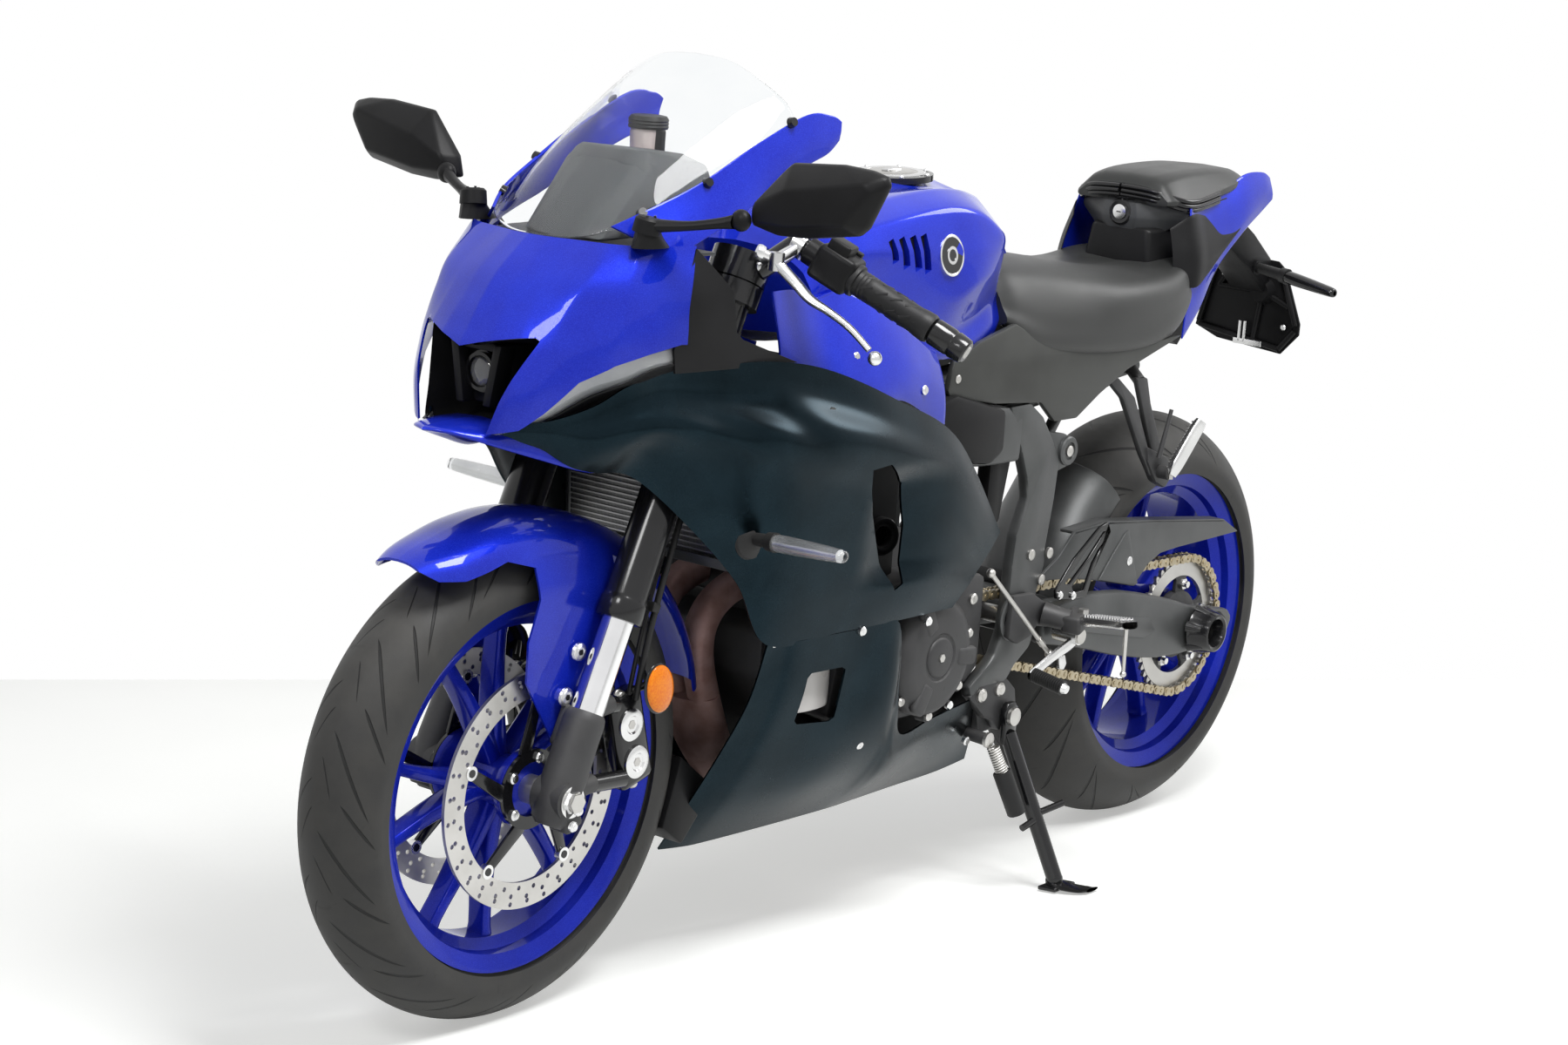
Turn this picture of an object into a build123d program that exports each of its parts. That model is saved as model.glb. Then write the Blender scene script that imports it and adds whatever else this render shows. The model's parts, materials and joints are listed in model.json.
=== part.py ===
from build123d import *
from math import atan2, cos, degrees, radians, sin, sqrt
import os

# Middleweight sport motorcycle, parked on its side stand.
# Modelled upright: +X forward with the rear axle at x = 0, +Y to the left, +Z up from the floor,
# in millimetres. The finished pieces are then leaned onto the side stand and centred over the floor.

# ---------------------------------------------------------------- driving dimensions
wheel_base = 1395.0
rake = 23.7                    # steering axis from the vertical, degrees
trail = 90.0
lean = 5.3                     # lean onto the side stand, degrees
gap = 0.3                      # between pieces that seat on each other
wall = 3.0                     # moulded body panels
crown = 0.4                    # bulge of a panel between its edges

# wheels
tyre_radius_front, tyre_width_front, crown_front = 300.0, 120.0, 62.0
tyre_radius_rear, tyre_width_rear, crown_rear = 315.0, 180.0, 95.0
rim_radius = 231.0             # flange, outside
flange_height = 15.0            # of the rim beyond the tyre bead
bead_radius = rim_radius - flange_height
rim_width_front, rim_width_rear = 102.0, 154.0
rim_wall = 6.0
spoke_count = 10
spoke_width, spoke_depth = 17.0, 30.0
hub_radius_front, hub_radius_rear = 38.0, 52.0
axle_radius = 12.5
hub_width_front, hub_width_rear = 96.0, 120.0

# brakes
disc_radius_front, disc_radius_rear = 149.0, 122.5
disc_thickness = 5.0
disc_y_front = 60.5
disc_y_rear = -78.0
disc_band = 34.0
caliper_slot = 15.0

# fork
fork_half = 105.0              # each leg from the middle
fender_side = 72.5             # outside of the fender's legs
fork_offset = tyre_radius_front * sin(radians(rake)) - trail * cos(radians(rake))
inner_tube_radius, outer_tube_radius = 20.5, 27.0
carrier_radius = 29.0
carrier_top, chrome_start, outer_start, outer_end = 108.0, 40.0, 226.0, 706.0
tube_overlap = 60.0
lower_yoke_at, upper_yoke_at, yoke_thickness = 478.0, 636.0, 26.0
yoke_reach = 62.0              # back from the legs, past the stem
stem_radius = 16.0
head_radius = 30.0

# bars
bar_radius, grip_radius = 11.0, 17.0
bar_inner = (1085.0, 165.0, 961.0)
bar_outer = (1029.0, 352.0, 869.0)
clip_on_at, clip_on_height = 664.0, 36.0   # along the fork legs, above the upper yoke

# rear end
swing_pivot = (500.0, 402.0)   # x, z
swing_outer, swing_inner = 140.0, 116.0
chain_y, chain_width = 105.0, 16.0
sprocket_radius, front_sprocket_radius = 106.0, 41.0
front_sprocket = (590.0, 395.0)

front_axle = Vector(wheel_base, 0, tyre_radius_front)
rear_axle = Vector(0, 0, tyre_radius_rear)
steer_up = Vector(-sin(radians(rake)), 0, cos(radians(rake)))
steer_point = front_axle - fork_offset * Vector(cos(radians(rake)), 0, sin(radians(rake)))


def leg_point(along, side=0.0):
    """A point on a fork leg's line, measured up from the axle."""
    return Vector(front_axle.X, side, front_axle.Z) + along * steer_up


def stem_point(along):
    """A point on the steering axis level with the same distance along the legs."""
    return steer_point + along * steer_up


def across(x, z, y=0.0):
    """Sketch plane in the side view: its own x is the bike's x, its own y is up, and it faces -Y."""
    return Plane(origin=(x, y, z), x_dir=(1, 0, 0), z_dir=(0, -1, 0))


def leg_plane(along, side=0.0):
    return Plane(origin=leg_point(along, side), x_dir=(0, -1, 0), z_dir=steer_up)


def rod(start, end, radius, end_radius=None):
    """A round bar between two points."""
    start, end = Vector(*start), Vector(*end)
    line = end - start
    with BuildPart() as bar:
        with BuildSketch(Plane(origin=start, z_dir=line)):
            Circle(radius)
        if end_radius is None:
            extrude(amount=line.length)
        else:
            with BuildSketch(Plane(origin=end, z_dir=line)):
                Circle(end_radius)
            loft()
    return bar.part


def pipe(points, radii, radius, bore=0.0):
    """A bent tube: straight runs joined by arcs."""
    with BuildPart() as bent:
        with BuildLine() as path:
            FilletPolyline(*points, radius=radii)
        with BuildSketch(Plane(origin=points[0], z_dir=Vector(*points[1]) - Vector(*points[0]))):
            Circle(radius)
            if bore:
                Circle(bore, mode=Mode.SUBTRACT)
        sweep(path=path.wires()[0])
    return bent.part


def slab(outline, y_from, y_to):
    """A flat piece with a side-view outline, between two distances from the middle."""
    with BuildPart() as flat:
        with BuildSketch(across(0, 0, y_from)):
            with BuildLine():
                Polyline(*outline, close=True)
            make_face()
        extrude(amount=y_from - y_to)
    return flat.part


def skin(stations, thickness=wall):
    """A body panel. Each station is a line in the side view, from its top to its bottom,
    with the distances from the middle at equal steps down that line."""
    with BuildPart() as panel:
        for top_x, top_z, low_x, low_z, reach in stations:
            line = Vector(top_x - low_x, 0, top_z - low_z)
            plane = Plane(origin=(low_x, 0, low_z), x_dir=(0, 1, 0), z_dir=Vector(0, 1, 0).cross(line))
            step = line.length / (len(reach) - 1)
            last = len(reach) - 1
            outer = [(y + crown * i * (last - i), line.length - i * step) for i, y in enumerate(reach)]
            inner = [(y - thickness, height) for y, height in reversed(outer)]
            with BuildSketch(plane):
                with BuildLine():
                    Polyline(*outer, *inner, close=True)
                make_face()
        loft(ruled=True)
    return panel.part


def hull(sections):
    """A closed form through sections across the bike: x, then (distance from the middle, height)
    round one half from the top centre to the bottom centre."""
    with BuildPart() as form:
        for x, half in sections:
            whole = half + [(-y, z) for y, z in reversed(half) if y > 0.01]
            with BuildSketch(Plane(origin=(x, 0, 0), x_dir=(0, 1, 0), z_dir=(1, 0, 0))):
                with BuildLine():
                    Polyline(*whole, close=True)
                make_face()
        loft(ruled=True)
    return form.part


def both_sides(part):
    with BuildPart() as pair:
        add(part)
        mirror(about=Plane.XZ)
    return pair.part


# ---------------------------------------------------------------- wheels
def wheel_profile(axle):
    return Plane(origin=axle, x_dir=(0, 1, 0), z_dir=(1, 0, 0))


def wheel_tyre(axle, radius, width, crown, rim_width):
    half, bead = width / 2, rim_width / 2 - rim_wall + 1 - gap
    shoulder = radius - crown + sqrt(crown**2 - half**2)
    with BuildPart() as tyre:
        with BuildSketch(wheel_profile(axle)):
            with BuildLine():
                ThreePointArc((-half, shoulder), (0, radius), (half, shoulder))
                Polyline(
                    (half, shoulder), (bead, rim_radius + 1), (bead, bead_radius + gap),
                    (-bead, bead_radius + gap), (-bead, rim_radius + 1), (-half, shoulder),
                )
            make_face()
        revolve(axis=Axis(axle, (0, 1, 0)))
    return tyre.part


def wheel_rim(axle, rim_width, hub):
    """Cast rim: barrel with a dropped centre, hub with its flanges, and spokes in pairs."""
    edge, seat, well = rim_width / 2, rim_width / 2 - rim_wall + 1, rim_width * 0.27
    barrel = [(edge, rim_radius), (seat, rim_radius), (seat, bead_radius), (well + 8, bead_radius),
              (well, bead_radius - 16)]
    under = [(well, bead_radius - 22), (well + 12, bead_radius - 7), (edge - 8, bead_radius - 5),
             (edge, rim_radius - 8)]
    ring = barrel + [(-y, r) for y, r in reversed(barrel)] + [(-y, r) for y, r in under][::-1] + under
    with BuildPart() as rim:
        with BuildSketch(wheel_profile(axle)):
            with BuildLine():
                Polyline(*ring, close=True)
            make_face()
            with BuildLine():
                Polyline(*hub, close=True)
            make_face()
        revolve(axis=Axis(axle, (0, 1, 0)))
        spoke_in, spoke_out = hub_radius_front - 8, bead_radius - 20
        for i in range(spoke_count):
            pair, side = divmod(i, 2)
            turn = 360 / (spoke_count / 2) * pair
            spread_in, spread_out = (-9, -15) if side else (9, 15)
            with BuildSketch(across(axle.X, axle.Z, -spoke_depth / 2)):
                with BuildLine():
                    Polyline(
                        *[(r * cos(radians(turn + spread)) - w * sin(radians(turn + spread)),
                           r * sin(radians(turn + spread)) + w * cos(radians(turn + spread)))
                          for r, spread, w in ((spoke_in, spread_in, -spoke_width * 0.6),
                                               (spoke_out, spread_out, -spoke_width / 2),
                                               (spoke_out, spread_out, spoke_width / 2),
                                               (spoke_in, spread_in, spoke_width * 0.6))],
                        close=True)
                make_face()
            extrude(amount=-spoke_depth)
    return rim.part


def brake_disc(axle, y, radius, inner_flange, arms, lean_arm):
    """A disc band on its carrier: an inner ring with slanted arms."""
    with BuildPart() as disc:
        with BuildSketch(across(axle.X, axle.Z, y - disc_thickness / 2)):
            Circle(radius)
            Circle(radius - disc_band, mode=Mode.SUBTRACT)
            Circle(inner_flange + 12)
            Circle(inner_flange - 10, mode=Mode.SUBTRACT)
            for i in range(arms):
                turn = radians(360 / arms * i)
                end = turn + radians(lean_arm)
                start = Vector(inner_flange * cos(turn), inner_flange * sin(turn))
                stop = Vector((radius - disc_band + 6) * cos(end), (radius - disc_band + 6) * sin(end))
                with Locations(Location((start + stop) / 2)):
                    Rectangle((stop - start).length + 8, 13, rotation=degrees(atan2(stop.Y - start.Y, stop.X - start.X)))
        extrude(amount=-disc_thickness)
    return disc.part


bore = axle_radius + gap
flange_front = disc_y_front - disc_thickness / 2
hub_front = [(flange_front, bore), (flange_front, 52), (flange_front - 10, 52), (30, hub_radius_front),
             (-30, hub_radius_front), (10 - flange_front, 52), (-flange_front, 52), (-flange_front, bore)]
flange_rear = disc_y_rear + disc_thickness / 2
sprocket_seat = chain_y - 3.5
hub_rear = [(sprocket_seat, bore), (sprocket_seat, 58), (sprocket_seat - 8, 58), (62, hub_radius_rear),
            (-50, hub_radius_rear - 8), (flange_rear + 8, 46), (flange_rear, 46), (flange_rear, bore)]

front_tyre = wheel_tyre(front_axle, tyre_radius_front, tyre_width_front, crown_front, rim_width_front)
front_rim = wheel_rim(front_axle, rim_width_front, hub_front)
front_discs = both_sides(brake_disc(front_axle, disc_y_front, disc_radius_front, 48, 5, 24))
rear_tyre = wheel_tyre(rear_axle, tyre_radius_rear, tyre_width_rear, crown_rear, rim_width_rear)
rear_rim = wheel_rim(rear_axle, rim_width_rear, hub_rear)
rear_disc = brake_disc(rear_axle, disc_y_rear, disc_radius_rear, 42, 5, 24)

tooth_count = 42
with BuildPart() as sprocket:
    with BuildSketch(across(rear_axle.X, rear_axle.Z, sprocket_seat)):
        with BuildLine():
            Polyline(*[(r * cos(radians(a)), r * sin(radians(a)))
                       for i in range(tooth_count)
                       for r, a in ((sprocket_radius - 12, i * 360 / tooth_count),
                                    (sprocket_radius - 8, (i + 0.5) * 360 / tooth_count))], close=True)
        make_face()
        Circle(bore + 8, mode=Mode.SUBTRACT)
        with PolarLocations(68, 5, 36):
            SlotOverall(44, 24, rotation=90, mode=Mode.SUBTRACT)
    extrude(amount=-7)
rear_sprocket = sprocket.part

# ---------------------------------------------------------------- fork, yokes and bars
with BuildPart() as carrier:
    with BuildSketch(leg_plane(-34, fork_half)):
        Circle(carrier_radius)
    extrude(amount=carrier_top + 34)
    with BuildSketch(leg_plane(-34, fork_half)):
        with Locations((0, -16)):
            Rectangle(34, 40)
    extrude(amount=78)
    with BuildSketch(Plane(origin=front_axle, z_dir=(0, 1, 0))):
        Circle(axle_radius + gap)
    extrude(amount=fork_half + 60, mode=Mode.SUBTRACT)
    add(rod(leg_point(90, fork_half - 8), leg_point(90, fender_side + gap), 11))
    with BuildSketch(leg_plane(chrome_start - gap, fork_half)):
        Circle(inner_tube_radius + gap)
    extrude(amount=carrier_top, mode=Mode.SUBTRACT)
fork_carriers = both_sides(carrier.part)
with BuildPart() as chrome:
    with BuildSketch(leg_plane(chrome_start, fork_half)):
        Circle(inner_tube_radius)
    extrude(amount=outer_start - chrome_start + tube_overlap)
fork_inner_tubes = both_sides(chrome.part)
with BuildPart() as outer:
    with BuildSketch(leg_plane(outer_start, fork_half)):
        Circle(outer_tube_radius)
    extrude(amount=outer_end - outer_start)
    with BuildSketch(leg_plane(outer_start, fork_half)):
        Circle(outer_tube_radius + 3)
    extrude(amount=26)
    with BuildSketch(leg_plane(outer_start, fork_half)):
        Circle(inner_tube_radius + gap)
    extrude(amount=tube_overlap + gap, mode=Mode.SUBTRACT)
fork_outer_tubes = both_sides(outer.part)


def yoke(along, reach_back):
    with BuildPart() as clamp:
        with BuildSketch(leg_plane(along)):
            with BuildLine():
                Polyline(
                    (-fork_half - 36, 22), (fork_half + 36, 22), (fork_half + 36, -22), (42, -reach_back),
                    (-42, -reach_back), (-fork_half - 36, -22), close=True)
            make_face()
            with Locations((fork_half, 0), (-fork_half, 0)):
                Circle(outer_tube_radius + gap, mode=Mode.SUBTRACT)
        extrude(amount=yoke_thickness)
    return clamp.part


with BuildPart() as yokes:
    add(yoke(lower_yoke_at, yoke_reach))
    add(yoke(upper_yoke_at, yoke_reach))
    with BuildSketch(Plane(origin=stem_point(lower_yoke_at), z_dir=steer_up)):
        Circle(stem_radius)
    extrude(amount=upper_yoke_at + yoke_thickness + 8 - lower_yoke_at)
fork_yokes = yokes.part

bar_line = Vector(*bar_outer) - Vector(*bar_inner)
with BuildPart() as bars:
    add(rod(bar_inner, bar_outer, bar_radius))
    with BuildSketch(leg_plane(clip_on_at, fork_half)):
        Circle(outer_tube_radius + 11)
        Circle(outer_tube_radius + gap, mode=Mode.SUBTRACT)
    extrude(amount=clip_on_height)
    add(rod(leg_point(clip_on_at + clip_on_height / 2, fork_half + outer_tube_radius + 6), bar_inner, bar_radius + 2))
    add(fork_outer_tubes, mode=Mode.SUBTRACT)
handlebars = both_sides(bars.part)


def along_bar(share):
    return Vector(*bar_inner) + share * bar_line


def bar_ring(from_share, to_share, radius, clear=gap):
    start, stop = along_bar(from_share), along_bar(to_share)
    with BuildPart() as ring:
        with BuildSketch(Plane(origin=start, z_dir=bar_line)):
            Circle(radius)
            Circle(bar_radius + clear, mode=Mode.SUBTRACT)
        extrude(amount=(stop - start).length)
    return ring.part


grips = both_sides(bar_ring(0.385, 0.93, grip_radius))
with BuildPart() as weight:
    with BuildSketch(Plane(origin=along_bar(1) + gap * bar_line.normalized(), z_dir=bar_line)):
        Circle(16)
    extrude(amount=26, taper=4)
bar_weights = both_sides(weight.part)
with BuildPart() as pods:
    add(bar_ring(0.2, 0.37, 22))
    add(bar_ring(0.1, 0.2, 17))
switch_pods = both_sides(pods.part)
lever_root = along_bar(0.17) + Vector(14, 0, -2)
lever_elbow, lever_end = Vector(1112, 225, 893), Vector(1089, 298, 839)
with BuildPart() as levers:
    add(rod(lever_root, lever_elbow, 6, 5))
    with Locations(lever_elbow):
        Sphere(6.5)
    add(rod(lever_elbow, lever_end, 5, 4))
    with Locations(lever_end):
        Sphere(9)
hand_levers = both_sides(levers.part)
pot_at = Vector(1070, -100, 1058)
with BuildPart() as pot:
    with Locations(pot_at):
        Cylinder(21, 44)
    with Locations(pot_at + Vector(0, 0, 28)):
        Cylinder(24, 14)
    add(rod(pot_at - Vector(0, 0, 20), (1066, -194, 955), 6))
brake_reservoir = pot.part
with BuildPart() as controls:
    add(switch_pods)
    add(hand_levers)
    add(brake_reservoir)
    add(handlebars, mode=Mode.SUBTRACT)
bar_controls = controls.part

with BuildPart() as front_shaft:
    with BuildSketch(Plane(origin=front_axle - Vector(0, fork_half + 34, 0), z_dir=(0, 1, 0))):
        Circle(axle_radius)
    extrude(amount=2 * (fork_half + 34))
    for side in (1, -1):
        with BuildSketch(Plane(origin=front_axle + side * Vector(0, flange_front + gap, 0), z_dir=(0, side, 0))):
            Circle(19)
        extrude(amount=fork_half - carrier_radius - flange_front - 2 * gap)
front_axle_shaft = front_shaft.part

fender_clear, fender_crown, fender_half = 24.0, 10.0, 72.0
fender_inner = tyre_radius_front + fender_clear
fender_outer = fender_inner + fender_crown
fender_edge = fender_inner - 30
with BuildPart() as fender:
    with BuildSketch(Plane(origin=front_axle, x_dir=(0, 1, 0), z_dir=(1, 0, 0))):
        with BuildLine():
            ThreePointArc((-fender_half, fender_edge), (0, fender_outer + 4), (fender_half, fender_edge))
            Line((fender_half, fender_edge), (fender_half - wall, fender_edge))
            ThreePointArc((fender_half - wall, fender_edge), (0, fender_outer), (wall - fender_half, fender_edge))
            Line((wall - fender_half, fender_edge), (-fender_half, fender_edge))
        make_face()
    revolve(axis=Axis(front_axle, (0, 1, 0)), revolution_arc=108)
fender_turn = Rot(0, -72, 0)
fender_shell = Pos(*front_axle) * fender_turn * Pos(*(-front_axle)) * fender.part
# ahead of the axle, above it
fender_leg_outline = [(-50, fender_edge + 6), (33, fender_edge + 4), (37, 188), (29, 124), (-31, 56), (-53, 92), (-77, 200)]
fender_leg = slab([(front_axle.X + ahead, front_axle.Z + above) for ahead, above in fender_leg_outline],
                  fender_side - wall, fender_side)
with BuildPart() as mudguard:
    add(fender_shell)
    add(fender_leg)
    add(mirror(fender_leg, Plane.XZ))
front_fender = mudguard.part

caliper_at = front_axle + Vector(-143, 0, 45)
with BuildPart() as caliper:
    with Locations(Location((caliper_at.X, disc_y_front + 5, caliper_at.Z), (0, 16, 0))):
        Box(56, 62, 128)
    with BuildSketch(across(front_axle.X, front_axle.Z, disc_y_front - caliper_slot / 2)):
        Circle(disc_radius_front + 5)
    extrude(amount=-caliper_slot, mode=Mode.SUBTRACT)
    add(rod(front_axle + Vector(-105, 95, 100), front_axle + Vector(-65, 95, 95), 11))
    add(rod(front_axle + Vector(-125, 95, 0), front_axle + Vector(-50, 95, 5), 11))
    add(fork_carriers, mode=Mode.SUBTRACT)
    add(fork_inner_tubes, mode=Mode.SUBTRACT)
front_calipers = both_sides(caliper.part)

# ---------------------------------------------------------------- rear end
swing_hole = axle_radius + gap


def arm_point(x, above):
    """A point in the side view, measured up from the line from the rear axle to the swingarm's pivot."""
    return (x, rear_axle.Z + (swing_pivot[1] - rear_axle.Z) * x / swing_pivot[0] + above)


bridge_back = tyre_radius_rear + 30
swing_arm_outline = [arm_point(x, above) for x, above in
                     [(-78, 39), (-78, -11), (33, -38), (159, -50), (305, -40), (420, -30), (420, 12), (296, 44), (151, 46)]]
bridge_outline = [arm_point(x, above) for x, above in [(bridge_back, -27), (bridge_back, 30), (420, 17), (420, -36)]]
pivot_tube_outline = [(swing_pivot[0] + x, swing_pivot[1] + z) for x, z in [(-100, -30), (-100, 10), (20, 20), (24, -20)]]
with BuildPart() as arm_pair:
    add(slab(swing_arm_outline, swing_inner, swing_outer))
    mirror(about=Plane.XZ)
    add(slab(bridge_outline, -swing_outer, swing_outer))
    add(slab(pivot_tube_outline, -86, 86))
    with Locations(Location((0, 0, tyre_radius_rear), (90, 0, 0))):
        Cylinder(swing_hole, 400, mode=Mode.SUBTRACT)
    with Locations(Location((swing_pivot[0], 0, swing_pivot[1]), (90, 0, 0))):
        Cylinder(swing_hole, 400, mode=Mode.SUBTRACT)
swingarm = arm_pair.part

with BuildPart() as axle_rod:
    with Locations(Location((0, 0, tyre_radius_rear), (90, 0, 0))):
        Cylinder(axle_radius, 2 * (swing_outer + 16))
    for side in (1, -1):
        with BuildSketch(Plane(origin=(0, side * (swing_outer + gap), tyre_radius_rear), z_dir=(0, side, 0))):
            RegularPolygon(20, 6)
        extrude(amount=14)
        with BuildSketch(Plane(origin=(0, side * (swing_inner - gap), tyre_radius_rear), z_dir=(0, -side, 0))):
            Circle(18)
        extrude(amount=5 if side > 0 else swing_inner + flange_rear - 12)
rear_axle_shaft = axle_rod.part


def belt_outline(offset):
    """The chain's path round both sprockets, moved outwards."""
    big, small = sprocket_radius + offset, front_sprocket_radius + offset
    dx, dz = front_sprocket[0], front_sprocket[1] - tyre_radius_rear
    reach, tilt = sqrt(dx**2 + dz**2), atan2(dz, dx)
    spread = radians(90) - (big - small) / reach
    steps = 12
    rear = [tilt + spread + i * (2 * radians(180) - 2 * spread) / steps for i in range(steps + 1)]
    front = [tilt - spread + i * 2 * spread / steps for i in range(steps + 1)]
    return ([(big * cos(a), tyre_radius_rear + big * sin(a)) for a in rear]
            + [(front_sprocket[0] + small * cos(a), front_sprocket[1] + small * sin(a)) for a in front])


with BuildPart() as loop:
    with BuildSketch(across(0, 0, chain_y - chain_width / 2)):
        with BuildLine():
            Polyline(*belt_outline(8), close=True)
        make_face()
        with BuildLine():
            Polyline(*belt_outline(-5), close=True)
        make_face(mode=Mode.SUBTRACT)
    extrude(amount=-chain_width)
drive_chain = loop.part

with BuildPart() as guards:
    add(slab([arm_point(x, above) for x, above in
              [(341, 123), (-60, 167), (-129, 157), (120, 110), (235, 64), (300, 46), (424, 51)]],
             swing_inner - 1, swing_inner + 4))
    add(slab([arm_point(x, above) for x, above in [(341, 123), (-60, 167), (-60, 162), (341, 118)]],
             swing_inner - 24, swing_inner + 4))
    foot_low = arm_point(296, 44)[1] + gap
    add(slab([(296, foot_low), (296, foot_low + 14), (340, foot_low + 14), (340, foot_low)],
             swing_inner - 1, swing_inner + 12))
chain_guard = guards.part

hugger_clear, hugger_half = 12.0, 91.0
hugger_inner = tyre_radius_rear + hugger_clear
hugger_edge = tyre_radius_rear - 25
with BuildPart() as hug:
    with BuildSketch(Plane(origin=rear_axle, x_dir=(0, 1, 0), z_dir=(1, 0, 0))):
        with BuildLine():
            ThreePointArc((-hugger_half, hugger_edge), (0, hugger_inner + wall + 1), (hugger_half, hugger_edge))
            Line((hugger_half, hugger_edge), (hugger_half - wall, hugger_edge))
            ThreePointArc((hugger_half - wall, hugger_edge), (0, hugger_inner), (wall - hugger_half, hugger_edge))
            Line((wall - hugger_half, hugger_edge), (-hugger_half, hugger_edge))
        make_face()
    revolve(axis=Axis(rear_axle, (0, 1, 0)), revolution_arc=54)
    with Locations((bridge_back - 9, 0, arm_point(bridge_back, 9)[1])):
        Box(18 - gap, 110, 26)
rear_hugger = hug.part

with BuildPart() as stopper:
    with Locations(rear_axle + Vector(84, disc_y_rear - 6, 70)):
        Box(74, 64, 76)
    with BuildSketch(across(0, tyre_radius_rear, disc_y_rear - caliper_slot / 2)):
        Circle(disc_radius_rear + 5)
    extrude(amount=-caliper_slot, mode=Mode.SUBTRACT)
    add(slab(swing_arm_outline, -swing_inner + gap, -swing_outer - 5), mode=Mode.SUBTRACT)
rear_caliper = stopper.part

# ---------------------------------------------------------------- frame and engine
def beam(stations):
    """A straight-sided bar through rectangles across the bike: x, y, z, half width, half height."""
    with BuildPart() as bar:
        for x, y, z, half_y, half_z in stations:
            with BuildSketch(Plane(origin=(x, y, z), x_dir=(0, 1, 0), z_dir=(1, 0, 0))):
                Rectangle(2 * half_y, 2 * half_z)
        loft(ruled=True)
    return bar.part


fairing_stations = [
    (1437, 751, 1431, 727, [64, 63, 62, 61, 60]),
    (1376, 773, 1390, 702, [122, 120, 115, 106, 95]),
    (1303, 816, 1316, 686, [150, 150, 150, 140, 120]),
    (1237, 818, 1250, 630, [165, 175, 170, 160, 150]),
    (1138, 821, 1160, 545, [185, 205, 195, 180, 167]),
    (1036, 804, 1097, 458, [195, 215, 205, 190, 172]),
    (900, 757, 960, 458, [198, 218, 212, 200, 185]),
    (755, 692, 830, 458, [198, 212, 210, 205, 190]),
    (626, 550, 723, 458, [190, 190, 190, 190, 188]),
]
vent_outline = [(972, 668), (895, 675), (882, 590), (877, 517), (905, 549)]
with BuildPart() as upper_panel:
    add(skin(fairing_stations))
    add(slab(vent_outline, 150, 260), mode=Mode.SUBTRACT)
side_fairings = both_sides(upper_panel.part)

head_from, head_to = lower_yoke_at + yoke_thickness + 6, upper_yoke_at - 6
plate_inner, plate_outer = chain_y + chain_width / 2 + 1, 138.0
plate_outline = [(548, 713), (470, 690), (452, 640), (430, 520), (430, 436), (470, 425), (470, 380), (445, 350),
                 (458, 300), (472, 225), (530, 225), (530, 300), (556, 420), (600, 560), (640, 640), (640, 713)]
with BuildPart() as chassis:
    add(beam([(1112, 26, 800, 16, 44), (1062, 52, 770, 15, 50), (990, 104, 732, 14, 50), (800, 120, 700, 14, 50),
              (620, 124, 672, 13, 48), (548, 125, 660, 12, 46)]))
    add(slab(plate_outline, plate_inner, plate_outer))
    add(rod((520, 88, 690), (60, 88, 742), 13))
    add(rod((440, 120, 640), (330, 92, 716), 9))
    mirror(about=Plane.XZ)
    with BuildSketch(Plane(origin=stem_point(head_from), z_dir=steer_up)):
        Circle(head_radius)
    extrude(amount=head_to - head_from)
    add(rod((500, -115, 690), (500, 115, 690), 16))
    add(rod((490, -115, 250), (490, 115, 250), 14))
    add(rod((70, -95, 741), (70, 95, 741), 11))
    for side in (1, -1):
        add(rod((870, side * 118, 705), (870, side * 240, 705), 9))
        add(rod((1040, side * 72, 752), (1040, side * 240, 752), 9))
    add(side_fairings, mode=Mode.SUBTRACT)
    with BuildSketch(Plane(origin=stem_point(head_from - 40), z_dir=steer_up)):
        Circle(stem_radius + 1)
    extrude(amount=head_to - head_from + 80, mode=Mode.SUBTRACT)
    with Locations(Location((swing_pivot[0], 0, swing_pivot[1]), (90, 0, 0))):
        Cylinder(swing_hole, 400, mode=Mode.SUBTRACT)
main_frame = chassis.part.solids().sort_by(SortBy.VOLUME)[-1]

with BuildPart() as pivot_bolt:
    with Locations(Location((swing_pivot[0], 0, swing_pivot[1]), (90, 0, 0))):
        Cylinder(axle_radius, 2 * (plate_outer + 4))
swing_bolt = pivot_bolt.part

header_radius = 21.0
with BuildPart() as pipes:
    for side in (-1, 1):
        add(pipe([(962, side * 40, 505), (1056, side * 40, 452), (1020, side * 28, 330), (940, side * 20, 225)],
                 [40, 60], header_radius))
    add(rod((1018, 0, 344), (946, 0, 232), 46, 42))
    add(rod((950, 0, 236), (860, 0, 205), 42, 30))
    add(pipe([(880, 0, 208), (740, 0, 192), (490, -40, 192), (400, -160, 214)], [60, 60], 24))
    with BuildSketch(Plane(origin=(425, -190, 215), x_dir=(0, 1, 0), z_dir=(-1, 0, 0.36))):
        RectangleRounded(78, 84, 26)
    with BuildSketch(Plane(origin=(215, -198, 291), x_dir=(0, 1, 0), z_dir=(-1, 0, 0.36))):
        RectangleRounded(84, 110, 30)
    loft()
exhaust = pipes.part

crank_outline = [(560, 262), (548, 330), (575, 470), (640, 530), (760, 545), (1000, 440), (1000, 380), (930, 300),
                 (870, 245), (620, 235)]
with BuildPart() as motor:
    add(slab(crank_outline, -108, 88))
    add(slab([(655, 300), (655, 480), (760, 500), (900, 470), (930, 330), (860, 300)], -150, 150))
    add(slab([(720, 500), (780, 640), (950, 610), (985, 500), (930, 380)], -96, 86))
    add(rod((572, gap - plate_inner, 482), (572, plate_inner - gap, 482), 14))
    add(exhaust, mode=Mode.SUBTRACT)
engine_block = motor.part

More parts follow.
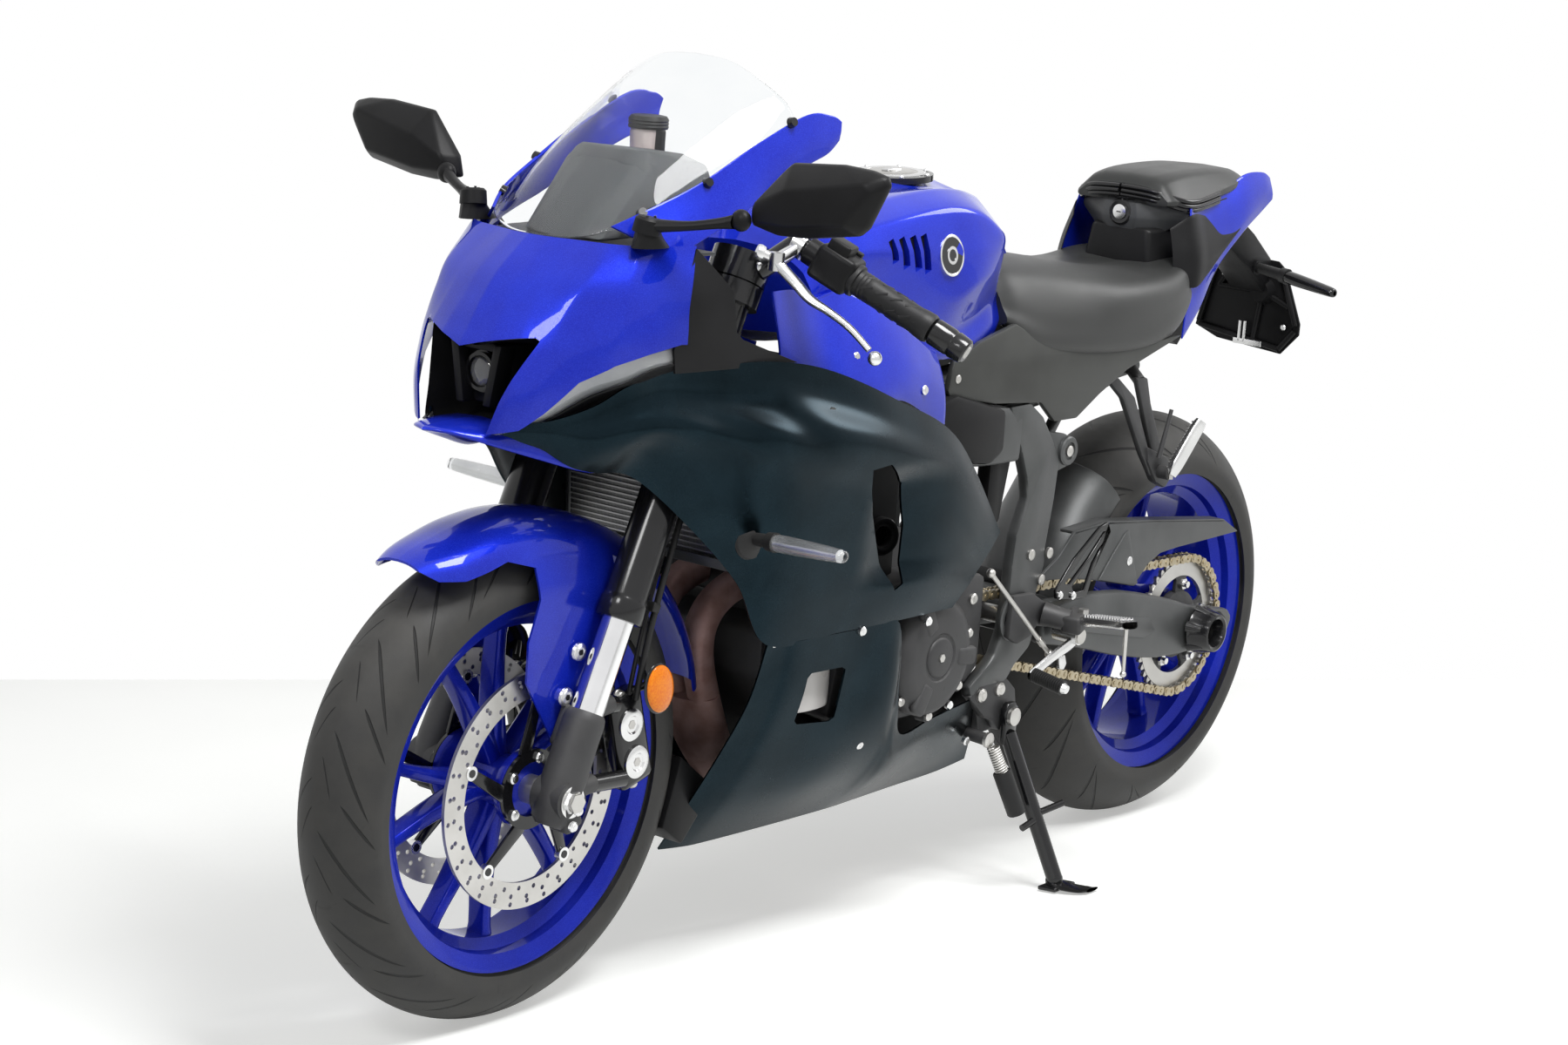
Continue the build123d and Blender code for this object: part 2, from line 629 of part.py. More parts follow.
with BuildPart() as covers:
    with BuildSketch(across(725, 390, 150 + gap)):
        Circle(82)
    extrude(amount=-30)
    with BuildSketch(across(725, 388, 180)):
        Circle(66)
    extrude(amount=-16, taper=12)
    with BuildSketch(across(725, 388, -150 - gap)):
        Circle(86)
    extrude(amount=32)
engine_covers = covers.part

with BuildPart() as cooler:
    add(slab([(1085, 542), (1116, 550), (1126, 690), (1096, 684)], -150, 150))
    add(rod((1102, -148, 600), (1102, -230, 600), 6))
    add(rod((1102, 148, 600), (1102, 230, 600), 6))
    add(side_fairings, mode=Mode.SUBTRACT)
radiator = cooler.part.solids().sort_by(SortBy.VOLUME)[-1]

# ---------------------------------------------------------------- body panels
belly_stations = [
    (1094, 457.4, 1092, 150, [171, 145, 106, 62, 12]),
    (1030, 457.4, 1030, 150, [180, 165, 135, 92, 32]),
    (930, 457.4, 930, 163, [185, 175, 160, 125, 60]),
    (845, 457.4, 845, 171, [190, 188, 175, 140, 78]),
    (800, 284, 800, 172, [166, 158, 140, 112, 80]),
    (590, 295, 600, 185, [136, 130, 122, 110, 95]),
    (555, 292, 535, 194, [121, 118, 114, 108, 100]),
]
with BuildPart() as belly_panel:
    add(skin(belly_stations))
    add(slab([(938, 336), (938, 406), (1010, 406), (1010, 336)], 120, 240), mode=Mode.SUBTRACT)
lower_fairings = both_sides(belly_panel.part)

tank_sections = [
    (1030, [(0, 905), (60, 896), (110, 864), (90, 838), (0, 836)]),
    (946, [(0, 993), (70, 985), (136, 930), (136, 850), (0, 803)]),
    (838, [(0, 1001), (85, 990), (152.6, 914), (146, 840), (0, 790)]),
    (668, [(0, 1015), (90, 1000), (144, 915), (134, 840), (0, 795)]),
    (525, [(0, 997), (75, 975), (118, 915), (100, 862), (0, 858)]),
    (391, [(0, 920), (50, 908), (80, 885), (60, 862), (0, 858)]),
]
with BuildPart() as tank:
    add(hull(tank_sections))
    with Locations((640, 0, 1012)):
        Cylinder(50, 24)
fuel_tank = tank.part

cover_stations = [
    (1052, 846, 1048, 820, [148, 149, 150, 150, 149]),
    (960, 896, 985, 806, [143, 147, 151, 153, 152]),
    (840, 908, 860, 768, [156, 170, 176, 174, 160]),
    (735, 885, 735, 735, [156, 166, 170, 166, 155]),
    (640, 862, 600, 764, [152, 154, 153, 148, 140]),
    (530, 840, 512, 806, [134, 134, 133, 131, 128]),
]
tank_covers = both_sides(skin(cover_stations))

seat_sections = [
    (545, [(0, 846), (70, 845), (110, 836), (119, 815), (100, 803), (0, 803)]),
    (450, [(0, 857.5), (70, 852), (114, 834), (121, 800), (100, 776), (0, 776)]),
    (350, [(0, 845), (80, 842), (125, 825), (130, 790), (100, 764), (0, 764)]),
    (200, [(0, 857), (85, 855), (130, 835), (134, 790), (105, 758), (0, 758)]),
    (80, [(0, 887), (80, 885), (120, 860), (124, 800), (100, 766), (0, 766)]),
    (31, [(0, 905), (70, 903), (100, 880), (104, 830), (90, 815), (0, 815)]),
]
rider_seat = hull(seat_sections)
pad_sections = [
    (190, [(0, 985), (55, 980), (80, 965), (75, 957), (0, 957)]),
    (80, [(0, 1003), (70, 998), (92, 978), (84, 960), (0, 958)]),
    (-60, [(0, 1010), (64, 1004), (80, 988), (74, 972), (0, 970)]),
    (-185, [(0, 1004), (40, 1000), (54, 992), (50, 980), (0, 979)]),
]
passenger_seat = hull(pad_sections)

wing_stations = [
    (95, 951, 22, 783, [106, 110, 113, 112, 108]),
    (15, 962, -25, 826, [100, 105, 108, 107, 103]),
    (-80, 974, -78, 882, [90, 94, 96, 95, 91]),
    (-155, 983, -128, 928, [74, 77, 79, 79, 76]),
    (-205, 987, -222, 960, [62, 62, 62, 61, 60]),
]
tail_wings = both_sides(skin(wing_stations))
with BuildPart() as core:
    add(hull([
        (150, [(0, 956.6), (60, 955), (84, 935), (80, 912), (0, 908)]),
        (40, [(0, 958.3), (64, 957.4), (92, 935), (90, 916), (0, 912)]),
        (-60, [(0, 969.6), (60, 966), (84, 950), (80, 915), (0, 908)]),
        (-185, [(0, 978.6), (44, 976), (56, 965), (50, 945), (0, 940)]),
    ]))
    add(slab([(100, 735), (95, 753), (62, 758), (26, 790), (24, 908), (20, 930), (-120, 952), (-140, 935), (-60, 860),
              (10, 775), (40, 735)], -88, 88))
    add(main_frame, mode=Mode.SUBTRACT)
    add(tail_wings, mode=Mode.SUBTRACT)
tail_core = core.part
with BuildPart() as lamp:
    with Locations((-196, 0, 962)):
        Box(22 - 2 * gap, 92, 22)
tail_lamp = lamp.part

# ---------------------------------------------------------------- nose, screen and mirrors
nose_levels = [
    (740, [(1300, 150), (1400, 125), (1480, 78), (1503, 55), (1515, 0)]),
    (800, [(1290, 165), (1400, 141), (1470, 97), (1500, 68), (1505, 0)]),
    (860, [(1286, 172), (1385, 149), (1458, 104), (1476, 52), (1468, 0)]),
    (920, [(1281, 172), (1370, 145), (1430, 93), (1438, 46), (1425, 0)]),
    (965, [(1275, 160), (1350, 131), (1382, 84), (1390, 42), (1385, 0)]),
]
arm_stations = [
    (1340, 992, 1292, 958, [112, 124, 136, 148, 156]),
    (1240, 1036, 1200, 992, [136, 142, 149, 154, 157]),
    (1150, 1080, 1130, 1024, [144, 148, 151, 153, 154]),
    (1060, 1114, 1060, 1052, [146, 149, 151, 152, 152]),
    (995, 1108, 1000, 1080, [148, 149, 150, 150, 150]),
]
lip_stations = [
    (0, [(1462, 762), (1545, 754), (1543, 747), (1462, 748)]),
    (52, [(1440, 756), (1516, 748), (1514, 740), (1440, 740)]),
    (88, [(1384, 724), (1440, 720), (1436, 710), (1384, 712)]),
]


def shell_level(points):
    inward = [(0, 1), (0.35, 0.95), (0.7, 0.7), (0.95, 0.35), (1, 0)]
    inner = [(x - wall * ix, y - wall * iy) for (x, y), (ix, iy) in zip(points, inward)]
    half = points + [(x, -y) for x, y in reversed(points[:-1])]
    return half + [(x, -y) for x, y in inner[:-1]] + [inner[-1]] + inner[:-1][::-1]


with BuildPart() as nose:
    for level, points in nose_levels:
        with BuildSketch(Plane.XY.offset(level)):
            with BuildLine():
                Polyline(*shell_level(points), close=True)
            make_face()
    loft(ruled=True)
    add(slab([(1250, 842), (1292, 842), (1430, 806), (1478, 772), (1496, 742), (1496, 700), (1250, 700)], -220, 220),
        mode=Mode.SUBTRACT)
    with BuildSketch(Plane(origin=(1380, 0, 0), x_dir=(0, 1, 0), z_dir=(1, 0, 0))):
        with BuildLine():
            Polyline((0, 836), (55, 848), (88, 858), (80, 830), (50, 735), (-50, 735), (-80, 830), (-88, 858), (-55, 848),
                     close=True)
        make_face()
    extrude(amount=200, mode=Mode.SUBTRACT)
    add(both_sides(skin(arm_stations)))
    for side in (1, -1):
        for y, points in lip_stations:
            with BuildSketch(across(0, 0, side * y)):
                with BuildLine():
                    Polyline(*points, close=True)
                make_face()
        loft(ruled=True)
    add(side_fairings, mode=Mode.SUBTRACT)
front_cowl = nose.part.solids().sort_by(SortBy.VOLUME)[-1]

with BuildPart() as lamp_box:
    add(slab([(1310, 765), (1425, 762), (1415, 842), (1310, 842)], -70, 70))
    with Locations(Location((1425, 0, 800), (0, 90, 0))):
        Cylinder(34, 30)
    add(rod((1320, 68, 800), (1320, 140, 800), 8))
    add(rod((1320, -68, 800), (1320, -140, 800), 8))
    add(side_fairings, mode=Mode.SUBTRACT)
headlamp = lamp_box.part

panel_stations = [
    (1270, 960, 1284, 846, [156, 168, 171, 171, 170]),
    (1222, 925, 1225, 824, [163, 171, 173, 172, 169]),
    (1190, 898, 1190, 826, [169, 173, 175, 175, 173]),
    (1140, 838, 1138, 827, [180, 180, 180, 180, 180]),
]
with BuildPart() as side_cover:
    add(skin(panel_stations))
    add(slab([(1100, 832), (1240, 832), (1252, 846), (1254, 892), (1250, 936), (1100, 936)], 120, 240), mode=Mode.SUBTRACT)
cowl_panels = both_sides(side_cover.part.solids().sort_by(SortBy.VOLUME)[-1])

screen_arches = [
    ((1380, 966), (1366, 950), 40),
    ((1330, 1012), (1300, 992), 112),
    ((1262, 1072), (1232, 1040), 136),
    ((1180, 1132), (1150, 1080), 144),
    ((1104, 1182), (1087, 1116), 146),
]
with BuildPart() as shield:
    for (top_x, top_z), (low_x, low_z), half in screen_arches:
        line = Vector(top_x - low_x, 0, top_z - low_z)
        rise = line.length
        arch = [(1, 0), (0.86, 0.5), (0.5, 0.87), (0.0, 1.0)]
        outer = [(half * a, rise * b) for a, b in arch]
        inner = [((half - 4) * a, rise * b - 4 * b) for a, b in arch]
        plane = Plane(origin=(low_x, 0, low_z), x_dir=(0, 1, 0), z_dir=Vector(0, 1, 0).cross(line))
        with BuildSketch(plane):
            with BuildLine():
                Polyline(*outer, *[(-a, b) for a, b in reversed(outer[:-1])],
                         *[(-a, b) for a, b in inner[:-1]], *reversed(inner), close=True)
            make_face()
    loft(ruled=True)
    add(front_cowl, mode=Mode.SUBTRACT)
windscreen = shield.part.solids().sort_by(SortBy.VOLUME)[-1]

dash_sections = [
    (1140, [(0, 1012), (60, 1006), (72, 985), (0, 970)]),
    (1180, [(0, 1044), (70, 1034), (84, 1000), (0, 972)]),
    (1268, [(0, 1050), (68, 1034), (84, 995), (0, 968)]),
    (1345, [(0, 990), (60, 980), (70, 966), (0, 955)]),
]
with BuildPart() as panel:
    add(hull(dash_sections))
    add(front_cowl, mode=Mode.SUBTRACT)
    add(windscreen, mode=Mode.SUBTRACT)
instrument_panel = panel.part.solids().sort_by(SortBy.VOLUME)[-1]

mirror_sections = [
    (250, [(1306, 1004), (1262, 1000), (1256, 1040), (1292, 1046)]),
    (340, [(1300, 1004), (1240, 1000), (1232, 1075), (1282, 1082)]),
    (423, [(1276, 1034), (1252, 1034), (1252, 1076), (1270, 1077)]),
]
with BuildPart() as glass:
    for y, points in mirror_sections:
        with BuildSketch(across(0, 0, y)):
            with BuildLine():
                Polyline(*points, close=True)
            make_face()
    loft(ruled=True)
    add(rod((1336, 138, 992), (1280, 256, 1018), 11, 9))
    with Locations((1332, 140, 990)):
        Box(50, 30, 16)
    add(front_cowl, mode=Mode.SUBTRACT)
mirrors = both_sides(glass.part.solids().sort_by(Axis.Y)[-1])


def lamp_stalk(root, tip):
    line = Vector(*tip) - Vector(*root)
    middle = Vector(*root) + 0.4 * line
    with BuildPart() as stalk:
        add(rod(root, middle, 8, 10))
        add(rod(middle, tip, 13, 11))
    return stalk.part


with BuildPart() as front_stalks:
    add(lamp_stalk((1178, 150, 614), (1160, 330, 609)))
    add(side_fairings, mode=Mode.SUBTRACT)
front_indicators = both_sides(front_stalks.part.solids().sort_by(Axis.Y)[-1])

# ---------------------------------------------------------------- side panels, rests and plate
side_panel_outline = [(698, 738), (600, 758), (540, 784), (515, 782), (504, 779), (452, 771), (330, 752), (232, 741), (381, 673),
                      (527, 708), (694, 728)]
seat_side_panels = both_sides(slab(side_panel_outline, plate_outer + gap, plate_outer + 6))

peg_plate = [(545, 455), (428, 468), (423, 405), (470, 300), (526, 300)]
rear_peg_plate = [(420, 700), (345, 742), (280, 735), (118, 640), (140, 575), (175, 590)]
with BuildPart() as rests:
    add(slab(peg_plate, plate_outer + gap, plate_outer + 9))
    add(rod((444, plate_outer + 8, 408), (450, 305, 412), 11))
    with Locations(Location((swing_pivot[0], 140, swing_pivot[1]), (90, 0, 0))):
        Cylinder(axle_radius + 8, 40, mode=Mode.SUBTRACT)
footrests = both_sides(rests.part)
with BuildPart() as rear_rests:
    add(slab(rear_peg_plate, 101, 108))
    add(rod((160, 107, 610), (150, 190, 640), 11))
    add(main_frame, mode=Mode.SUBTRACT)
passenger_rests = both_sides(rear_rests.part)
with BuildPart() as pedal:
    add(rod((455, 156, 380), (560, 168, 345), 6))
    add(rod((560, 164, 345), (560, 232, 345), 9))
    add(slab([(440, 372), (440, 392), (468, 390), (468, 366)], 147 + gap, 162))
    add(rod((450, 152, 392), (640, 152, 455), 4))
shift_lever = pedal.part
with BuildPart() as brake_pedal_form:
    add(rod((455, -156, 370), (590, -168, 335), 6))
    add(rod((590, -164, 335), (590, -225, 335), 8))
    add(slab([(440, 362), (440, 384), (468, 382), (468, 356)], -162, -147 - gap))
brake_pedal = brake_pedal_form.part

plate_corners = [(-79, 834), (-40, 853), (41, 836), (94, 746), (56, 705), (-108, 730)]
with BuildPart() as hanger:
    add(slab([(-110, 925), (-180, 935), (-312, 850), (-312, 800), (-290, 800), (-170, 880)], -30, 30))
    add(tail_core, mode=Mode.SUBTRACT)
    with BuildSketch(Plane(origin=(-312, 0, 0), x_dir=(0, 1, 0), z_dir=(-1, 0, 0))):
        with BuildLine():
            Polyline(*[(y, -z) for y, z in plate_corners], close=True)
        make_face()
    extrude(amount=4)
plate_holder = hanger.part
rear_indicators = both_sides(lamp_stalk((-262, 32, 842), (-250, 180, 822)))

# ---------------------------------------------------------------- side stand
stand_pivot = (500.0, 150.0, 262.0)
stand_foot = (452.0, 232.0)


def floor_height(side):
    """Height of the floor under the leaned machine, at a distance to the left of the middle."""
    return side * sin(radians(lean)) / cos(radians(lean))


with BuildPart() as stand:
    with BuildSketch(across(stand_pivot[0], stand_pivot[2], 138 + gap)):
        Circle(17)
    extrude(amount=-14)
    add(rod((stand_pivot[0], 151, stand_pivot[2]), (stand_foot[0], stand_foot[1], floor_height(stand_foot[1]) + 12), 11))
    add(rod((stand_foot[0] - 24, stand_foot[1] - 4, floor_height(stand_foot[1] - 4) + 6),
            (stand_foot[0] + 30, stand_foot[1] - 4, floor_height(stand_foot[1] - 4) + 6), 6))
side_stand = stand.part

# ---------------------------------------------------------------- parked pose
def crown_height(radius, crown_radius, axle_direction):
    """Height of a wheel's centre when its crowned tyre touches the floor."""
    level = sqrt(1 - axle_direction.Z**2)
    return (radius - crown_radius) * level + crown_radius


axle_up = Vector(0, cos(radians(lean)), -sin(radians(lean)))
rear_height = crown_height(tyre_radius_rear, crown_rear, axle_up)
front_height = crown_height(tyre_radius_front, crown_front, axle_up)
leaned_rear = tyre_radius_rear * cos(radians(lean))
leaned_front = tyre_radius_front * cos(radians(lean))
pitch = degrees(atan2((rear_height - leaned_rear) - (front_height - leaned_front), wheel_base))
rise = rear_height - leaned_rear

finished = {
    "front_tyre": front_tyre, "front_rim": front_rim, "front_discs": front_discs,
    "rear_tyre": rear_tyre, "rear_rim": rear_rim, "rear_disc": rear_disc, "rear_sprocket": rear_sprocket,
    "fork_carriers": fork_carriers, "fork_inner_tubes": fork_inner_tubes, "fork_outer_tubes": fork_outer_tubes,
    "fork_yokes": fork_yokes, "handlebars": handlebars, "grips": grips, "bar_weights": bar_weights,
    "bar_controls": bar_controls,
    "front_axle": front_axle_shaft, "front_fender": front_fender, "front_calipers": front_calipers,
    "swingarm": swingarm, "swing_bolt": swing_bolt, "rear_axle": rear_axle_shaft, "drive_chain": drive_chain,
    "chain_guard": chain_guard, "rear_hugger": rear_hugger, "rear_caliper": rear_caliper,
    "main_frame": main_frame, "engine_block": engine_block, "engine_covers": engine_covers, "exhaust": exhaust,
    "radiator": radiator, "side_fairings": side_fairings, "lower_fairings": lower_fairings,
    "fuel_tank": fuel_tank, "tank_covers": tank_covers, "rider_seat": rider_seat,
    "passenger_seat": passenger_seat, "tail_wings": tail_wings, "tail_core": tail_core, "tail_lamp": tail_lamp,
    "front_cowl": front_cowl, "headlamp": headlamp, "cowl_panels": cowl_panels, "windscreen": windscreen,
    "instrument_panel": instrument_panel, "mirrors": mirrors, "front_indicators": front_indicators,
    "seat_side_panels": seat_side_panels, "footrests": footrests, "passenger_rests": passenger_rests,
    "shift_lever": shift_lever, "brake_pedal": brake_pedal, "plate_holder": plate_holder,
    "rear_indicators": rear_indicators, "side_stand": side_stand,
}
parked = Location((0, 0, rise)) * Location((0, 0, 0), (-lean, 0, 0)) * Location((0, 0, 0), (0, pitch, 0))
placed = {name: piece.moved(parked) for name, piece in finished.items()}
boxes = [piece.bounding_box() for piece in placed.values()]
low = Vector(*[min(getattr(box.min, axis) for box in boxes) for axis in "XYZ"])
high = Vector(*[max(getattr(box.max, axis) for box in boxes) for axis in "XYZ"])
centring = Location((-(low.X + high.X) / 2, -(low.Y + high.Y) / 2, -low.Z))
os.makedirs("parts", exist_ok=True)
for name, piece in placed.items():
    piece = piece.moved(centring)
    piece.label = name
    export_step(piece, f"parts/{name}.step")
print("size", high - low, "shift", centring.position, "pitch", pitch, "rise", rise, "low", low)
for name, point in (("steering", steer_point), ("front_wheel", front_axle), ("rear_wheel", rear_axle),
                    ("side_stand", Vector(*stand_pivot))):
    print(name, "at", (centring * parked * Location(point)).position)
for name, way in (("steering", steer_up), ("wheels", Vector(0, 1, 0))):
    turned = (parked * Location(way)).position - parked.position
    print(name, "axis", turned)
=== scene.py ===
import bpy, bmesh, json
from math import sin, cos, atan2, sqrt, radians, pi
from mathutils import Vector, Matrix


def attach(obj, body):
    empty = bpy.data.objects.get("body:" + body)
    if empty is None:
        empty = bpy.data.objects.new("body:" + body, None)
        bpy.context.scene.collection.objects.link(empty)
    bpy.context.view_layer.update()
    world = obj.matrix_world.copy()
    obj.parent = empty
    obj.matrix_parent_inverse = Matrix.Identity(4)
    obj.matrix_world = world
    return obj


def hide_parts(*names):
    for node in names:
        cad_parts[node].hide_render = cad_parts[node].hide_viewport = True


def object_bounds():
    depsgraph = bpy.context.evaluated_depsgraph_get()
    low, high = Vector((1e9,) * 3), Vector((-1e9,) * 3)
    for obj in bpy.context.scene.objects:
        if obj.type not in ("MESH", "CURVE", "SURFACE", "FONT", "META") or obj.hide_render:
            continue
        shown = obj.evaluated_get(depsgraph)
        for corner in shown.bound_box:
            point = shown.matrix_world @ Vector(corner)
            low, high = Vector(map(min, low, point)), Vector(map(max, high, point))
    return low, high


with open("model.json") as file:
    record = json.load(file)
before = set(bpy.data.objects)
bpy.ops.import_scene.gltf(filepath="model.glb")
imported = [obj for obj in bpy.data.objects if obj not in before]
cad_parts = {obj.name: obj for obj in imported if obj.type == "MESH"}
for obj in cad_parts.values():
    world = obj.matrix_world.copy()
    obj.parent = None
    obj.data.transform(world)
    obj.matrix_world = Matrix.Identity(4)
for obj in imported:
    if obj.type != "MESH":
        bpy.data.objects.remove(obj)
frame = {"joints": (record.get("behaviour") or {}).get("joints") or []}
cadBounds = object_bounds()
joints = {joint["name"]: joint for joint in frame["joints"]}
print("frame loaded")

# drawing axes of the upright bike in mm: x forward from the rear axle, y to the left, z up from the floor
bike = {"lean": 5.3, "pitch": 0.00579, "rearAxle": (0, 0, 315), "frontAxle": (1395, 0, 300), "rake": 23.7}
panelWall = 3   # mm, the moulded panels and the screen
turned = (Matrix.Rotation(radians(-bike["lean"]), 4, "X") @ Matrix.Rotation(radians(bike["pitch"]), 4, "Y")
          @ Matrix.Scale(0.001, 4))
rearHub = Vector(joints["rear_wheel_spin"]["pos_m"])
toPart = Matrix.Translation(rearHub - turned @ Vector(bike["rearAxle"])) @ turned
mirrorY = Matrix.Scale(-1, 4, (0, 1, 0))

# camera, placed from where the rear hub stands
shot = {"place": (4.14098, 2.67583, 1.17234), "target": (0.28735, -0.40665, 0.44487),
        "hub": (0.000032, 0.029097, 0.314059),
        "lens": 73.31, "sensor": 36}
shift = rearHub - Vector(shot["hub"])
camera = bpy.data.objects.new("camera", bpy.data.cameras.new("camera"))
bpy.context.collection.objects.link(camera)
camera.data.lens, camera.data.sensor_width = shot["lens"], shot["sensor"]
camera.data.clip_start, camera.data.clip_end = 0.05, 100
camera.location = Vector(shot["place"]) + shift
camera.rotation_euler = (Vector(shot["target"]) - Vector(shot["place"])).to_track_quat("-Z", "Y").to_euler()
bpy.context.scene.camera = camera


# shader groups that the finishes share


def shaderGroup(name, inputs, outputs):
    tree = bpy.data.node_groups.new(name, "ShaderNodeTree")
    for label, start in inputs:
        socket = tree.interface.new_socket(label, in_out="INPUT", socket_type="NodeSocketFloat")
        socket.default_value = start
    for label, kind in outputs:
        tree.interface.new_socket(label, in_out="OUTPUT", socket_type=kind)
    return tree, tree.nodes.new("NodeGroupInput"), tree.nodes.new("NodeGroupOutput")


def node(tree, kind, inputs=(), **settings):
    made = tree.nodes.new("ShaderNode" + kind)
    for key, value in settings.items():
        setattr(made, key, value)
    for socket, value in dict(inputs).items():
        if isinstance(value, bpy.types.NodeSocket):
            tree.links.new(value, made.inputs[socket])
        else:
            made.inputs[socket].default_value = value
    return made


def sums(tree, operation, *values, clamp=False):
    return node(tree, "Math", {i: value for i, value in enumerate(values)}, operation=operation,
                use_clamp=clamp).outputs[0]


def blendColours(tree, share, first, second):
    mix = node(tree, "Mix", {0: share, 6: first, 7: second}, data_type="RGBA")
    return mix.outputs[2]


def makeGrain():   # fine pits and slow mottling for plastics, castings and rubber
    tree, entry, out = shaderGroup("surfaceGrain", [("Scale", 900), ("Mottle Scale", 14)],
                                   [("Height", "NodeSocketFloat"), ("Mottle", "NodeSocketFloat")])
    place = node(tree, "TexCoord").outputs["Object"]
    pits = node(tree, "TexNoise", {"Vector": place, "Scale": entry.outputs["Scale"], "Detail": 3,
        "Roughness": 0.6})
    slow = node(tree, "TexNoise", {"Vector": place, "Scale": entry.outputs["Mottle Scale"], "Detail": 4})
    spread = node(tree, "MapRange", {"Value": slow.outputs["Fac"], "From Min": 0.32, "From Max": 0.68})
    tree.links.new(pits.outputs["Fac"], out.inputs["Height"])
    tree.links.new(spread.outputs[0], out.inputs["Mottle"])
    return tree


def makeDust():   # dust that settles on faces that look up, and thin scuffs
    tree, entry, out = shaderGroup("dustAndScuffs", [("Amount", 0.3), ("Scale", 40)],
                                   [("Dust", "NodeSocketFloat"), ("Scuffs", "NodeSocketFloat")])
    place = node(tree, "TexCoord").outputs["Object"]
    upward = node(tree, "SeparateXYZ", {0: node(tree, "NewGeometry").outputs["Normal"]}).outputs["Z"]
    cloud = node(tree, "TexNoise", {"Vector": place, "Scale": entry.outputs["Scale"],
        "Detail": 5}).outputs["Fac"]
    top = sums(tree, "MAXIMUM", upward, 0.15)
    dust = sums(tree, "MULTIPLY", sums(tree, "MULTIPLY", top, cloud), entry.outputs["Amount"], clamp=True)
    streak = node(tree, "Mapping", {0: place, "Scale": (160, 22, 90)}).outputs[0]
    lines = node(tree, "TexNoise", {"Vector": streak, "Scale": 1, "Detail": 2}).outputs["Fac"]
    scuffs = node(tree, "MapRange", {"Value": lines, "From Min": 0.66, "From Max": 0.74}).outputs[0]
    tree.links.new(dust, out.inputs["Dust"])
    tree.links.new(sums(tree, "MULTIPLY", scuffs, entry.outputs["Amount"]), out.inputs["Scuffs"])
    return tree


def makeFlake():   # metallic flakes under clear coat
    tree, entry, out = shaderGroup("metalFlake", [("Scale", 2200), ("Strength", 0.3)],
        [("Sparkle", "NodeSocketFloat")])
    place = node(tree, "TexCoord").outputs["Object"]
    cells = node(tree, "TexVoronoi", {"Vector": place, "Scale": entry.outputs["Scale"]})
    value = node(tree, "SeparateColor", {0: cells.outputs["Color"]}).outputs[0]
    tree.links.new(sums(tree, "MULTIPLY", sums(tree, "POWER", value, 3), entry.outputs["Strength"]),
                   out.inputs["Sparkle"])
    return tree


def makeBrush():   # fine lines along one way for machined metal
    tree, entry, out = shaderGroup("machinedLines", [("Scale", 60)], [("Lines", "NodeSocketFloat")])
    place = node(tree, "TexCoord").outputs["Object"]
    pulled = node(tree, "Mapping", {0: place, "Scale": (1, 1, 26)}).outputs[0]
    lines = node(tree, "TexNoise", {"Vector": pulled, "Scale": entry.outputs["Scale"],
        "Detail": 4}).outputs["Fac"]
    tree.links.new(lines, out.inputs["Lines"])
    return tree


grainGroup, dustGroup, flakeGroup, brushGroup = makeGrain(), makeDust(), makeFlake(), makeBrush()


def placeGroup(tree, group, **values):
    made = tree.nodes.new("ShaderNodeGroup")
    made.node_tree = group
    for label, value in values.items():
        made.inputs[label.replace("_", " ")].default_value = value
    return made


finish = {}


def finishFor(name, tint, second, rough, spread=0.1, grain=900, bump=0.15, mottle=14, dust=0.15,
              dustTint=(0.3, 0.29, 0.27),
              sparkle=0, lines=0, **sockets):
    # one finish: two tints mottled, dust on top, roughness that varies, and a fine bump
    material = bpy.data.materials.new(name)
    material.use_nodes = True
    tree = material.node_tree
    shader = tree.nodes["Principled BSDF"]
    for label, value in sockets.items():
        shader.inputs[label.replace("_", " ")].default_value = value
    surface = placeGroup(tree, grainGroup, Scale=grain, Mottle_Scale=mottle)
    film = placeGroup(tree, dustGroup, Amount=dust)
    mixed = blendColours(tree, surface.outputs["Mottle"], (*tint, 1), (*second, 1))
    if sparkle:
        flakes = placeGroup(tree, flakeGroup, Strength=sparkle)
        bright = [min(1, 6 * part + 0.03) for part in tint]
        mixed = blendColours(tree, flakes.outputs[0], mixed, (*bright, 1))
    mixed = blendColours(tree, film.outputs["Dust"], mixed, (*dustTint, 1))
    tree.links.new(mixed, shader.inputs["Base Color"])
    worn = sums(tree, "MULTIPLY_ADD", surface.outputs["Mottle"], spread, rough - spread / 2)
    worn = sums(tree, "ADD", worn, sums(tree, "MULTIPLY", film.outputs["Scuffs"], 0.5), clamp=True)
    tree.links.new(worn, shader.inputs["Roughness"])
    height = placeGroup(tree, brushGroup, Scale=lines).outputs[0] if lines else surface.outputs["Height"]
    ridge = node(tree, "Bump", {"Height": height, "Strength": bump, "Distance": 0.0004})
    tree.links.new(ridge.outputs[0], shader.inputs["Normal"])
    finish[name] = material
    return material


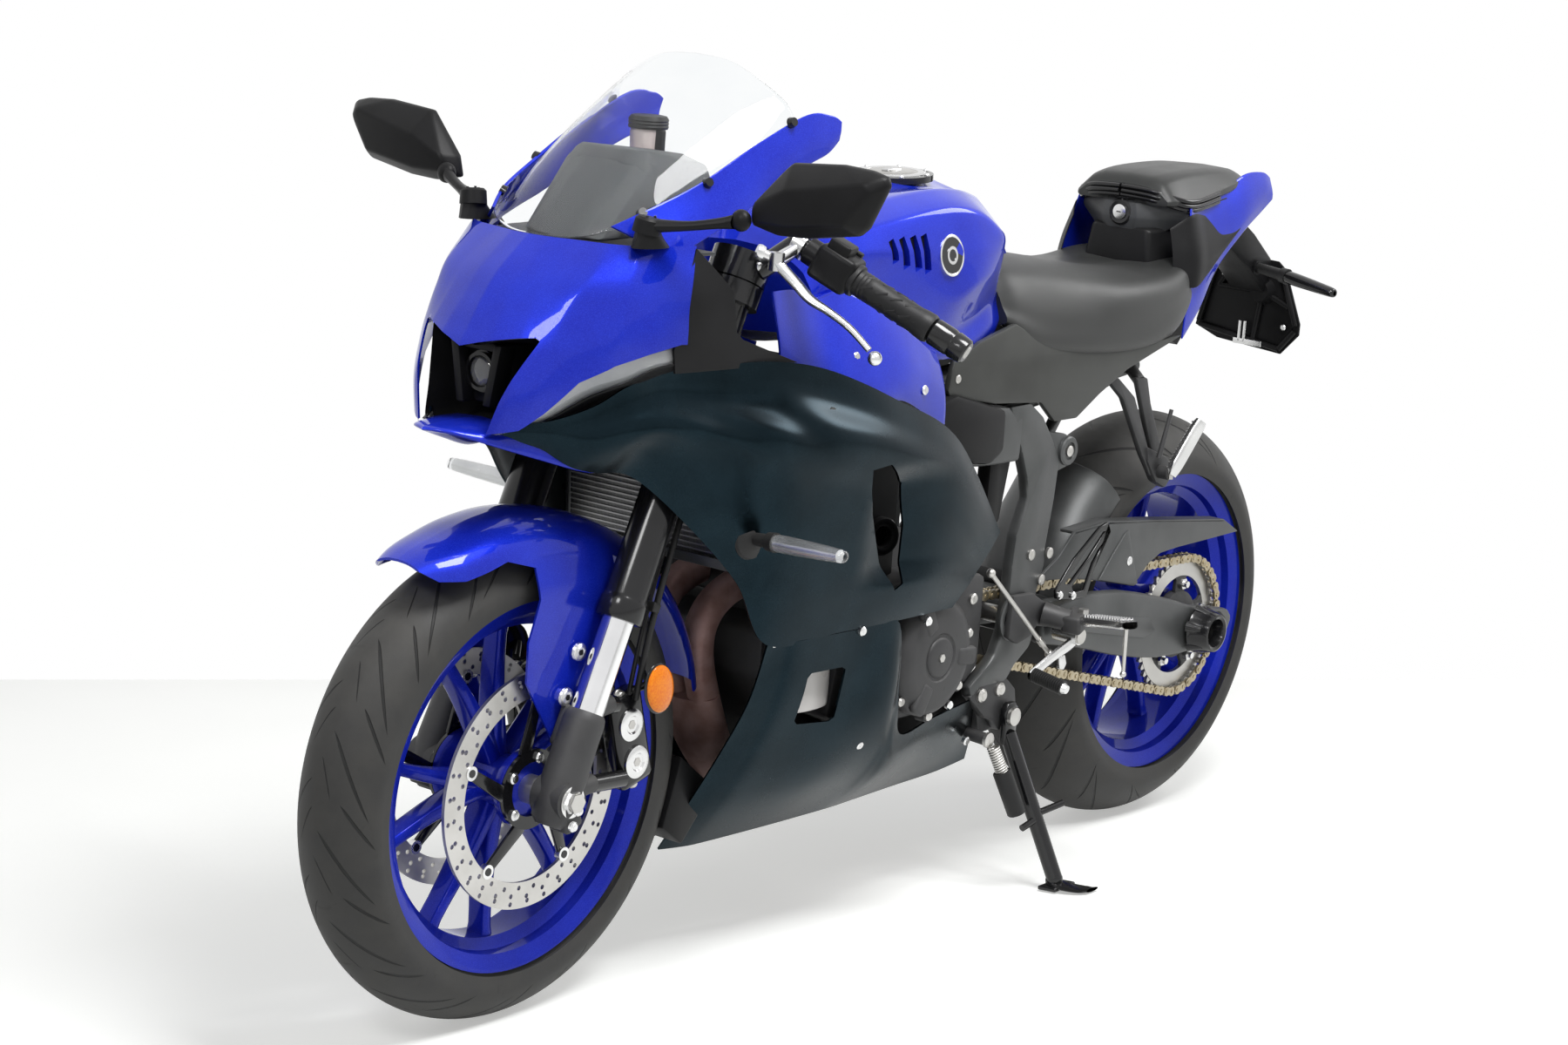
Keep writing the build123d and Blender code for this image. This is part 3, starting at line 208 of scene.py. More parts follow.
finishFor("bluePaint", (0.003, 0.012, 0.38), (0.005, 0.02, 0.46), 0.34, 0.05, bump=0.02, dust=0.02,
          sparkle=0.3, Metallic=0.3, Coat_Weight=1.0, Coat_Roughness=0.04, Coat_IOR=1.34,
          Specular_IOR_Level=0.0)
finishFor("wheelPaint", (0.003, 0.010, 0.30), (0.005, 0.017, 0.38), 0.38, 0.08, bump=0.03, dust=0.05,
          sparkle=0.25, Metallic=0.3, Coat_Weight=0.8, Coat_Roughness=0.06, Coat_IOR=1.27,
          Specular_IOR_Level=0.0)
finishFor("darkPanel", (0.006, 0.012, 0.016), (0.009, 0.018, 0.024), 0.27, 0.03, bump=0.02, dust=0.0,
          sparkle=0.12, Metallic=1.0, Specular_IOR_Level=0.2)
finishFor("matteBlack", (0.007, 0.007, 0.0075), (0.011, 0.011, 0.012), 0.4, 0.08, grain=1500, bump=0.3,
          dust=0.02, Specular_IOR_Level=0.13)
finishFor("glossBlack", (0.005, 0.005, 0.006), (0.008, 0.008, 0.009), 0.18, 0.06, bump=0.03, dust=0.03,
          Coat_Weight=0.3, Coat_Roughness=0.06, Coat_IOR=1.35, Specular_IOR_Level=0.35)
finishFor("panelGrey", (0.034, 0.035, 0.033), (0.048, 0.05, 0.047), 0.4, 0.08, grain=1300, bump=0.25,
          dust=0.06, Metallic=0.2, Specular_IOR_Level=0.4)
finishFor("castGrey", (0.066, 0.069, 0.07), (0.10, 0.103, 0.104), 0.42, 0.12, grain=1100, bump=0.3,
          dust=0.1, Metallic=0.5)
finishFor("castDark", (0.026, 0.026, 0.028), (0.05, 0.05, 0.052), 0.52, 0.15, bump=0.5, dust=0.2,
          Metallic=0.3)
finishFor("steel", (0.46, 0.45, 0.43), (0.58, 0.57, 0.55), 0.34, 0.1, bump=0.35, dust=0.05, lines=420,
          Metallic=1.0)
finishFor("brightMetal", (0.62, 0.62, 0.62), (0.74, 0.74, 0.74), 0.24, 0.08, dust=0.05, Metallic=1.0)
finishFor("chrome", (0.72, 0.72, 0.73), (0.8, 0.8, 0.81), 0.1, 0.04, bump=0.03, dust=0.03, Metallic=1.0)
finishFor("chainSteel", (0.33, 0.27, 0.17), (0.5, 0.44, 0.32), 0.36, 0.14, bump=0.2, mottle=120, dust=0.2,
          Metallic=0.9)
finishFor("rustPipe", (0.24, 0.125, 0.11), (0.42, 0.27, 0.25), 0.6, 0.2, grain=400, bump=0.5, mottle=34,
          dust=0.35, Metallic=0.3, dustTint=(0.42, 0.3, 0.26))
finishFor("seatVinyl", (0.013, 0.014, 0.0135), (0.02, 0.021, 0.0205), 0.42, 0.08, grain=1300, bump=0.45,
          dust=0.02, Specular_IOR_Level=0.4, Sheen_Weight=0.05)
finishFor("gripRubber", (0.008, 0.008, 0.009), (0.013, 0.013, 0.013), 0.5, 0.1, bump=0.4, dust=0.03,
          Specular_IOR_Level=0.3)
finishFor("dashGrey", (0.035, 0.037, 0.04), (0.05, 0.052, 0.055), 0.55, 0.08, grain=1600, bump=0.3,
          dust=0.1)
finishFor("amberLens", (0.80, 0.15, 0.0), (0.92, 0.28, 0.004), 0.2, 0.05, grain=260, bump=0.35, mottle=420,
          dust=0.0, Coat_Weight=0.6, Coat_Roughness=0.05, Coat_IOR=1.3, Specular_IOR_Level=0.2)
finishFor("milkyPlastic", (0.60, 0.575, 0.56), (0.7, 0.68, 0.665), 0.3, 0.1, bump=0.05, mottle=8, dust=0.05)
finishFor("redLens", (0.3, 0.006, 0.006), (0.4, 0.01, 0.01), 0.15, 0.05, grain=260, bump=0.3, dust=0.03,
          Coat_Weight=1.0)
finishFor("clearLens", (0.82, 0.84, 0.86), (0.95, 0.96, 0.97), 0.04, 0.04, grain=300, bump=0.12, dust=0.02,
          Transmission_Weight=0.9, IOR=1.3, Coat_Weight=0.6)
finishFor("screenPlastic", (0.93, 0.95, 0.96), (0.96, 0.975, 0.98), 0.02, 0.02, bump=0.0, dust=0.0,
          Transmission_Weight=1.0, IOR=1.04, Coat_Weight=0.5, Coat_Roughness=0.01, Coat_IOR=1.4)
finishFor("clearPot", (0.62, 0.5, 0.46), (0.7, 0.62, 0.6), 0.25, 0.1, bump=0.02, dust=0.03,
          Transmission_Weight=0.35)
finishFor("mirrorGlass", (0.7, 0.72, 0.74), (0.72, 0.74, 0.76), 0.04, 0.02, bump=0.0, dust=0.02,
          Metallic=1.0)
finishFor("finSilver", (0.3, 0.3, 0.31), (0.42, 0.42, 0.42), 0.4, 0.1, bump=0.2, dust=0.2, Metallic=0.8)
finishFor("tyreRubber", (0.024, 0.024, 0.024), (0.042, 0.041, 0.039), 0.62, 0.14, grain=700, bump=0.35,
          mottle=22, dust=0.2, Specular_IOR_Level=0.35)


def makeTread(name, lines):
    # tyre tread: slanted grooves laid on the tyre's own UV map, u round the tyre in mm, v across it; the
    # grooves are cut in by bump and painted near black as painted shade
    material = finish["tyreRubber"].copy()
    material.name = name
    tree = material.node_tree
    shader = tree.nodes["Principled BSDF"]
    split = node(tree, "SeparateXYZ", {0: node(tree, "UVMap", uv_map="tread").outputs[0]})
    along, across = split.outputs["X"], split.outputs["Y"]
    side = sums(tree, "GREATER_THAN", across, 0)
    reach = sums(tree, "ABSOLUTE", across)
    bent = sums(tree, "POWER", reach, lines["bend"])
    mask = None
    for start, stop, offset, width, slope in lines["grooves"]:
        pitch = sums(tree, "DIVIDE", along, lines["pitch"])
        pitch = sums(tree, "ADD", pitch, sums(tree, "MULTIPLY", bent, slope))
        pitch = sums(tree, "ADD", pitch, sums(tree, "MULTIPLY_ADD", side, 0.5, offset))
        far = sums(tree, "ABSOLUTE", sums(tree, "SUBTRACT", sums(tree, "FRACT", pitch), 0.5))
        middle, half = (start + stop) / 2, (stop - start) / 2
        taper = sums(tree, "SUBTRACT", 1,
                     sums(tree, "POWER", sums(tree, "DIVIDE", sums(tree, "ABSOLUTE",
                         sums(tree, "SUBTRACT", reach, middle)), half), 4), clamp=True)
        limit = sums(tree, "MULTIPLY", taper, width)
        inside = sums(tree, "DIVIDE", sums(tree, "SUBTRACT", limit, far), 0.012, clamp=True)
        mask = inside if mask is None else sums(tree, "MAXIMUM", mask, inside)
    # the grooves are painted near black: painted shade inside grooves that are only bumped and cast no
    # shade of their own
    base = shader.inputs["Base Color"].links[0].from_socket
    tree.links.new(blendColours(tree, mask, base, (0.006, 0.006, 0.006, 1)), shader.inputs["Base Color"])
    fine = next(n for n in tree.nodes if n.type == "BUMP")
    cut = node(tree, "Bump", {"Height": sums(tree, "SUBTRACT", 1, mask), "Strength": 1.0, "Distance": 0.004,
                              "Normal": fine.outputs[0]})
    tree.links.new(cut.outputs[0], shader.inputs["Normal"])
    return material


finish["frontTread"] = makeTread("frontTread", {"pitch": 118, "bend": 1.3, "grooves": [
    (0.1, 0.86, 0.0, 0.036, 1.15), (0.42, 0.97, 0.5, 0.03, 0.8), (0.02, 0.28, 0.32, 0.022, 2.2)]})
finish["rearTread"] = makeTread("rearTread", {"pitch": 150, "bend": 1.25, "grooves": [
    (0.06, 0.9, 0.0, 0.03, -1.2), (0.4, 0.96, 0.5, 0.026, -0.7)]})
print("finishes made")


# helpers that shape, finish and place a piece


def makePiece(name, form, body, *finishes, cad=(), sharp=36, bevel=0, wall=0, pair=False, outward=True,
              weld=0.02):
    # a bmesh in bike millimetres becomes a finished piece that rides on a body; pair adds its mirror image
    if pair:
        copy = bmesh.ops.duplicate(form, geom=form.verts[:] + form.edges[:] + form.faces[:])["geom"]
        bmesh.ops.transform(form, matrix=mirrorY,
                            verts=[part for part in copy if isinstance(part, bmesh.types.BMVert)])
        bmesh.ops.reverse_faces(form, faces=[part for part in copy if isinstance(part, bmesh.types.BMFace)])
    if weld:
        bmesh.ops.remove_doubles(form, verts=form.verts, dist=weld)
    if outward:
        bmesh.ops.recalc_face_normals(form, faces=form.faces)
    form.transform(toPart)
    mesh = bpy.data.meshes.new(name)
    form.to_mesh(mesh)
    form.free()
    mesh.shade_smooth()
    mesh.set_sharp_from_angle(angle=radians(sharp))
    for surface in finishes:
        mesh.materials.append(finish[surface])
    piece = bpy.data.objects.new(name, mesh)
    bpy.context.collection.objects.link(piece)
    if wall:
        shell = piece.modifiers.new("shell", "SOLIDIFY")
        shell.thickness, shell.offset, shell.use_even_offset = wall / 1000, -1, True
    if bevel:
        softener = piece.modifiers.new("softener", "BEVEL")
        softener.width, softener.segments, softener.limit_method = bevel / 1000, 2, "ANGLE"
        softener.angle_limit, softener.harden_normals = radians(32), False
    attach(piece, body)
    if cad:
        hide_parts(*cad)
    return piece


def facing(start, direction, side=(0, 1, 0)):
    # a matrix with local z along a direction
    ahead = Vector(direction).normalized()
    across = Vector(side).cross(ahead)
    if across.length < 0.001:
        across = Vector((1, 0, 0)).cross(ahead)
    across.normalize()
    other = ahead.cross(across)
    return Matrix.Translation(start) @ Matrix((across, other, ahead)).transposed().to_4x4()


def addRod(form, start, stop, radius, endRadius=None, sides=24, tag=0):
    start, stop = Vector(start), Vector(stop)
    made = bmesh.ops.create_cone(form, cap_ends=True, segments=sides, radius1=radius, radius2=radius
        if endRadius is None else endRadius,
                                 depth=(stop - start).length, matrix=facing((start + stop) / 2,
                                     stop - start))
    for face in {face for vert in made["verts"] for face in vert.link_faces}:
        face.material_index = tag
    return made["verts"]


def addBall(form, at, radius, scale=(1, 1, 1), tag=0):
    made = bmesh.ops.create_uvsphere(form, u_segments=32, v_segments=16, radius=radius,
                                     matrix=Matrix.Translation(at) @ Matrix.Diagonal((*scale, 1)))
    for face in {face for vert in made["verts"] for face in vert.link_faces}:
        face.material_index = tag
    return made["verts"]


def addBlock(form, at, size, turn=(0, 0, 0), round=3, tag=0):
    spin = (Matrix.Rotation(radians(turn[2]), 4, "Z") @ Matrix.Rotation(radians(turn[1]), 4,
        "Y") @ Matrix.Rotation(radians(turn[0]), 4, "X"))
    made = bmesh.ops.create_cube(form, size=1,
        matrix=Matrix.Translation(at) @ spin @ Matrix.Diagonal((*size, 1)))
    faces = {face for vert in made["verts"] for face in vert.link_faces}
    for face in faces:
        face.material_index = tag
    if round:
        edges = list({edge for vert in made["verts"] for edge in vert.link_edges})
        bmesh.ops.bevel(form, geom=edges, offset=round, affect="EDGES", segments=3, profile=0.5,
                        material=-1)


def inSideView(x, z, y):
    return (x, y, z)


def inFrontView(y, z, x):
    return (x, y, z)


def inTopView(x, y, z):
    return (x, y, z)


def addPlate(form, outline, low, high, round=0, tag=0, place=inSideView):
    # a flat piece with an outline drawn in one view, between two distances along that view
    verts = [form.verts.new(place(across, up, low)) for across, up in outline]
    face = form.faces.new(verts)
    grown = bmesh.ops.extrude_face_region(form, geom=[face])["geom"]
    top = [part for part in grown if isinstance(part, bmesh.types.BMVert)]
    grow = Vector(place(0, 0, high)) - Vector(place(0, 0, low))
    bmesh.ops.translate(form, verts=top, vec=grow)
    for side in {side for vert in verts + top for side in vert.link_faces}:
        side.material_index = tag
    if round:
        edges = list({edge for vert in verts + top for edge in vert.link_edges})
        bmesh.ops.bevel(form, geom=edges, offset=round, affect="EDGES", segments=2, profile=0.5,
                        material=-1, clamp_overlap=True)
    return verts + top


def addPipe(form, points, radius, sides=8):
    # a round tube along a smooth line
    data = bpy.data.curves.new("pipe", "CURVE")
    data.dimensions, data.use_fill_caps = "3D", True
    data.bevel_depth, data.bevel_resolution = radius, sides // 2
    line = data.splines.new("NURBS")
    line.points.add(len(points) - 1)
    for spot, at in zip(line.points, points):
        spot.co = (*at, 1)
    line.order_u, line.use_endpoint_u, line.resolution_u = 3, True, 8
    holder = bpy.data.objects.new("pipe", data)
    mesh = bpy.data.meshes.new_from_object(holder)
    form.from_mesh(mesh)
    bpy.data.objects.remove(holder)
    bpy.data.curves.remove(data)
    bpy.data.meshes.remove(mesh)


def addSpin(form, profile, centre, steps=64, axis=(0, 1, 0), tag=0, closed=True):
    # a profile of (distance along the axis, radius) turned about the axis
    centre, axis = Vector(centre), Vector(axis).normalized()
    out = Vector((0, 0, 1)) if abs(axis.z) < 0.9 else Vector((1, 0, 0))
    out = (out - axis * out.dot(axis)).normalized()
    verts = [form.verts.new(centre + axis * y + out * r) for y, r in profile]
    edges = [form.edges.new(pair) for pair in zip(verts, verts[1:])]
    if closed:
        edges.append(form.edges.new((verts[-1], verts[0])))
    before = set(form.faces)
    bmesh.ops.spin(form, geom=verts + edges, cent=centre, axis=axis, angle=2 * pi, steps=steps,
                   use_merge=True)
    for face in set(form.faces) - before:
        face.material_index = tag


def through(points, share, crisp=0):
    # the point at a share of a line through the given points: smooth at crisp 0, straight at crisp 1
    last = len(points) - 1
    at = min(max(share, 0), 1) * last
    i = min(int(at), last - 1)
    t = at - i
    a, b, c, d = (Vector(points[max(0, min(last, k))]) for k in (i - 1, i, i + 1, i + 2))
    leave, arrive = (c - a) * (1 - crisp) / 2, (d - b) * (1 - crisp) / 2
    ease = t * t * (3 - 2 * t) if crisp < 0.5 else t
    if crisp >= 0.5:
        leave, arrive = leave - (c - b) * (1 - crisp), arrive - (c - b) * (1 - crisp)
    return b.lerp(c, ease) + leave * (t ** 3 - 2 * t * t + t) + arrive * (t ** 3 - t * t)


def addSheet(form, lines, along=24, across=16, tag=0, closed=False, crisp=0):
    # a sheet through lines of points, all with the same number of points; crisp folds it at those points
    if closed:
        lines = [list(line) + [line[0]] for line in lines]
    made = bmesh.ops.create_grid(form, x_segments=across, y_segments=along, size=1)["verts"]
    made.sort(key=lambda vert: (round(vert.co.y, 5), round(vert.co.x, 5)))
    columns = [[through(line, j / across, crisp) for line in lines] for j in range(across + 1)]
    for i in range(along + 1):
        for j in range(across + 1):
            made[i * (across + 1) + j].co = through(columns[j], i / along)
    for face in {face for vert in made for face in vert.link_faces}:
        face.material_index = tag
    return made


def addForm(form, other):
    # moves what another bmesh holds into this one
    held = bpy.data.meshes.new("held")
    other.to_mesh(held)
    other.free()
    form.from_mesh(held)
    bpy.data.meshes.remove(held)


def addHull(form, points, round=3, tag=0):
    # a faceted body round the given points, with its folds rounded
    body = bmesh.new()
    for point in points:
        body.verts.new(point)
    bmesh.ops.convex_hull(body, input=body.verts)
    bmesh.ops.dissolve_limit(body, angle_limit=radians(4), verts=body.verts, edges=body.edges)
    if round:
        folds = [edge for edge in body.edges if edge.calc_face_angle(0) > radians(9)]
        bmesh.ops.bevel(body, geom=folds, offset=round, affect="EDGES", segments=3, profile=0.5,
                        material=-1, clamp_overlap=True)
    for face in body.faces:
        face.material_index = tag
    addForm(form, body)


def bothSides(points):
    return list(points) + [(x, -y, z) for x, y, z in points]


def closeEnds(form):
    bmesh.ops.remove_doubles(form, verts=form.verts, dist=0.02)
    bmesh.ops.holes_fill(form, edges=[edge for edge in form.edges if edge.is_boundary], sides=0)


def carve(piece, cutter, operation="DIFFERENCE", sharp=36):
    # cuts a piece with another bmesh in bike millimetres, with its own modifiers applied first
    cutter.transform(toPart)
    bmesh.ops.recalc_face_normals(cutter, faces=cutter.faces)
    mesh = bpy.data.meshes.new("cutter")
    cutter.to_mesh(mesh)
    cutter.free()
    tool = bpy.data.objects.new("cutter", mesh)
    bpy.context.collection.objects.link(tool)
    cut = piece.modifiers.new("cut", "BOOLEAN")
    cut.operation, cut.solver, cut.object = operation, "EXACT", tool
    ready = bpy.data.meshes.new_from_object(piece.evaluated_get(bpy.context.evaluated_depsgraph_get()))
    piece.modifiers.clear()
    piece.data = ready
    bpy.data.objects.remove(tool)
    bpy.data.meshes.remove(mesh)
    ready.shade_smooth()
    ready.set_sharp_from_angle(angle=radians(sharp))
    return piece


def soften(piece, width):
    rim = piece.modifiers.new("softener", "BEVEL")
    rim.width, rim.segments, rim.limit_method, rim.angle_limit = width / 1000, 2, "ANGLE", radians(40)


def addBolt(form, at, direction, radius=6, height=4, tag=0):
    # a round-headed screw with a hexagon socket
    at, direction = Vector(at), Vector(direction).normalized()
    addRod(form, at - direction * 2, at + direction * height * 0.6, radius, sides=20, tag=tag)
    addRod(form, at + direction * height * 0.6, at + direction * height, radius, radius * 0.72,
           sides=20, tag=tag)
    addRod(form, at + direction * height * 0.8, at + direction * (height + 0.3), radius * 0.42,
           sides=6, tag=tag)


def turnsOf(count):
    # that many equal steps of a full turn, in radians
    return [radians(360 / count * i) for i in range(count)]


def squarish(value, power):
    # a sine or cosine pushed outwards, for a ring with flatter sides
    return (1 if value > 0 else -1) * abs(value) ** power


def wheelPoint(centre, radius, angle, y):
    return (centre[0] + radius * cos(radians(angle)), y, centre[2] + radius * sin(radians(angle)))


# wheels
front = {"centre": bike["frontAxle"], "radius": 300, "half": 60, "crown": 62, "bead": 46, "rimHalf": 51,
         "body": "front_wheel",
         "spin": 0, "hub": 38, "hubHalf": 57, "disc": {"y": 60.5, "radius": 149, "carrier": 46,
             "pair": True}}
rear = {"centre": bike["rearAxle"], "radius": 315, "half": 90, "crown": 95, "bead": 72, "rimHalf": 77,
        "body": "rear_wheel",
        "spin": 14, "hub": 50, "hubHalf": 74, "disc": {"y": -78, "radius": 122.5, "carrier": 40,
            "pair": False}}
# slant of the arms in degrees
discSize = {"band": 33, "half": 2.4, "rows": 30, "holesInRow": 3, "arms": 5, "slant": 20}
rimSize = {"flange": 231, "bead": 216, "spokeWidth": 13, "spokeDepth": 19, "spokes": 10}


def makeTyre(wheel, name, cad, tread):
    arc = []
    flat = wheel["radius"] - wheel["crown"]
    reach = wheel["half"]
    top = atan2(reach, sqrt(wheel["crown"] ** 2 - reach ** 2))
    for i in range(-14, 15):
        turn = top * i / 14
        arc.append((wheel["crown"] * sin(turn), flat + wheel["crown"] * cos(turn)))
    low = arc[-1][1]
    side = [(reach * 0.995, low - 8), (reach * 0.965, low - 20), (wheel["bead"] + 3, rimSize["flange"] + 7),
            (wheel["bead"] + 1, rimSize["flange"] - 1),
            (wheel["bead"] - 1, rimSize["bead"] + 1)]
    side = [spot for spot in side if spot[1] < low - 4 or spot[0] > reach * 0.99]
    profile = [(-y, r) for y, r in reversed(side)] + arc + side
    form = bmesh.new()
    addSpin(form, profile, wheel["centre"], steps=144)
    bmesh.ops.remove_doubles(form, verts=form.verts, dist=0.02)
    layer = form.loops.layers.uv.new("tread")
    for face in form.faces:
        middle = face.calc_center_median()
        home = atan2(middle.z - wheel["centre"][2], middle.x - wheel["centre"][0])
        for loop in face.loops:
            spot = loop.vert.co
            turn = atan2(spot.z - wheel["centre"][2], spot.x - wheel["centre"][0])
            turn += 2 * pi * round((home - turn) / (2 * pi))
            out = sqrt((spot.x - wheel["centre"][0]) ** 2 + (spot.z - wheel["centre"][2]) ** 2)
            bend = atan2(spot.y, out - flat) / top if out > low - 1 else (1.05 + (low - out) / 60) * (1
                if spot.y > 0 else -1)
            loop[layer].uv = (turn * wheel["radius"], bend)
    return makePiece(name, form, wheel["body"], tread, cad=[cad], weld=0)


def makeRim(wheel, name, cad):
    edge, flange, bead = wheel["rimHalf"], rimSize["flange"], rimSize["bead"]
    ring = [(edge, flange), (edge - 4, flange + 0.5), (edge - 6, flange - 4), (edge - 6, bead),
            (edge - 22, bead - 1), (edge - 30, bead - 15)]
    under = [(edge - 30, bead - 21), (edge - 20, bead - 8), (edge - 8, bead - 6), (edge - 2, flange - 8)]
    profile = ring + [(-y, r) for y, r in reversed(ring)] + [(-y, r) for y, r in reversed(under)] + under
    form = bmesh.new()
    addSpin(form, profile, wheel["centre"], steps=120)
    hub, reach = wheel["hub"], wheel["hubHalf"]
    barrel = [(reach, 16), (reach, 50), (reach - 9, 50), (reach - 22, hub + 2), (20, hub - 4),
              (-20, hub - 4), (22 - reach, hub + 2),
              (9 - reach, 50), (-reach, 50), (-reach, 16)]
    addSpin(form, barrel, wheel["centre"])
    place = Matrix.Translation(wheel["centre"])
    for i in range(rimSize["spokes"]):   # cast spokes in pairs, wider and deeper at the hub
        pair, side = divmod(i, 2)
        turn = wheel["spin"] + 72 * pair
        inner, outer = (turn - 8, turn - 15) if side else (turn + 8, turn + 15)
        lines = []
        for share in (0, 0.12, 0.5, 0.9, 1):
            radius = (hub - 10) + (bead - 14 - hub + 10) * share
            angle = radians(inner + (outer - inner) * share)
            middle = Vector((radius * cos(angle), 0, radius * sin(angle)))
            way = Vector((-sin(angle), 0, cos(angle)))
            width = rimSize["spokeWidth"] - 5.2 * min(share * 1.6, 1) + (4 if share > 0.95 else 0)
            depth = rimSize["spokeDepth"] - 4 * share + (6 if share > 0.95 else 0)
            lines.append([middle + way * a * width + Vector((0, b * depth, 0)) for a, b in
                          ((-1, -0.55), (-0.8, -0.85), (0, -1), (0.8, -0.85), (1, -0.55), (1, 0.55),
                           (0.8, 0.85), (0, 1), (-0.8, 0.85), (-1, 0.55))])
        made = addSheet(form, lines, along=12, across=20, closed=True)
        bmesh.ops.transform(form, matrix=place, verts=made)
    for i in range(5):   # web between the two spokes of a pair, at the hub
        angle = wheel["spin"] + 72 * i
        spot = wheelPoint(wheel["centre"], hub + 8, angle, 0)
        addBlock(form, spot, (26, 30, 20), turn=(0, -angle, 0), round=6)
    return makePiece(name, form, wheel["body"], "wheelPaint", cad=[cad], sharp=40)


def makeDisc(wheel, name, cad):
    centre, disc, band, half = wheel["centre"], wheel["disc"], discSize["band"], discSize["half"]
    yAt, radius, carrier = disc["y"], disc["radius"], disc["carrier"]
    form = bmesh.new()
    addSpin(form, [(yAt - half, radius - band), (yAt - half, radius), (yAt + half, radius),
                   (yAt + half, radius - band)], centre, steps=120)
    piece = makePiece(name, form, wheel["body"], "steel", "glossBlack", "brightMetal", cad=[cad], sharp=30)
    holes = bmesh.new()
    for i in range(discSize["rows"]):
        for k in range(discSize["holesInRow"]):
            angle = 360 / discSize["rows"] * (i + (0.2 * k)) + (3 if k == 1 else 0)
            reach = radius - band + 7 + (band - 13) * k / 2 + (0 if i % 2 else (2 if k < 2 else -2))
            spot = wheelPoint(centre, reach, angle, yAt)
            addRod(holes, (spot[0], yAt - 6, spot[2]), (spot[0], yAt + 6, spot[2]), 3.1, sides=10)
    carve(piece, holes)
    extra = bmesh.new()
    for i in range(discSize["arms"]):   # black arms with bright bobbins
        turn = 360 / discSize["arms"] * i
        low, high = wheelPoint(centre, carrier, turn, yAt), wheelPoint(centre, radius - band - 1,
            turn + discSize["slant"], yAt)
        way = (Vector(high) - Vector(low)).normalized()
        across = Vector((-way.z, 0, way.x)) * 6.5
        corners = [Vector(low) - across * 1.5, Vector(high) - across, Vector(high) + across,
                   Vector(low) + across * 1.5]
        addPlate(extra, [(c.x, c.z) for c in corners], yAt - 2.2, yAt + 2.2, round=0.8, tag=1)
        spot = wheelPoint(centre, radius - band - 2, turn + discSize["slant"], yAt)
        addRod(extra, (spot[0], yAt - 4, spot[2]), (spot[0], yAt + 4, spot[2]), 9, tag=2)
        addRod(extra, (spot[0], yAt - 4.6, spot[2]), (spot[0], yAt + 4.6, spot[2]), 5, sides=20, tag=1)
    addSpin(extra, [(yAt - 2.3, 34), (yAt - 2.3, carrier + 4), (yAt + 2.3, carrier + 4), (yAt + 2.3, 34)],
            centre, tag=1)
    for i in range(5):   # screws that hold the carrier to the hub
        spot = wheelPoint(centre, carrier - 6, 72 * i + 30, yAt)
        addBolt(extra, (spot[0], yAt + 2.2, spot[2]), (0, 1, 0), radius=7, height=5, tag=2)
        addBolt(extra, (spot[0], yAt - 2.2, spot[2]), (0, -1, 0), radius=7, height=5, tag=2)
    extra.transform(toPart)
    extra.from_mesh(piece.data)
    bmesh.ops.recalc_face_normals(extra, faces=extra.faces)
    if disc["pair"]:
        back = extra.copy()
        back.transform(toPart @ mirrorY @ toPart.inverted())
        bmesh.ops.reverse_faces(back, faces=back.faces)
        addForm(extra, back)
    extra.to_mesh(piece.data)
    extra.free()
    piece.data.shade_smooth()
    piece.data.set_sharp_from_angle(angle=radians(30))
    return piece


makeTyre(front, "frontTyre", "front_tyre", "frontTread")
makeTyre(rear, "rearTyre", "rear_tyre", "rearTread")
makeRim(front, "frontRim", "front_rim")
makeRim(rear, "rearRim", "rear_rim")
makeDisc(front, "frontDiscs", "front_discs")
makeDisc(rear, "rearDisc", "rear_disc")
print("wheels made")

# body panels: side fairings, lower fairing, nose and the parts set into them


def stationLines(stations):
    # each station is a line in the side view, from its top to its bottom, with distances from the middle
    return [[(topX + (lowX - topX) * i / (len(reach) - 1), y, topZ + (lowZ - topZ) * i / (len(reach) - 1))
             for i, y in enumerate(reach)]
            for topX, topZ, lowX, lowZ, reach in stations]


def prism(outline, yFrom, yTo):
    # the same plate on both sides of the bike, as a cutter
    form = bmesh.new()
    addPlate(form, outline, yFrom, yTo)
    addPlate(form, outline, -yTo, -yFrom)
    return form


sideFairing = {"stations": [   # the fourth to sixth distances make the ridge
    (1480, 757, 1476, 729, [58, 58.5, 59, 59.5, 60, 59.5, 59, 59, 59, 58.5, 58]),
    (1437, 758, 1431, 722, [88, 88.5, 89, 89.5, 90, 89, 87.5, 86, 84, 81, 78]),
    (1394, 777, 1398, 702, [122, 121, 121, 123, 126, 127, 124, 119, 113, 106, 98]),
    (1357, 802, 1366, 694, [143, 142, 142, 144, 148, 150, 146, 139, 130, 120, 109]),
    (1303, 816, 1316, 686, [152, 151, 151, 157, 167, 171, 162, 151, 142, 132, 122]),
    (1237, 820, 1250, 630, [165, 165, 166, 178, 190, 183, 173, 166, 162, 157, 150]),
    (1138, 821, 1160, 545, [182, 184, 191, 213, 212, 201, 194, 188, 182, 175, 167]),
    (1036, 804, 1097, 458, [192, 196, 221, 223, 211, 205, 201, 195, 189, 181, 172]),
    (900, 757, 960, 458, [196, 210, 226, 221, 214, 210, 207, 204, 199, 192, 185]),
    (755, 692, 830, 458, [196, 207, 213, 214, 212, 211, 209, 207, 204, 198, 190]),
    (626, 550, 723, 458, [189, 190, 191, 191, 191, 191, 191, 191, 190, 189, 188])],
    "vent": [(970, 676), (934, 680), (884, 648), (866, 590), (862, 512), (876, 504), (908, 548),
             (946, 615)],
    "scoop": {"from": 890, "to": 706, "low": 512, "high": 676, "depth": 15}}
form = bmesh.new()
sheet = addSheet(form, stationLines(sideFairing["stations"]), along=96, across=64)
scoop = sideFairing["scoop"]
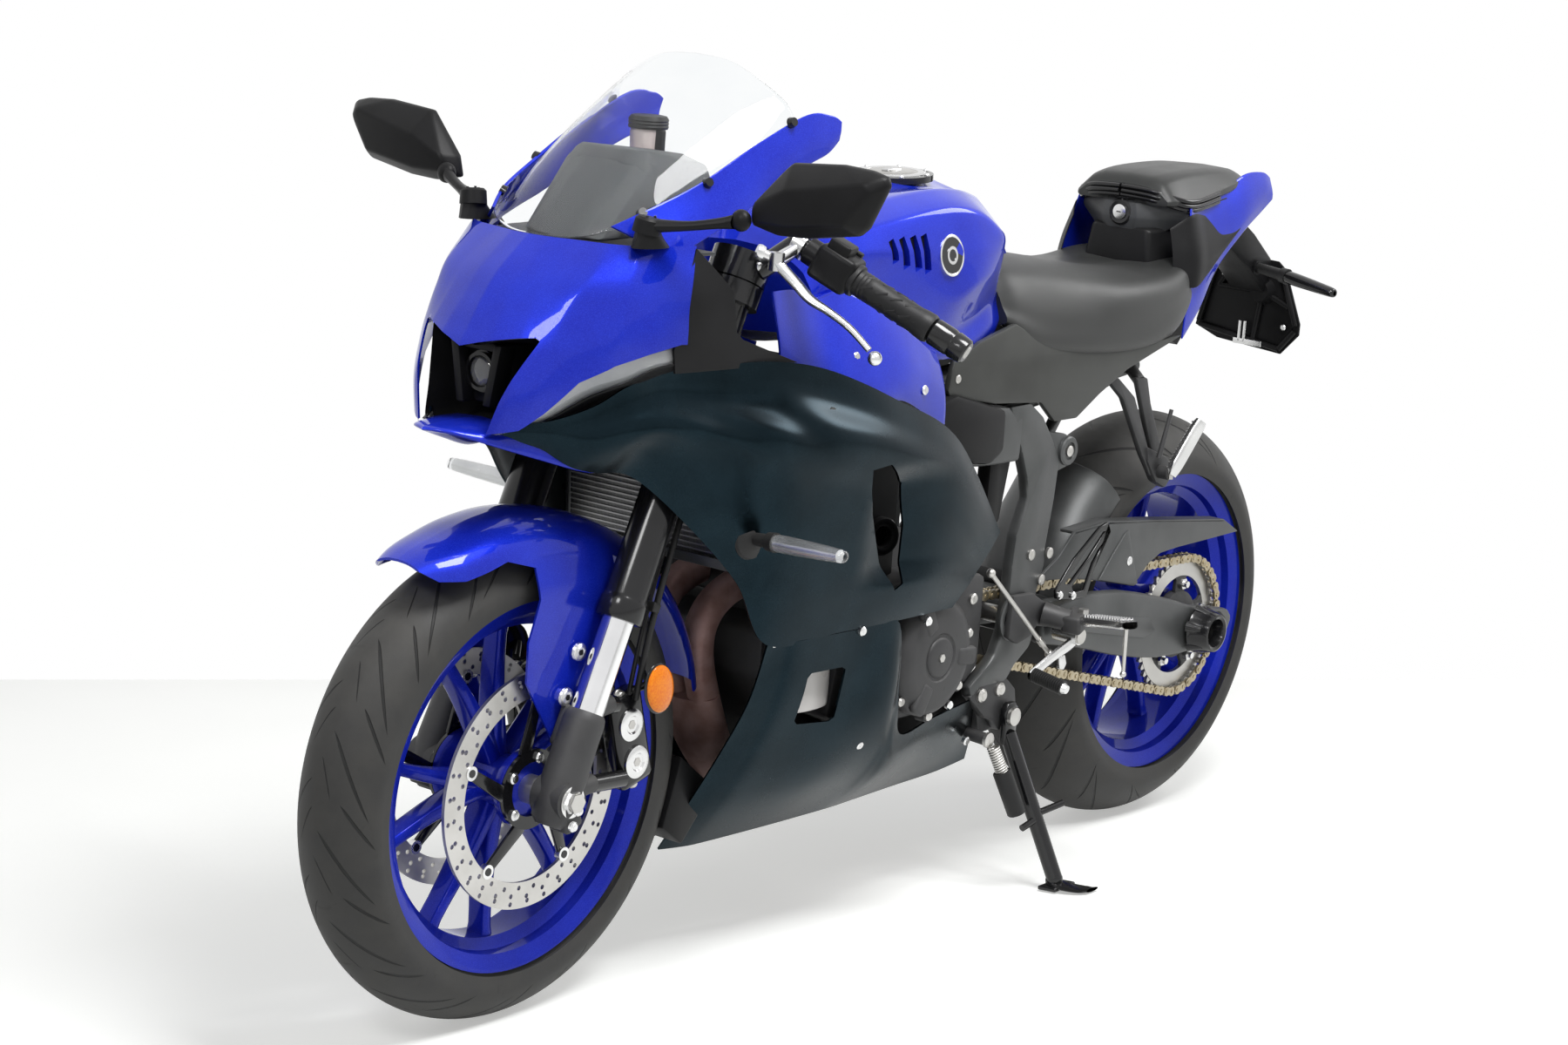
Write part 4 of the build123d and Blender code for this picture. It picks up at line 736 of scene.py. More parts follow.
for vert in sheet:   # a hollow behind the vent that fades towards the rear
    share = (scoop["from"] - vert.co.x) / (scoop["from"] - scoop["to"])
    rise = (vert.co.z - scoop["low"]) / (scoop["high"] - scoop["low"])
    if 0 < rise < 1 and -0.35 < share < 1:
        edge = min(1, 6 * min(rise, 1 - rise))
        vert.co.y -= scoop["depth"] * edge * (1 - max(share, 0)) ** 1.6 * (1 if share > 0
            else 1 + share / 0.35)
fairing = makePiece("sideFairings", form, "chassis", "darkPanel", "matteBlack", cad=["side_fairings"],
                    pair=True, wall=panelWall)
carve(fairing, prism(sideFairing["vent"], 120, 260))
soften(fairing, 1.2)
form = bmesh.new()   # dark inner panels behind the vents and under the tank covers
addPlate(form, [(990, 700), (860, 690), (780, 640), (780, 500), (860, 480), (1000, 500)], 120, 124)
addPlate(form, [(1196, 800), (1196, 846), (1100, 826), (1000, 806), (900, 760), (820, 700), (860, 690),
                (1000, 740), (1100, 780)], 146, 149)
makePiece("innerPanels", form, "chassis", "matteBlack", pair=True)

lowerFairing = {"window": [(940, 338), (938, 404), (946, 408), (1004, 408), (1010, 402), (1010, 342),
                           (1003, 336), (948, 333)],
    "stations": [
    (1094, 456.6, 1092, 150, [171, 148, 108, 62, 14]),
    (1062, 456.6, 1062, 150, [175, 158, 124, 80, 24]),
    (1030, 456.6, 1030, 152, [180, 167, 137, 94, 34]),
    (930, 456.6, 930, 163, [185, 177, 162, 127, 62]),
    (845, 456.6, 845, 171, [190, 188, 175, 140, 80]),
    (815, 345, 812, 171, [178, 170, 154, 124, 80]),
    (780, 286, 778, 173, [161, 155, 140, 114, 82]),
    (690, 290, 690, 179, [148, 142, 130, 112, 88]),
    (590, 295, 600, 185, [136, 131, 122, 110, 95]),
    (555, 292, 535, 194, [121, 118, 114, 108, 100])]}
form = bmesh.new()
addSheet(form, stationLines(lowerFairing["stations"]), along=60, across=26)
belly = makePiece("lowerFairings", form, "chassis", "darkPanel", cad=["lower_fairings"], pair=True,
                  wall=panelWall)
carve(belly, prism(lowerFairing["window"], 110, 240))
soften(belly, 1.2)

noseCowl = {"levels": [   # x and distance from the middle, from the rear edge to the front, at each height
    (734, [(1302, 148), (1352, 141), (1404, 126), (1478, 82), (1497, 61), (1508, 40), (1514, 0)]),
    (790, [(1294, 163), (1348, 153), (1400, 139), (1466, 100), (1488, 76), (1500, 45), (1504, 0)]),
    (835, [(1288, 169), (1342, 160), (1394, 145), (1452, 106), (1478, 74), (1492, 40), (1496, 0)]),
    (862, [(1288, 171), (1338, 162), (1388, 148), (1443, 106), (1464, 72), (1476, 38), (1481, 0)]),
    (892, [(1290, 172), (1334, 161), (1378, 148), (1428, 108), (1446, 68), (1456, 34), (1462, 0)]),
    (925, [(1283, 169), (1326, 158), (1366, 145), (1405, 112), (1420, 68), (1430, 34), (1436, 0)]),
    (965, [(1268, 158), (1312, 147), (1342, 135), (1362, 106), (1374, 62), (1384, 30), (1388, 0)])],
    "under": [(1240, 848), (1296, 851), (1340, 842), (1387, 829), (1425, 809), (1457, 771), (1478, 751),
              (1500, 744), (1512, 700), (1240, 700)],
    "intake": [(0, 839), (24, 846), (45, 851), (70, 856), (86, 858), (91, 855), (89, 847), (78, 815),
               (66, 782), (55, 744), (40, 700), (0, 700)]}
form = bmesh.new()
addSheet(form, [[(x, y, z) for x, y in spots] for z, spots in noseCowl["levels"]], along=40, across=60,
         crisp=0.55)
nose = makePiece("noseCowl", form, "chassis", "bluePaint", cad=["front_cowl"], pair=True, wall=panelWall)
carve(nose, prism(noseCowl["under"], 20, 260))
gap = bmesh.new()
hole = noseCowl["intake"] + [(-y, z) for y, z in reversed(noseCowl["intake"]) if y > 0]
addPlate(gap, hole, 1400, 1600, place=inFrontView)
carve(nose, gap)
soften(nose, 1.4)
arms = {"stations": [
    (1352, 984, 1300, 950, [96, 112, 128, 142, 152]),
    (1310, 1006, 1262, 968, [118, 130, 141, 150, 156]),
    (1240, 1036, 1200, 992, [135, 142, 149, 154, 157]),
    (1150, 1080, 1130, 1024, [143, 148, 152, 154, 154]),
    (1060, 1114, 1062, 1052, [146, 149, 152, 153, 152]),
    (1012, 1113, 1020, 1066, [147, 149, 151, 152, 151]),
    (992, 1105, 997, 1082, [148, 149, 150, 150, 150])]}
form = bmesh.new()
addSheet(form, stationLines(arms["stations"]), along=40, across=14)
makePiece("cowlArms", form, "chassis", "bluePaint", pair=True, wall=4, bevel=1.4)

chin = {"lines": [   # upper edge, front lip and lower edge of the blue lip under the intake
    [(1452, 0, 752), (1500, 0, 753), (1546, 0, 749), (1543, 0, 743), (1500, 0, 744)],
    [(1450, 28, 750), (1496, 28, 751), (1530, 30, 747), (1526, 30, 741), (1490, 28, 742)],
    [(1442, 52, 746), (1476, 57, 744), (1494, 58, 735), (1486, 58, 728), (1462, 52, 730)],
    [(1420, 74, 733), (1436, 76, 729), (1440, 78, 718), (1432, 77, 711), (1412, 72, 716)],
    [(1372, 93, 714), (1378, 96, 710), (1382, 98, 700), (1374, 97, 694), (1362, 92, 699)],
    [(1338, 104, 706), (1340, 106, 703), (1341, 107, 696), (1338, 106, 692), (1333, 103, 696)]]}
form = bmesh.new()
addSheet(form, chin["lines"], along=48, across=20, closed=True)
closeEnds(form)
makePiece("chinLip", form, "chassis", "bluePaint", pair=True, sharp=60)

intake = {"depth": 1392, "share": 0.72}
form = bmesh.new()
rimLine = [(1470, 0, 838), (1472, 45, 850), (1458, 70, 855), (1444, 92, 857), (1460, 79, 815),
           (1474, 67, 782), (1488, 56, 744), (1500, 28, 741), (1502, 0, 741)]
rimLine += [(x, -y, z) for x, y, z in reversed(rimLine[1:-1])]
backLine = [(intake["depth"], y * intake["share"], 800 + (z - 800) * intake["share"])
            for x, y, z in rimLine]
made = addSheet(form, [rimLine, [((a[0] + b[0]) / 2, (a[1] + b[1]) / 2, (a[2] + b[2]) / 2)
    for a, b in zip(rimLine, backLine)], backLine],
                along=8, across=64, closed=True)
bmesh.ops.remove_doubles(form, verts=form.verts, dist=0.02)
bmesh.ops.contextual_create(form, geom=[edge for edge in form.edges if edge.is_boundary
    and all(v.co.x < intake["depth"] + 1 for v in edge.verts)])
makePiece("intakeDuct", form, "chassis", "matteBlack")
form = bmesh.new()
addPlate(form, [(-41, 842), (41, 842), (27, 768), (-27, 768)], 1385, 1448, place=inFrontView, round=3)
for side in (1, -1):
    addPlate(form, [(side * 41, 842), (side * 29, 842), (side * 15, 768), (side * 27, 768)], 1440, 1468,
             place=inFrontView, round=2)
addPlate(form, [(-30, 842), (30, 842), (24, 832), (-24, 832)], 1440, 1462, place=inFrontView, round=2)
addRod(form, (1440, 0, 806), (1454, 0, 806), 25, sides=48, tag=1)
addSpin(form, [(0, 19), (6, 19), (6, 23), (0, 23)], (1453, 0, 806), steps=48, axis=(1, 0, 0), tag=1)
addBall(form, (1452, 0, 806), 19, scale=(0.45, 1, 1), tag=2)
makePiece("lampPod", form, "chassis", "matteBlack", "glossBlack", "clearLens", cad=["headlamp"], sharp=40)

# slim lights under the blue cheeks, with a black lip and the dark opening below them
light = {"top": [(1300, 164, 846), (1345, 155, 839), (1387, 138, 827), (1424, 110, 807), (1455, 82, 769),
                 (1476, 66, 750), (1492, 57, 744)],
         "low": [(1284, 166, 830), (1330, 158, 824), (1362, 144, 808), (1398, 116, 789), (1430, 88, 762),
                 (1452, 70, 747), (1480, 58, 741)],
         "lip": [(1268, 164, 824), (1312, 153, 817), (1346, 138, 800), (1378, 112, 780), (1412, 84, 755),
                 (1438, 68, 743), (1470, 56, 738)],
         "sink": [(1268, 150, 822), (1310, 138, 808), (1342, 122, 788), (1380, 96, 766), (1410, 74, 748),
                  (1440, 60, 738), (1466, 50, 735)]}
form = bmesh.new()
inset = [(x - 3, y - 3, z + 3) for x, y, z in light["top"]]
addSheet(form, [inset, light["top"], light["low"]], along=4, across=40)
makePiece("runningLights", form, "chassis", "clearLens", pair=True, wall=panelWall)
form = bmesh.new()
addSheet(form, [[(x - 4, y - 5, z + 2) for x, y, z in light["top"]],
                [(x - 3, y - 4, z) for x, y, z in light["low"]]], along=4, across=40, tag=1)
addSheet(form, [light["low"], light["lip"], light["sink"]], along=8, across=40)
addSheet(form, [light["sink"], [(x - 30, y - 22, z - 4) for x, y, z in light["sink"]]], along=4, across=40)
makePiece("lightBeds", form, "chassis", "matteBlack", "finSilver", pair=True, wall=2)

nosePanel = {"outline": [(1270, 962), (1209, 909), (1201, 860), (1188, 850), (1146, 836), (1082, 815),
                         (1300, 816), (1306, 845), (1299, 862), (1297, 899), (1285, 935)],
             "lines": [[(1330, 158, 970), (1330, 164, 890), (1330, 161, 800)],
                       [(1260, 160, 970), (1260, 172, 890), (1260, 168, 800)],
                       [(1180, 166, 970), (1180, 173, 890), (1180, 174, 800)],
                       [(1060, 170, 970), (1060, 174, 890), (1060, 178, 800)]]}
form = bmesh.new()
addSheet(form, nosePanel["lines"], along=30, across=20)
panel = makePiece("nosePanels", form, "chassis", "matteBlack", cad=["cowl_panels"], pair=True,
                  wall=panelWall)
carve(panel, prism(nosePanel["outline"], 140, 200), "INTERSECT")
soften(panel, 1.2)
print("fairings and nose made")

# screen with its edge and screws
screen = {"arches": [   # front line in the middle, then heights and half widths
    [(1386, 0, 966), (1384, 25, 966), (1376, 50, 968), (1362, 78, 974), (1346, 96, 984)],
    [(1350, 0, 1003), (1347, 34, 1002), (1338, 68, 998), (1322, 98, 993), (1302, 116, 994)],
    [(1296, 0, 1051), (1293, 44, 1048), (1284, 86, 1036), (1268, 116, 1022), (1246, 133, 1026)],
    [(1230, 0, 1101), (1228, 50, 1097), (1220, 96, 1078), (1204, 126, 1058), (1184, 141, 1058)],
    [(1164, 0, 1144), (1162, 54, 1139), (1156, 102, 1116), (1144, 134, 1088), (1130, 145, 1082)],
    [(1104, 0, 1176), (1102, 55, 1171), (1098, 104, 1150), (1090, 136, 1128), (1083, 146, 1108)]]}
form = bmesh.new()
addSheet(form, screen["arches"], along=40, across=24)
makePiece("windscreen", form, "chassis", "screenPlastic", cad=["windscreen"], pair=True, wall=panelWall)
form = bmesh.new()
for at, way in (((1232, 139, 1036), (0.3, 0.9, 0.4)), ((1091, 148, 1106), (0.1, 0.95, 0.3)),
                ((1316, 112, 1000), (0.5, 0.75, 0.5))):
    addRod(form, Vector(at) - Vector(way) * 3, Vector(at) + Vector(way) * 4, 7, 5.5)
makePiece("screenScrews", form, "chassis", "glossBlack", pair=True)

dash = {"hull": [(1142, 70, 1030), (1150, 40, 1052), (1160, 62, 1050), (1252, 52, 1061), (1262, 28, 1060),
                 (1254, 68, 1046), (1240, 96, 1000),
                 (1150, 92, 1006), (1148, 70, 1000), (1250, 92, 970), (1342, 44, 966), (1350, 24, 962),
                 (1330, 62, 960), (1256, 60, 966)],
        "hood": [(1146, 66, 1046), (1246, 57, 1064), (1258, 30, 1065), (1272, 36, 1050), (1262, 66, 1040),
                 (1252, 84, 1008), (1240, 88, 1008),
                 (1150, 84, 1012), (1150, 30, 1056)],
        "shelf": [(1380, 0), (1379, 30), (1374, 54), (1362, 84), (1340, 116), (1306, 134), (1262, 144),
                  (1220, 148), (1220, 0)]}
form = bmesh.new()
addHull(form, bothSides(dash["hull"]), round=5)
addHull(form, bothSides(dash["hood"]), round=4)
shelf = dash["shelf"] + [(x, -y) for x, y in reversed(dash["shelf"]) if y]
addPlate(form, shelf, 950, 954, place=inTopView)
makePiece("instrumentPanel", form, "chassis", "dashGrey", cad=["instrument_panel"], sharp=32)
print("screen made")

# tank, covers and seats


def halfForm(form, sections, along, across, crisp=0):
    # half of a closed body: each section runs from its top centre round the left side to its bottom centre
    made = addSheet(form, [[(x, y, z) for y, z in half] for x, half in sections], along=along,
                    across=across, crisp=crisp)
    for edge in (min, max):   # the two end faces, left open at the middle plane
        x = edge(vert.co.x for vert in made)
        rim = [vert for vert in made if abs(vert.co.x - x) < 0.01]
        rim.sort(key=lambda vert: -vert.co.z)
        if len(rim) > 2:
            form.faces.new(rim)
    return made


# half outlines: top middle, recess, ridge, shoulder, side, fold, lower side, base and middle
tank = {"sections": [
    (1002, [(0, 940), (48, 937), (88, 926), (112, 912), (130, 886), (130, 868), (116, 848), (94, 834),
            (0, 826)]),
    (950, [(0, 986), (52, 981), (98, 972), (132, 956), (146, 934), (142, 900), (122, 850), (98, 826),
           (0, 806)]),
    (850, [(0, 1002), (54, 995), (98, 993), (138, 976), (152, 938), (151, 918), (141, 856), (118, 815),
           (0, 800)]),
    (740, [(0, 1014), (58, 1003), (100, 1006), (140, 986), (153, 932), (154, 868), (140, 822), (136, 787),
           (0, 782)]),
    (664, [(0, 1016), (58, 1001), (96, 1004), (140, 978), (153, 930), (153, 892), (131, 828), (132, 788),
           (0, 782)]),
    (604, [(0, 1008), (50, 992), (84, 992), (138, 948), (140, 926), (136, 898), (124, 850), (124, 802),
           (0, 796)]),
    (574, [(0, 1000), (46, 990), (72, 982), (108, 944), (114, 922), (115, 896), (112, 850), (117, 812),
           (0, 806)]),
    (538, [(0, 984), (40, 976), (58, 965), (78, 932), (84, 908), (86, 890), (92, 862), (98, 840),
           (0, 836)]),
    (498, [(0, 962), (32, 955), (44, 943), (56, 920), (60, 902), (62, 888), (64, 876), (64, 866),
           (0, 862)]),
    (452, [(0, 926), (24, 922), (34, 913), (42, 898), (44, 888), (44, 880), (44, 874), (42, 868),
           (0, 864)])],
    "slots": [((870, 954), (861, 924), 5.5), ((848, 956), (837, 916), 6), ((825, 957), (812, 912), 6.5),
              ((802, 958), (792, 908), 6.5)],
    "badge": (742, 152.5, 927), "cap": (682, 0, 1016)}
form = bmesh.new()
halfForm(form, tank["sections"], along=72, across=64, crisp=0.62)
tankPiece = makePiece("fuelTank", form, "chassis", "bluePaint", "matteBlack", cad=["fuel_tank"], pair=True,
                      sharp=42)
cutter = bmesh.new()
for high, low, half in tank["slots"]:
    lean = [(high[0] - half, high[1]), (high[0] + half, high[1] - 4), (low[0] + half, low[1] - 3),
            (low[0] - half, low[1] + 2)]
    addPlate(cutter, lean, 142, 170)
    addPlate(cutter, lean, -170, -142)
carve(tankPiece, cutter, sharp=42)
form = bmesh.new()
for high, low, half in tank["slots"]:
    lean = [(high[0] - half - 2, high[1] + 2), (high[0] + half + 2, high[1]),
            (low[0] + half + 2, low[1] - 5), (low[0] - half - 2, low[1])]
    addPlate(form, lean, 141, 143.5)
makePiece("tankSlots", form, "chassis", "matteBlack", pair=True)
form = bmesh.new()
spot, out = Vector(tank["badge"]), Vector((-0.03, 1, 0.16)).normalized()
addSpin(form, [(-4, 24), (1.5, 24), (2.6, 25.8), (1.5, 27.6), (-4, 27.6)], spot, steps=48, axis=out)
addSpin(form, [(-4, 0), (1.4, 0), (1.6, 24), (-4, 24)], spot, steps=48, axis=out, tag=1)
addSpin(form, [(1, 8), (2.2, 8), (2.4, 10), (2.2, 12), (1, 12)], spot, steps=48, axis=out)
makePiece("tankBadges", form, "chassis", "brightMetal", "glossBlack", pair=True)
form = bmesh.new()
spot, out = Vector(tank["cap"]), Vector((0.06, 0, 1)).normalized()
addSpin(form, [(-8, 0), (3, 0), (3.5, 30), (2, 34), (2, 36), (-8, 36)], spot, steps=48, axis=out, tag=1)
addSpin(form, [(-8, 36), (2.5, 36), (3, 44), (1.5, 47), (-8, 47)], spot, steps=48, axis=out)
addSpin(form, [(-8, 47), (0.8, 47), (0.4, 57), (-8, 57)], spot, steps=48, axis=out, tag=2)
for i in range(7):
    turn = 2 * pi * i / 7
    addBolt(form, spot + Vector((52 * cos(turn), 52 * sin(turn), -3 * cos(turn))), out, radius=3.6,
            height=3.5)
addBlock(form, spot + Vector((0, 0, 4)), (30, 13, 4), round=1.5)
makePiece("tankCap", form, "chassis", "brightMetal", "steel", "glossBlack", sharp=30)

covers = {"stations": [
    (1118, 902, 1102, 812, [158, 161, 164, 166, 166]),
    (1066, 900, 1062, 798, [150, 154, 160, 166, 169]),
    (1012, 886, 1022, 784, [144, 152, 161, 169, 174]),
    (962, 892, 988, 776, [143, 154, 166, 177, 186]),
    (900, 872, 932, 756, [151, 164, 176, 186, 194]),
    (840, 840, 868, 750, [156, 168, 178, 184, 185]),
    (790, 812, 803, 726, [156, 165, 172, 174, 174]),
    (752, 800, 742, 704, [147, 157, 163, 165, 164])]}
form = bmesh.new()
addSheet(form, stationLines(covers["stations"]), along=44, across=18)
addSheet(form, [[(x, y, z) for x, y, z in (line[0], (line[0][0] - 3, line[0][1] - 10, line[0][2] - 2),
    (line[0][0] - 6, 128, line[0][2] - 8))]
                for line in stationLines(covers["stations"])[2:]], along=36, across=6)
makePiece("tankCovers", form, "chassis", "bluePaint", cad=["tank_covers"], pair=True, wall=panelWall,
          bevel=1.2, sharp=50)
form = bmesh.new()
for at, way in (((812, 176, 758), (0, 1, 0.15)), ((960, 172, 812), (0.1, 1, 0.1))):
    addBolt(form, at, way, radius=6.5)
makePiece("coverScrews", form, "chassis", "brightMetal", pair=True, sharp=30)

riderSeat = {"sections": [
    (566, [(0, 896), (50, 894), (92, 880), (118, 846), (120, 818), (0, 803)]),
    (536, [(0, 904), (56, 901), (102, 884), (129, 838), (127, 800), (0, 790)]),
    (470, [(0, 904), (60, 900), (110, 876), (137, 820), (128, 776), (0, 772)]),
    (380, [(0, 892), (64, 890), (118, 866), (143, 810), (130, 764), (0, 762)]),
    (290, [(0, 878), (70, 878), (130, 856), (146, 808), (130, 758), (0, 756)]),
    (200, [(0, 868), (68, 870), (128, 856), (143, 812), (129, 762), (0, 760)]),
    (130, [(0, 866), (64, 868), (116, 862), (134, 828), (122, 776), (0, 772)]),
    (76, [(0, 874), (58, 878), (102, 874), (117, 848), (108, 806), (0, 800)]),
    (40, [(0, 884), (48, 885), (84, 880), (98, 862), (95, 846), (0, 842)])]}
form = bmesh.new()
halfForm(form, riderSeat["sections"], along=60, across=40)
seat = makePiece("riderSeat", form, "chassis", "seatVinyl", cad=["rider_seat"], pair=True,
                 sharp=70, bevel=5)
form = bmesh.new()
edge = [(x, half[4][0] + 0.5, half[4][1] + 3) for x, half in riderSeat["sections"]]
addPipe(form, edge, 3, sides=6)
makePiece("seatPiping", form, "chassis", "glossBlack", pair=True, outward=False)
passengerPad = {"sections": [
    (100, [(0, 984), (42, 982), (62, 976), (78, 964), (74, 957), (0, 957)]),
    (84, [(0, 999), (44, 997), (64, 990), (87, 966), (82, 956), (0, 956)]),
    (30, [(0, 1006), (48, 1004), (66, 998), (91, 966), (84, 958), (0, 957)]),
    (-60, [(0, 1009), (48, 1007), (64, 1002), (84, 982), (80, 970), (0, 968)]),
    (-120, [(0, 1006), (42, 1004), (56, 999), (70, 988), (66, 979), (0, 978)]),
    (-160, [(0, 1000), (28, 998), (40, 994), (48, 989), (46, 984), (0, 984)])]}
form = bmesh.new()
halfForm(form, passengerPad["sections"], along=48, across=40, crisp=0.55)
pad = makePiece("passengerSeat", form, "chassis", "seatVinyl", cad=["passenger_seat"], pair=True,
                sharp=70, bevel=4)
form = bmesh.new()
for drop, out in ((0, 1.5), (-7, 2.5), (-13, 1)):
    line = [(-30, 87, 974), (20, 93, 967), (60, 94, 964), (80, 84, 968), (96, 62, 975), (103, 36, 979),
            (105, 0, 980)]
    addPipe(form, [(x + out, y + out, z + drop) for x, y, z in line], 3.4)
makePiece("padStraps", form, "chassis", "glossBlack", pair=True, outward=False)

# tail: black core, lock panel, blue wings and their black inlays
tail = {"core": [(80, 52, 956), (80, 58, 936), (60, 78, 940), (40, 88, 952), (-60, 84, 966),
                 (-150, 56, 984), (-186, 44, 980), (-188, 40, 936), (-120, 60, 908),
                 (-60, 64, 884), (10, 74, 862), (50, 70, 905), (76, 40, 908)],
        "column": [(100, 44, 920), (96, 52, 916), (104, 56, 862), (60, 78, 862), (30, 82, 930),
                   (40, 60, 846), (96, 40, 846)],
        "lock": [(94, 0, 966), (90, 46, 963), (70, 82, 959), (60, 95, 945), (62, 92, 938), (74, 60, 915),
                 (84, 40, 906), (88, 0, 902), (40, 90, 945), (40, 60, 960),
                 (103, 26, 956), (104, 30, 934), (100, 22, 916)], "key": (103, 0, 941)}
form = bmesh.new()
addHull(form, bothSides(tail["core"]), round=4)
addHull(form, bothSides(tail["column"]), round=4)
for side in (1, -1):
    addPlate(form, [(70, 760), (62, 790), (24, 820), (20, 900), (-60, 915), (-120, 930), (-60, 862),
                    (10, 780), (40, 748)], side * 4, side * 82)
makePiece("tailCore", form, "chassis", "matteBlack", cad=["tail_core"], sharp=34)
form = bmesh.new()
addHull(form, bothSides(tail["lock"]), round=2)
addSpin(form, [(-3, 11), (1, 11), (2, 17), (0, 20), (-3, 20)], tail["key"], steps=40, axis=(1, 0, 0), tag=2)
addSpin(form, [(-3, 0), (4, 0), (4.5, 7), (3, 11), (-3, 11)], tail["key"], steps=40, axis=(1, 0, 0), tag=1)
addBlock(form, Vector(tail["key"]) + Vector((4.5, 0, 0)), (1.5, 7, 1.8), round=0, tag=2)
makePiece("lockPanel", form, "chassis", "dashGrey", "brightMetal", "glossBlack", sharp=30)
wings = {"stations": [
    (66, 955, 96, 766, [100, 110, 117, 121, 124]), (48, 958, 76, 780, [93, 105, 114, 119, 121]),
    (10, 961, 34, 812, [86, 98, 108, 114, 114]), (-60, 977, -15, 862, [78, 90, 99, 104, 105]),
    (-130, 998, -92, 910, [70, 81, 90, 96, 97]), (-190, 999, -168, 940, [66, 74, 80, 83, 84]),
                      (-214, 990, -208, 957, [66, 70, 74, 77, 78])],
    "inlay": [(98, 926, 104, 846, [86, 92, 97, 100, 102]),
              (64, 947, 76, 842, [102, 110.5, 118.5, 123, 124.5]),
              (14, 943, 32, 858, [92, 102, 111, 116.5, 117.5]), (-45, 935, -20, 884,
                  [91, 96, 102, 106.5, 107.5]), (-90, 930, -84, 919, [93, 94, 96, 98, 98.5])]}
form = bmesh.new()
addSheet(form, stationLines(wings["stations"]), along=40, crisp=0.3)
makePiece("tailWings", form, "chassis", "bluePaint", cad=["tail_wings"], pair=True, wall=panelWall,
          bevel=1.4)
form = bmesh.new()
addSheet(form, stationLines(wings["inlay"]), along=30, across=14)
makePiece("tailInlays", form, "chassis", "matteBlack", pair=True, wall=1.5, bevel=0.6)
form = bmesh.new()
addPlate(form, [(-44, 955), (44, 955), (36, 970), (-36, 970)], -208, -192, place=inFrontView, round=3)
makePiece("tailLamp", form, "chassis", "redLens", cad=["tail_lamp"])

sidePanels = {"outline": [(704, 742), (694, 780), (640, 802), (556, 822), (520, 808), (440, 786),
                          (369, 774), (290, 770), (200, 772), (120, 776), (262, 736),
                          (330, 706), (385, 676), (440, 676), (478, 706), (590, 714), (698, 731)]}
form = bmesh.new()
addPlate(form, sidePanels["outline"], 129, 139, round=3)
addBolt(form, (684, 138, 756), (0, 1, 0), height=3, tag=1)
makePiece("seatSidePanels", form, "chassis", "panelGrey", "steel", cad=["seat_side_panels"], pair=True,
          sharp=34)
form = bmesh.new()
addPlate(form, [(722, 730), (690, 736), (572, 706), (570, 648), (600, 632), (640, 636), (735, 690)], 110,
         148, round=8)
addPlate(form, [(560, 705), (545, 700), (520, 640), (540, 540), (575, 540), (572, 648)], 104, 128, round=6)
makePiece("airboxCovers", form, "chassis", "matteBlack", pair=True, sharp=40)
print("tank, seats and tail made")

# fork, fender and brakes
steerUp = Vector((-sin(radians(bike["rake"])), 0, cos(radians(bike["rake"]))))


def legPoint(along, y):
    return Vector(bike["frontAxle"]) + steerUp * along + Vector((0, y, 0))


fork = {"half": 105, "tube": 20.5}
form = bmesh.new()
foot = legPoint(0, fork["half"])
addSpin(form, [(-36, 0), (-36, 16), (-28, 24), (-6, 27), (30, 27.5), (70, 26), (96, 26), (104, 24.5),
               (108, 22), (108, 0)], foot, steps=48, axis=steerUp, closed=False)
addRod(form, (1395, 84, 300), (1395, 128, 300), 27, 25, sides=40)
addRod(form, (1395, 126, 300), (1395, 134, 300), 17, 14, sides=6, tag=1)
addRod(form, (1395, 128, 300), (1395, 130, 300), 20, sides=40, tag=1)
addBlock(form, legPoint(-24, 112) + Vector((-14, 0, 0)), (30, 34, 34), turn=(0, 24, 0), round=6)
for along in (-34, -14):
    addBolt(form, legPoint(along, 128) + Vector((-16, 0, 0)), (0, 1, 0), radius=6.5, height=6, tag=1)
for z, reach in ((398, 48), (302, 66)):   # lugs that carry the calliper
    x = 1395 - 0.439 * (z - 300)   # where the leg stands at that height
    addRod(form, (x - 6, 100, z), (x - reach, 98, z + 2), 14, 12)
addBlock(form, legPoint(84, 84), (34, 16, 52), turn=(0, -24, 0), round=5)
makePiece("forkCarriers", form, "steering", "castDark", "brightMetal", cad=["fork_carriers"], pair=True,
          sharp=40)
form = bmesh.new()
addSpin(form, [(96, fork["tube"]), (286, fork["tube"]), (286, 12), (96, 12)], foot, steps=48, axis=steerUp)
makePiece("forkTubes", form, "steering", "chrome", cad=["fork_inner_tubes"], pair=True)
form = bmesh.new()
addSpin(form, [(226, 21), (225, 28), (228, 30), (248, 30), (252, 28.5), (256, 27), (470, 27), (476, 28),
               (672, 28), (672, 21)], foot, steps=56, axis=steerUp)
addSpin(form, [(672, 0), (672, 26), (676, 24), (678, 12), (678, 0)], foot, steps=40, axis=steerUp, tag=1,
        closed=False)
makePiece("forkOuters", form, "steering", "glossBlack", "brightMetal", cad=["fork_outer_tubes"], pair=True)

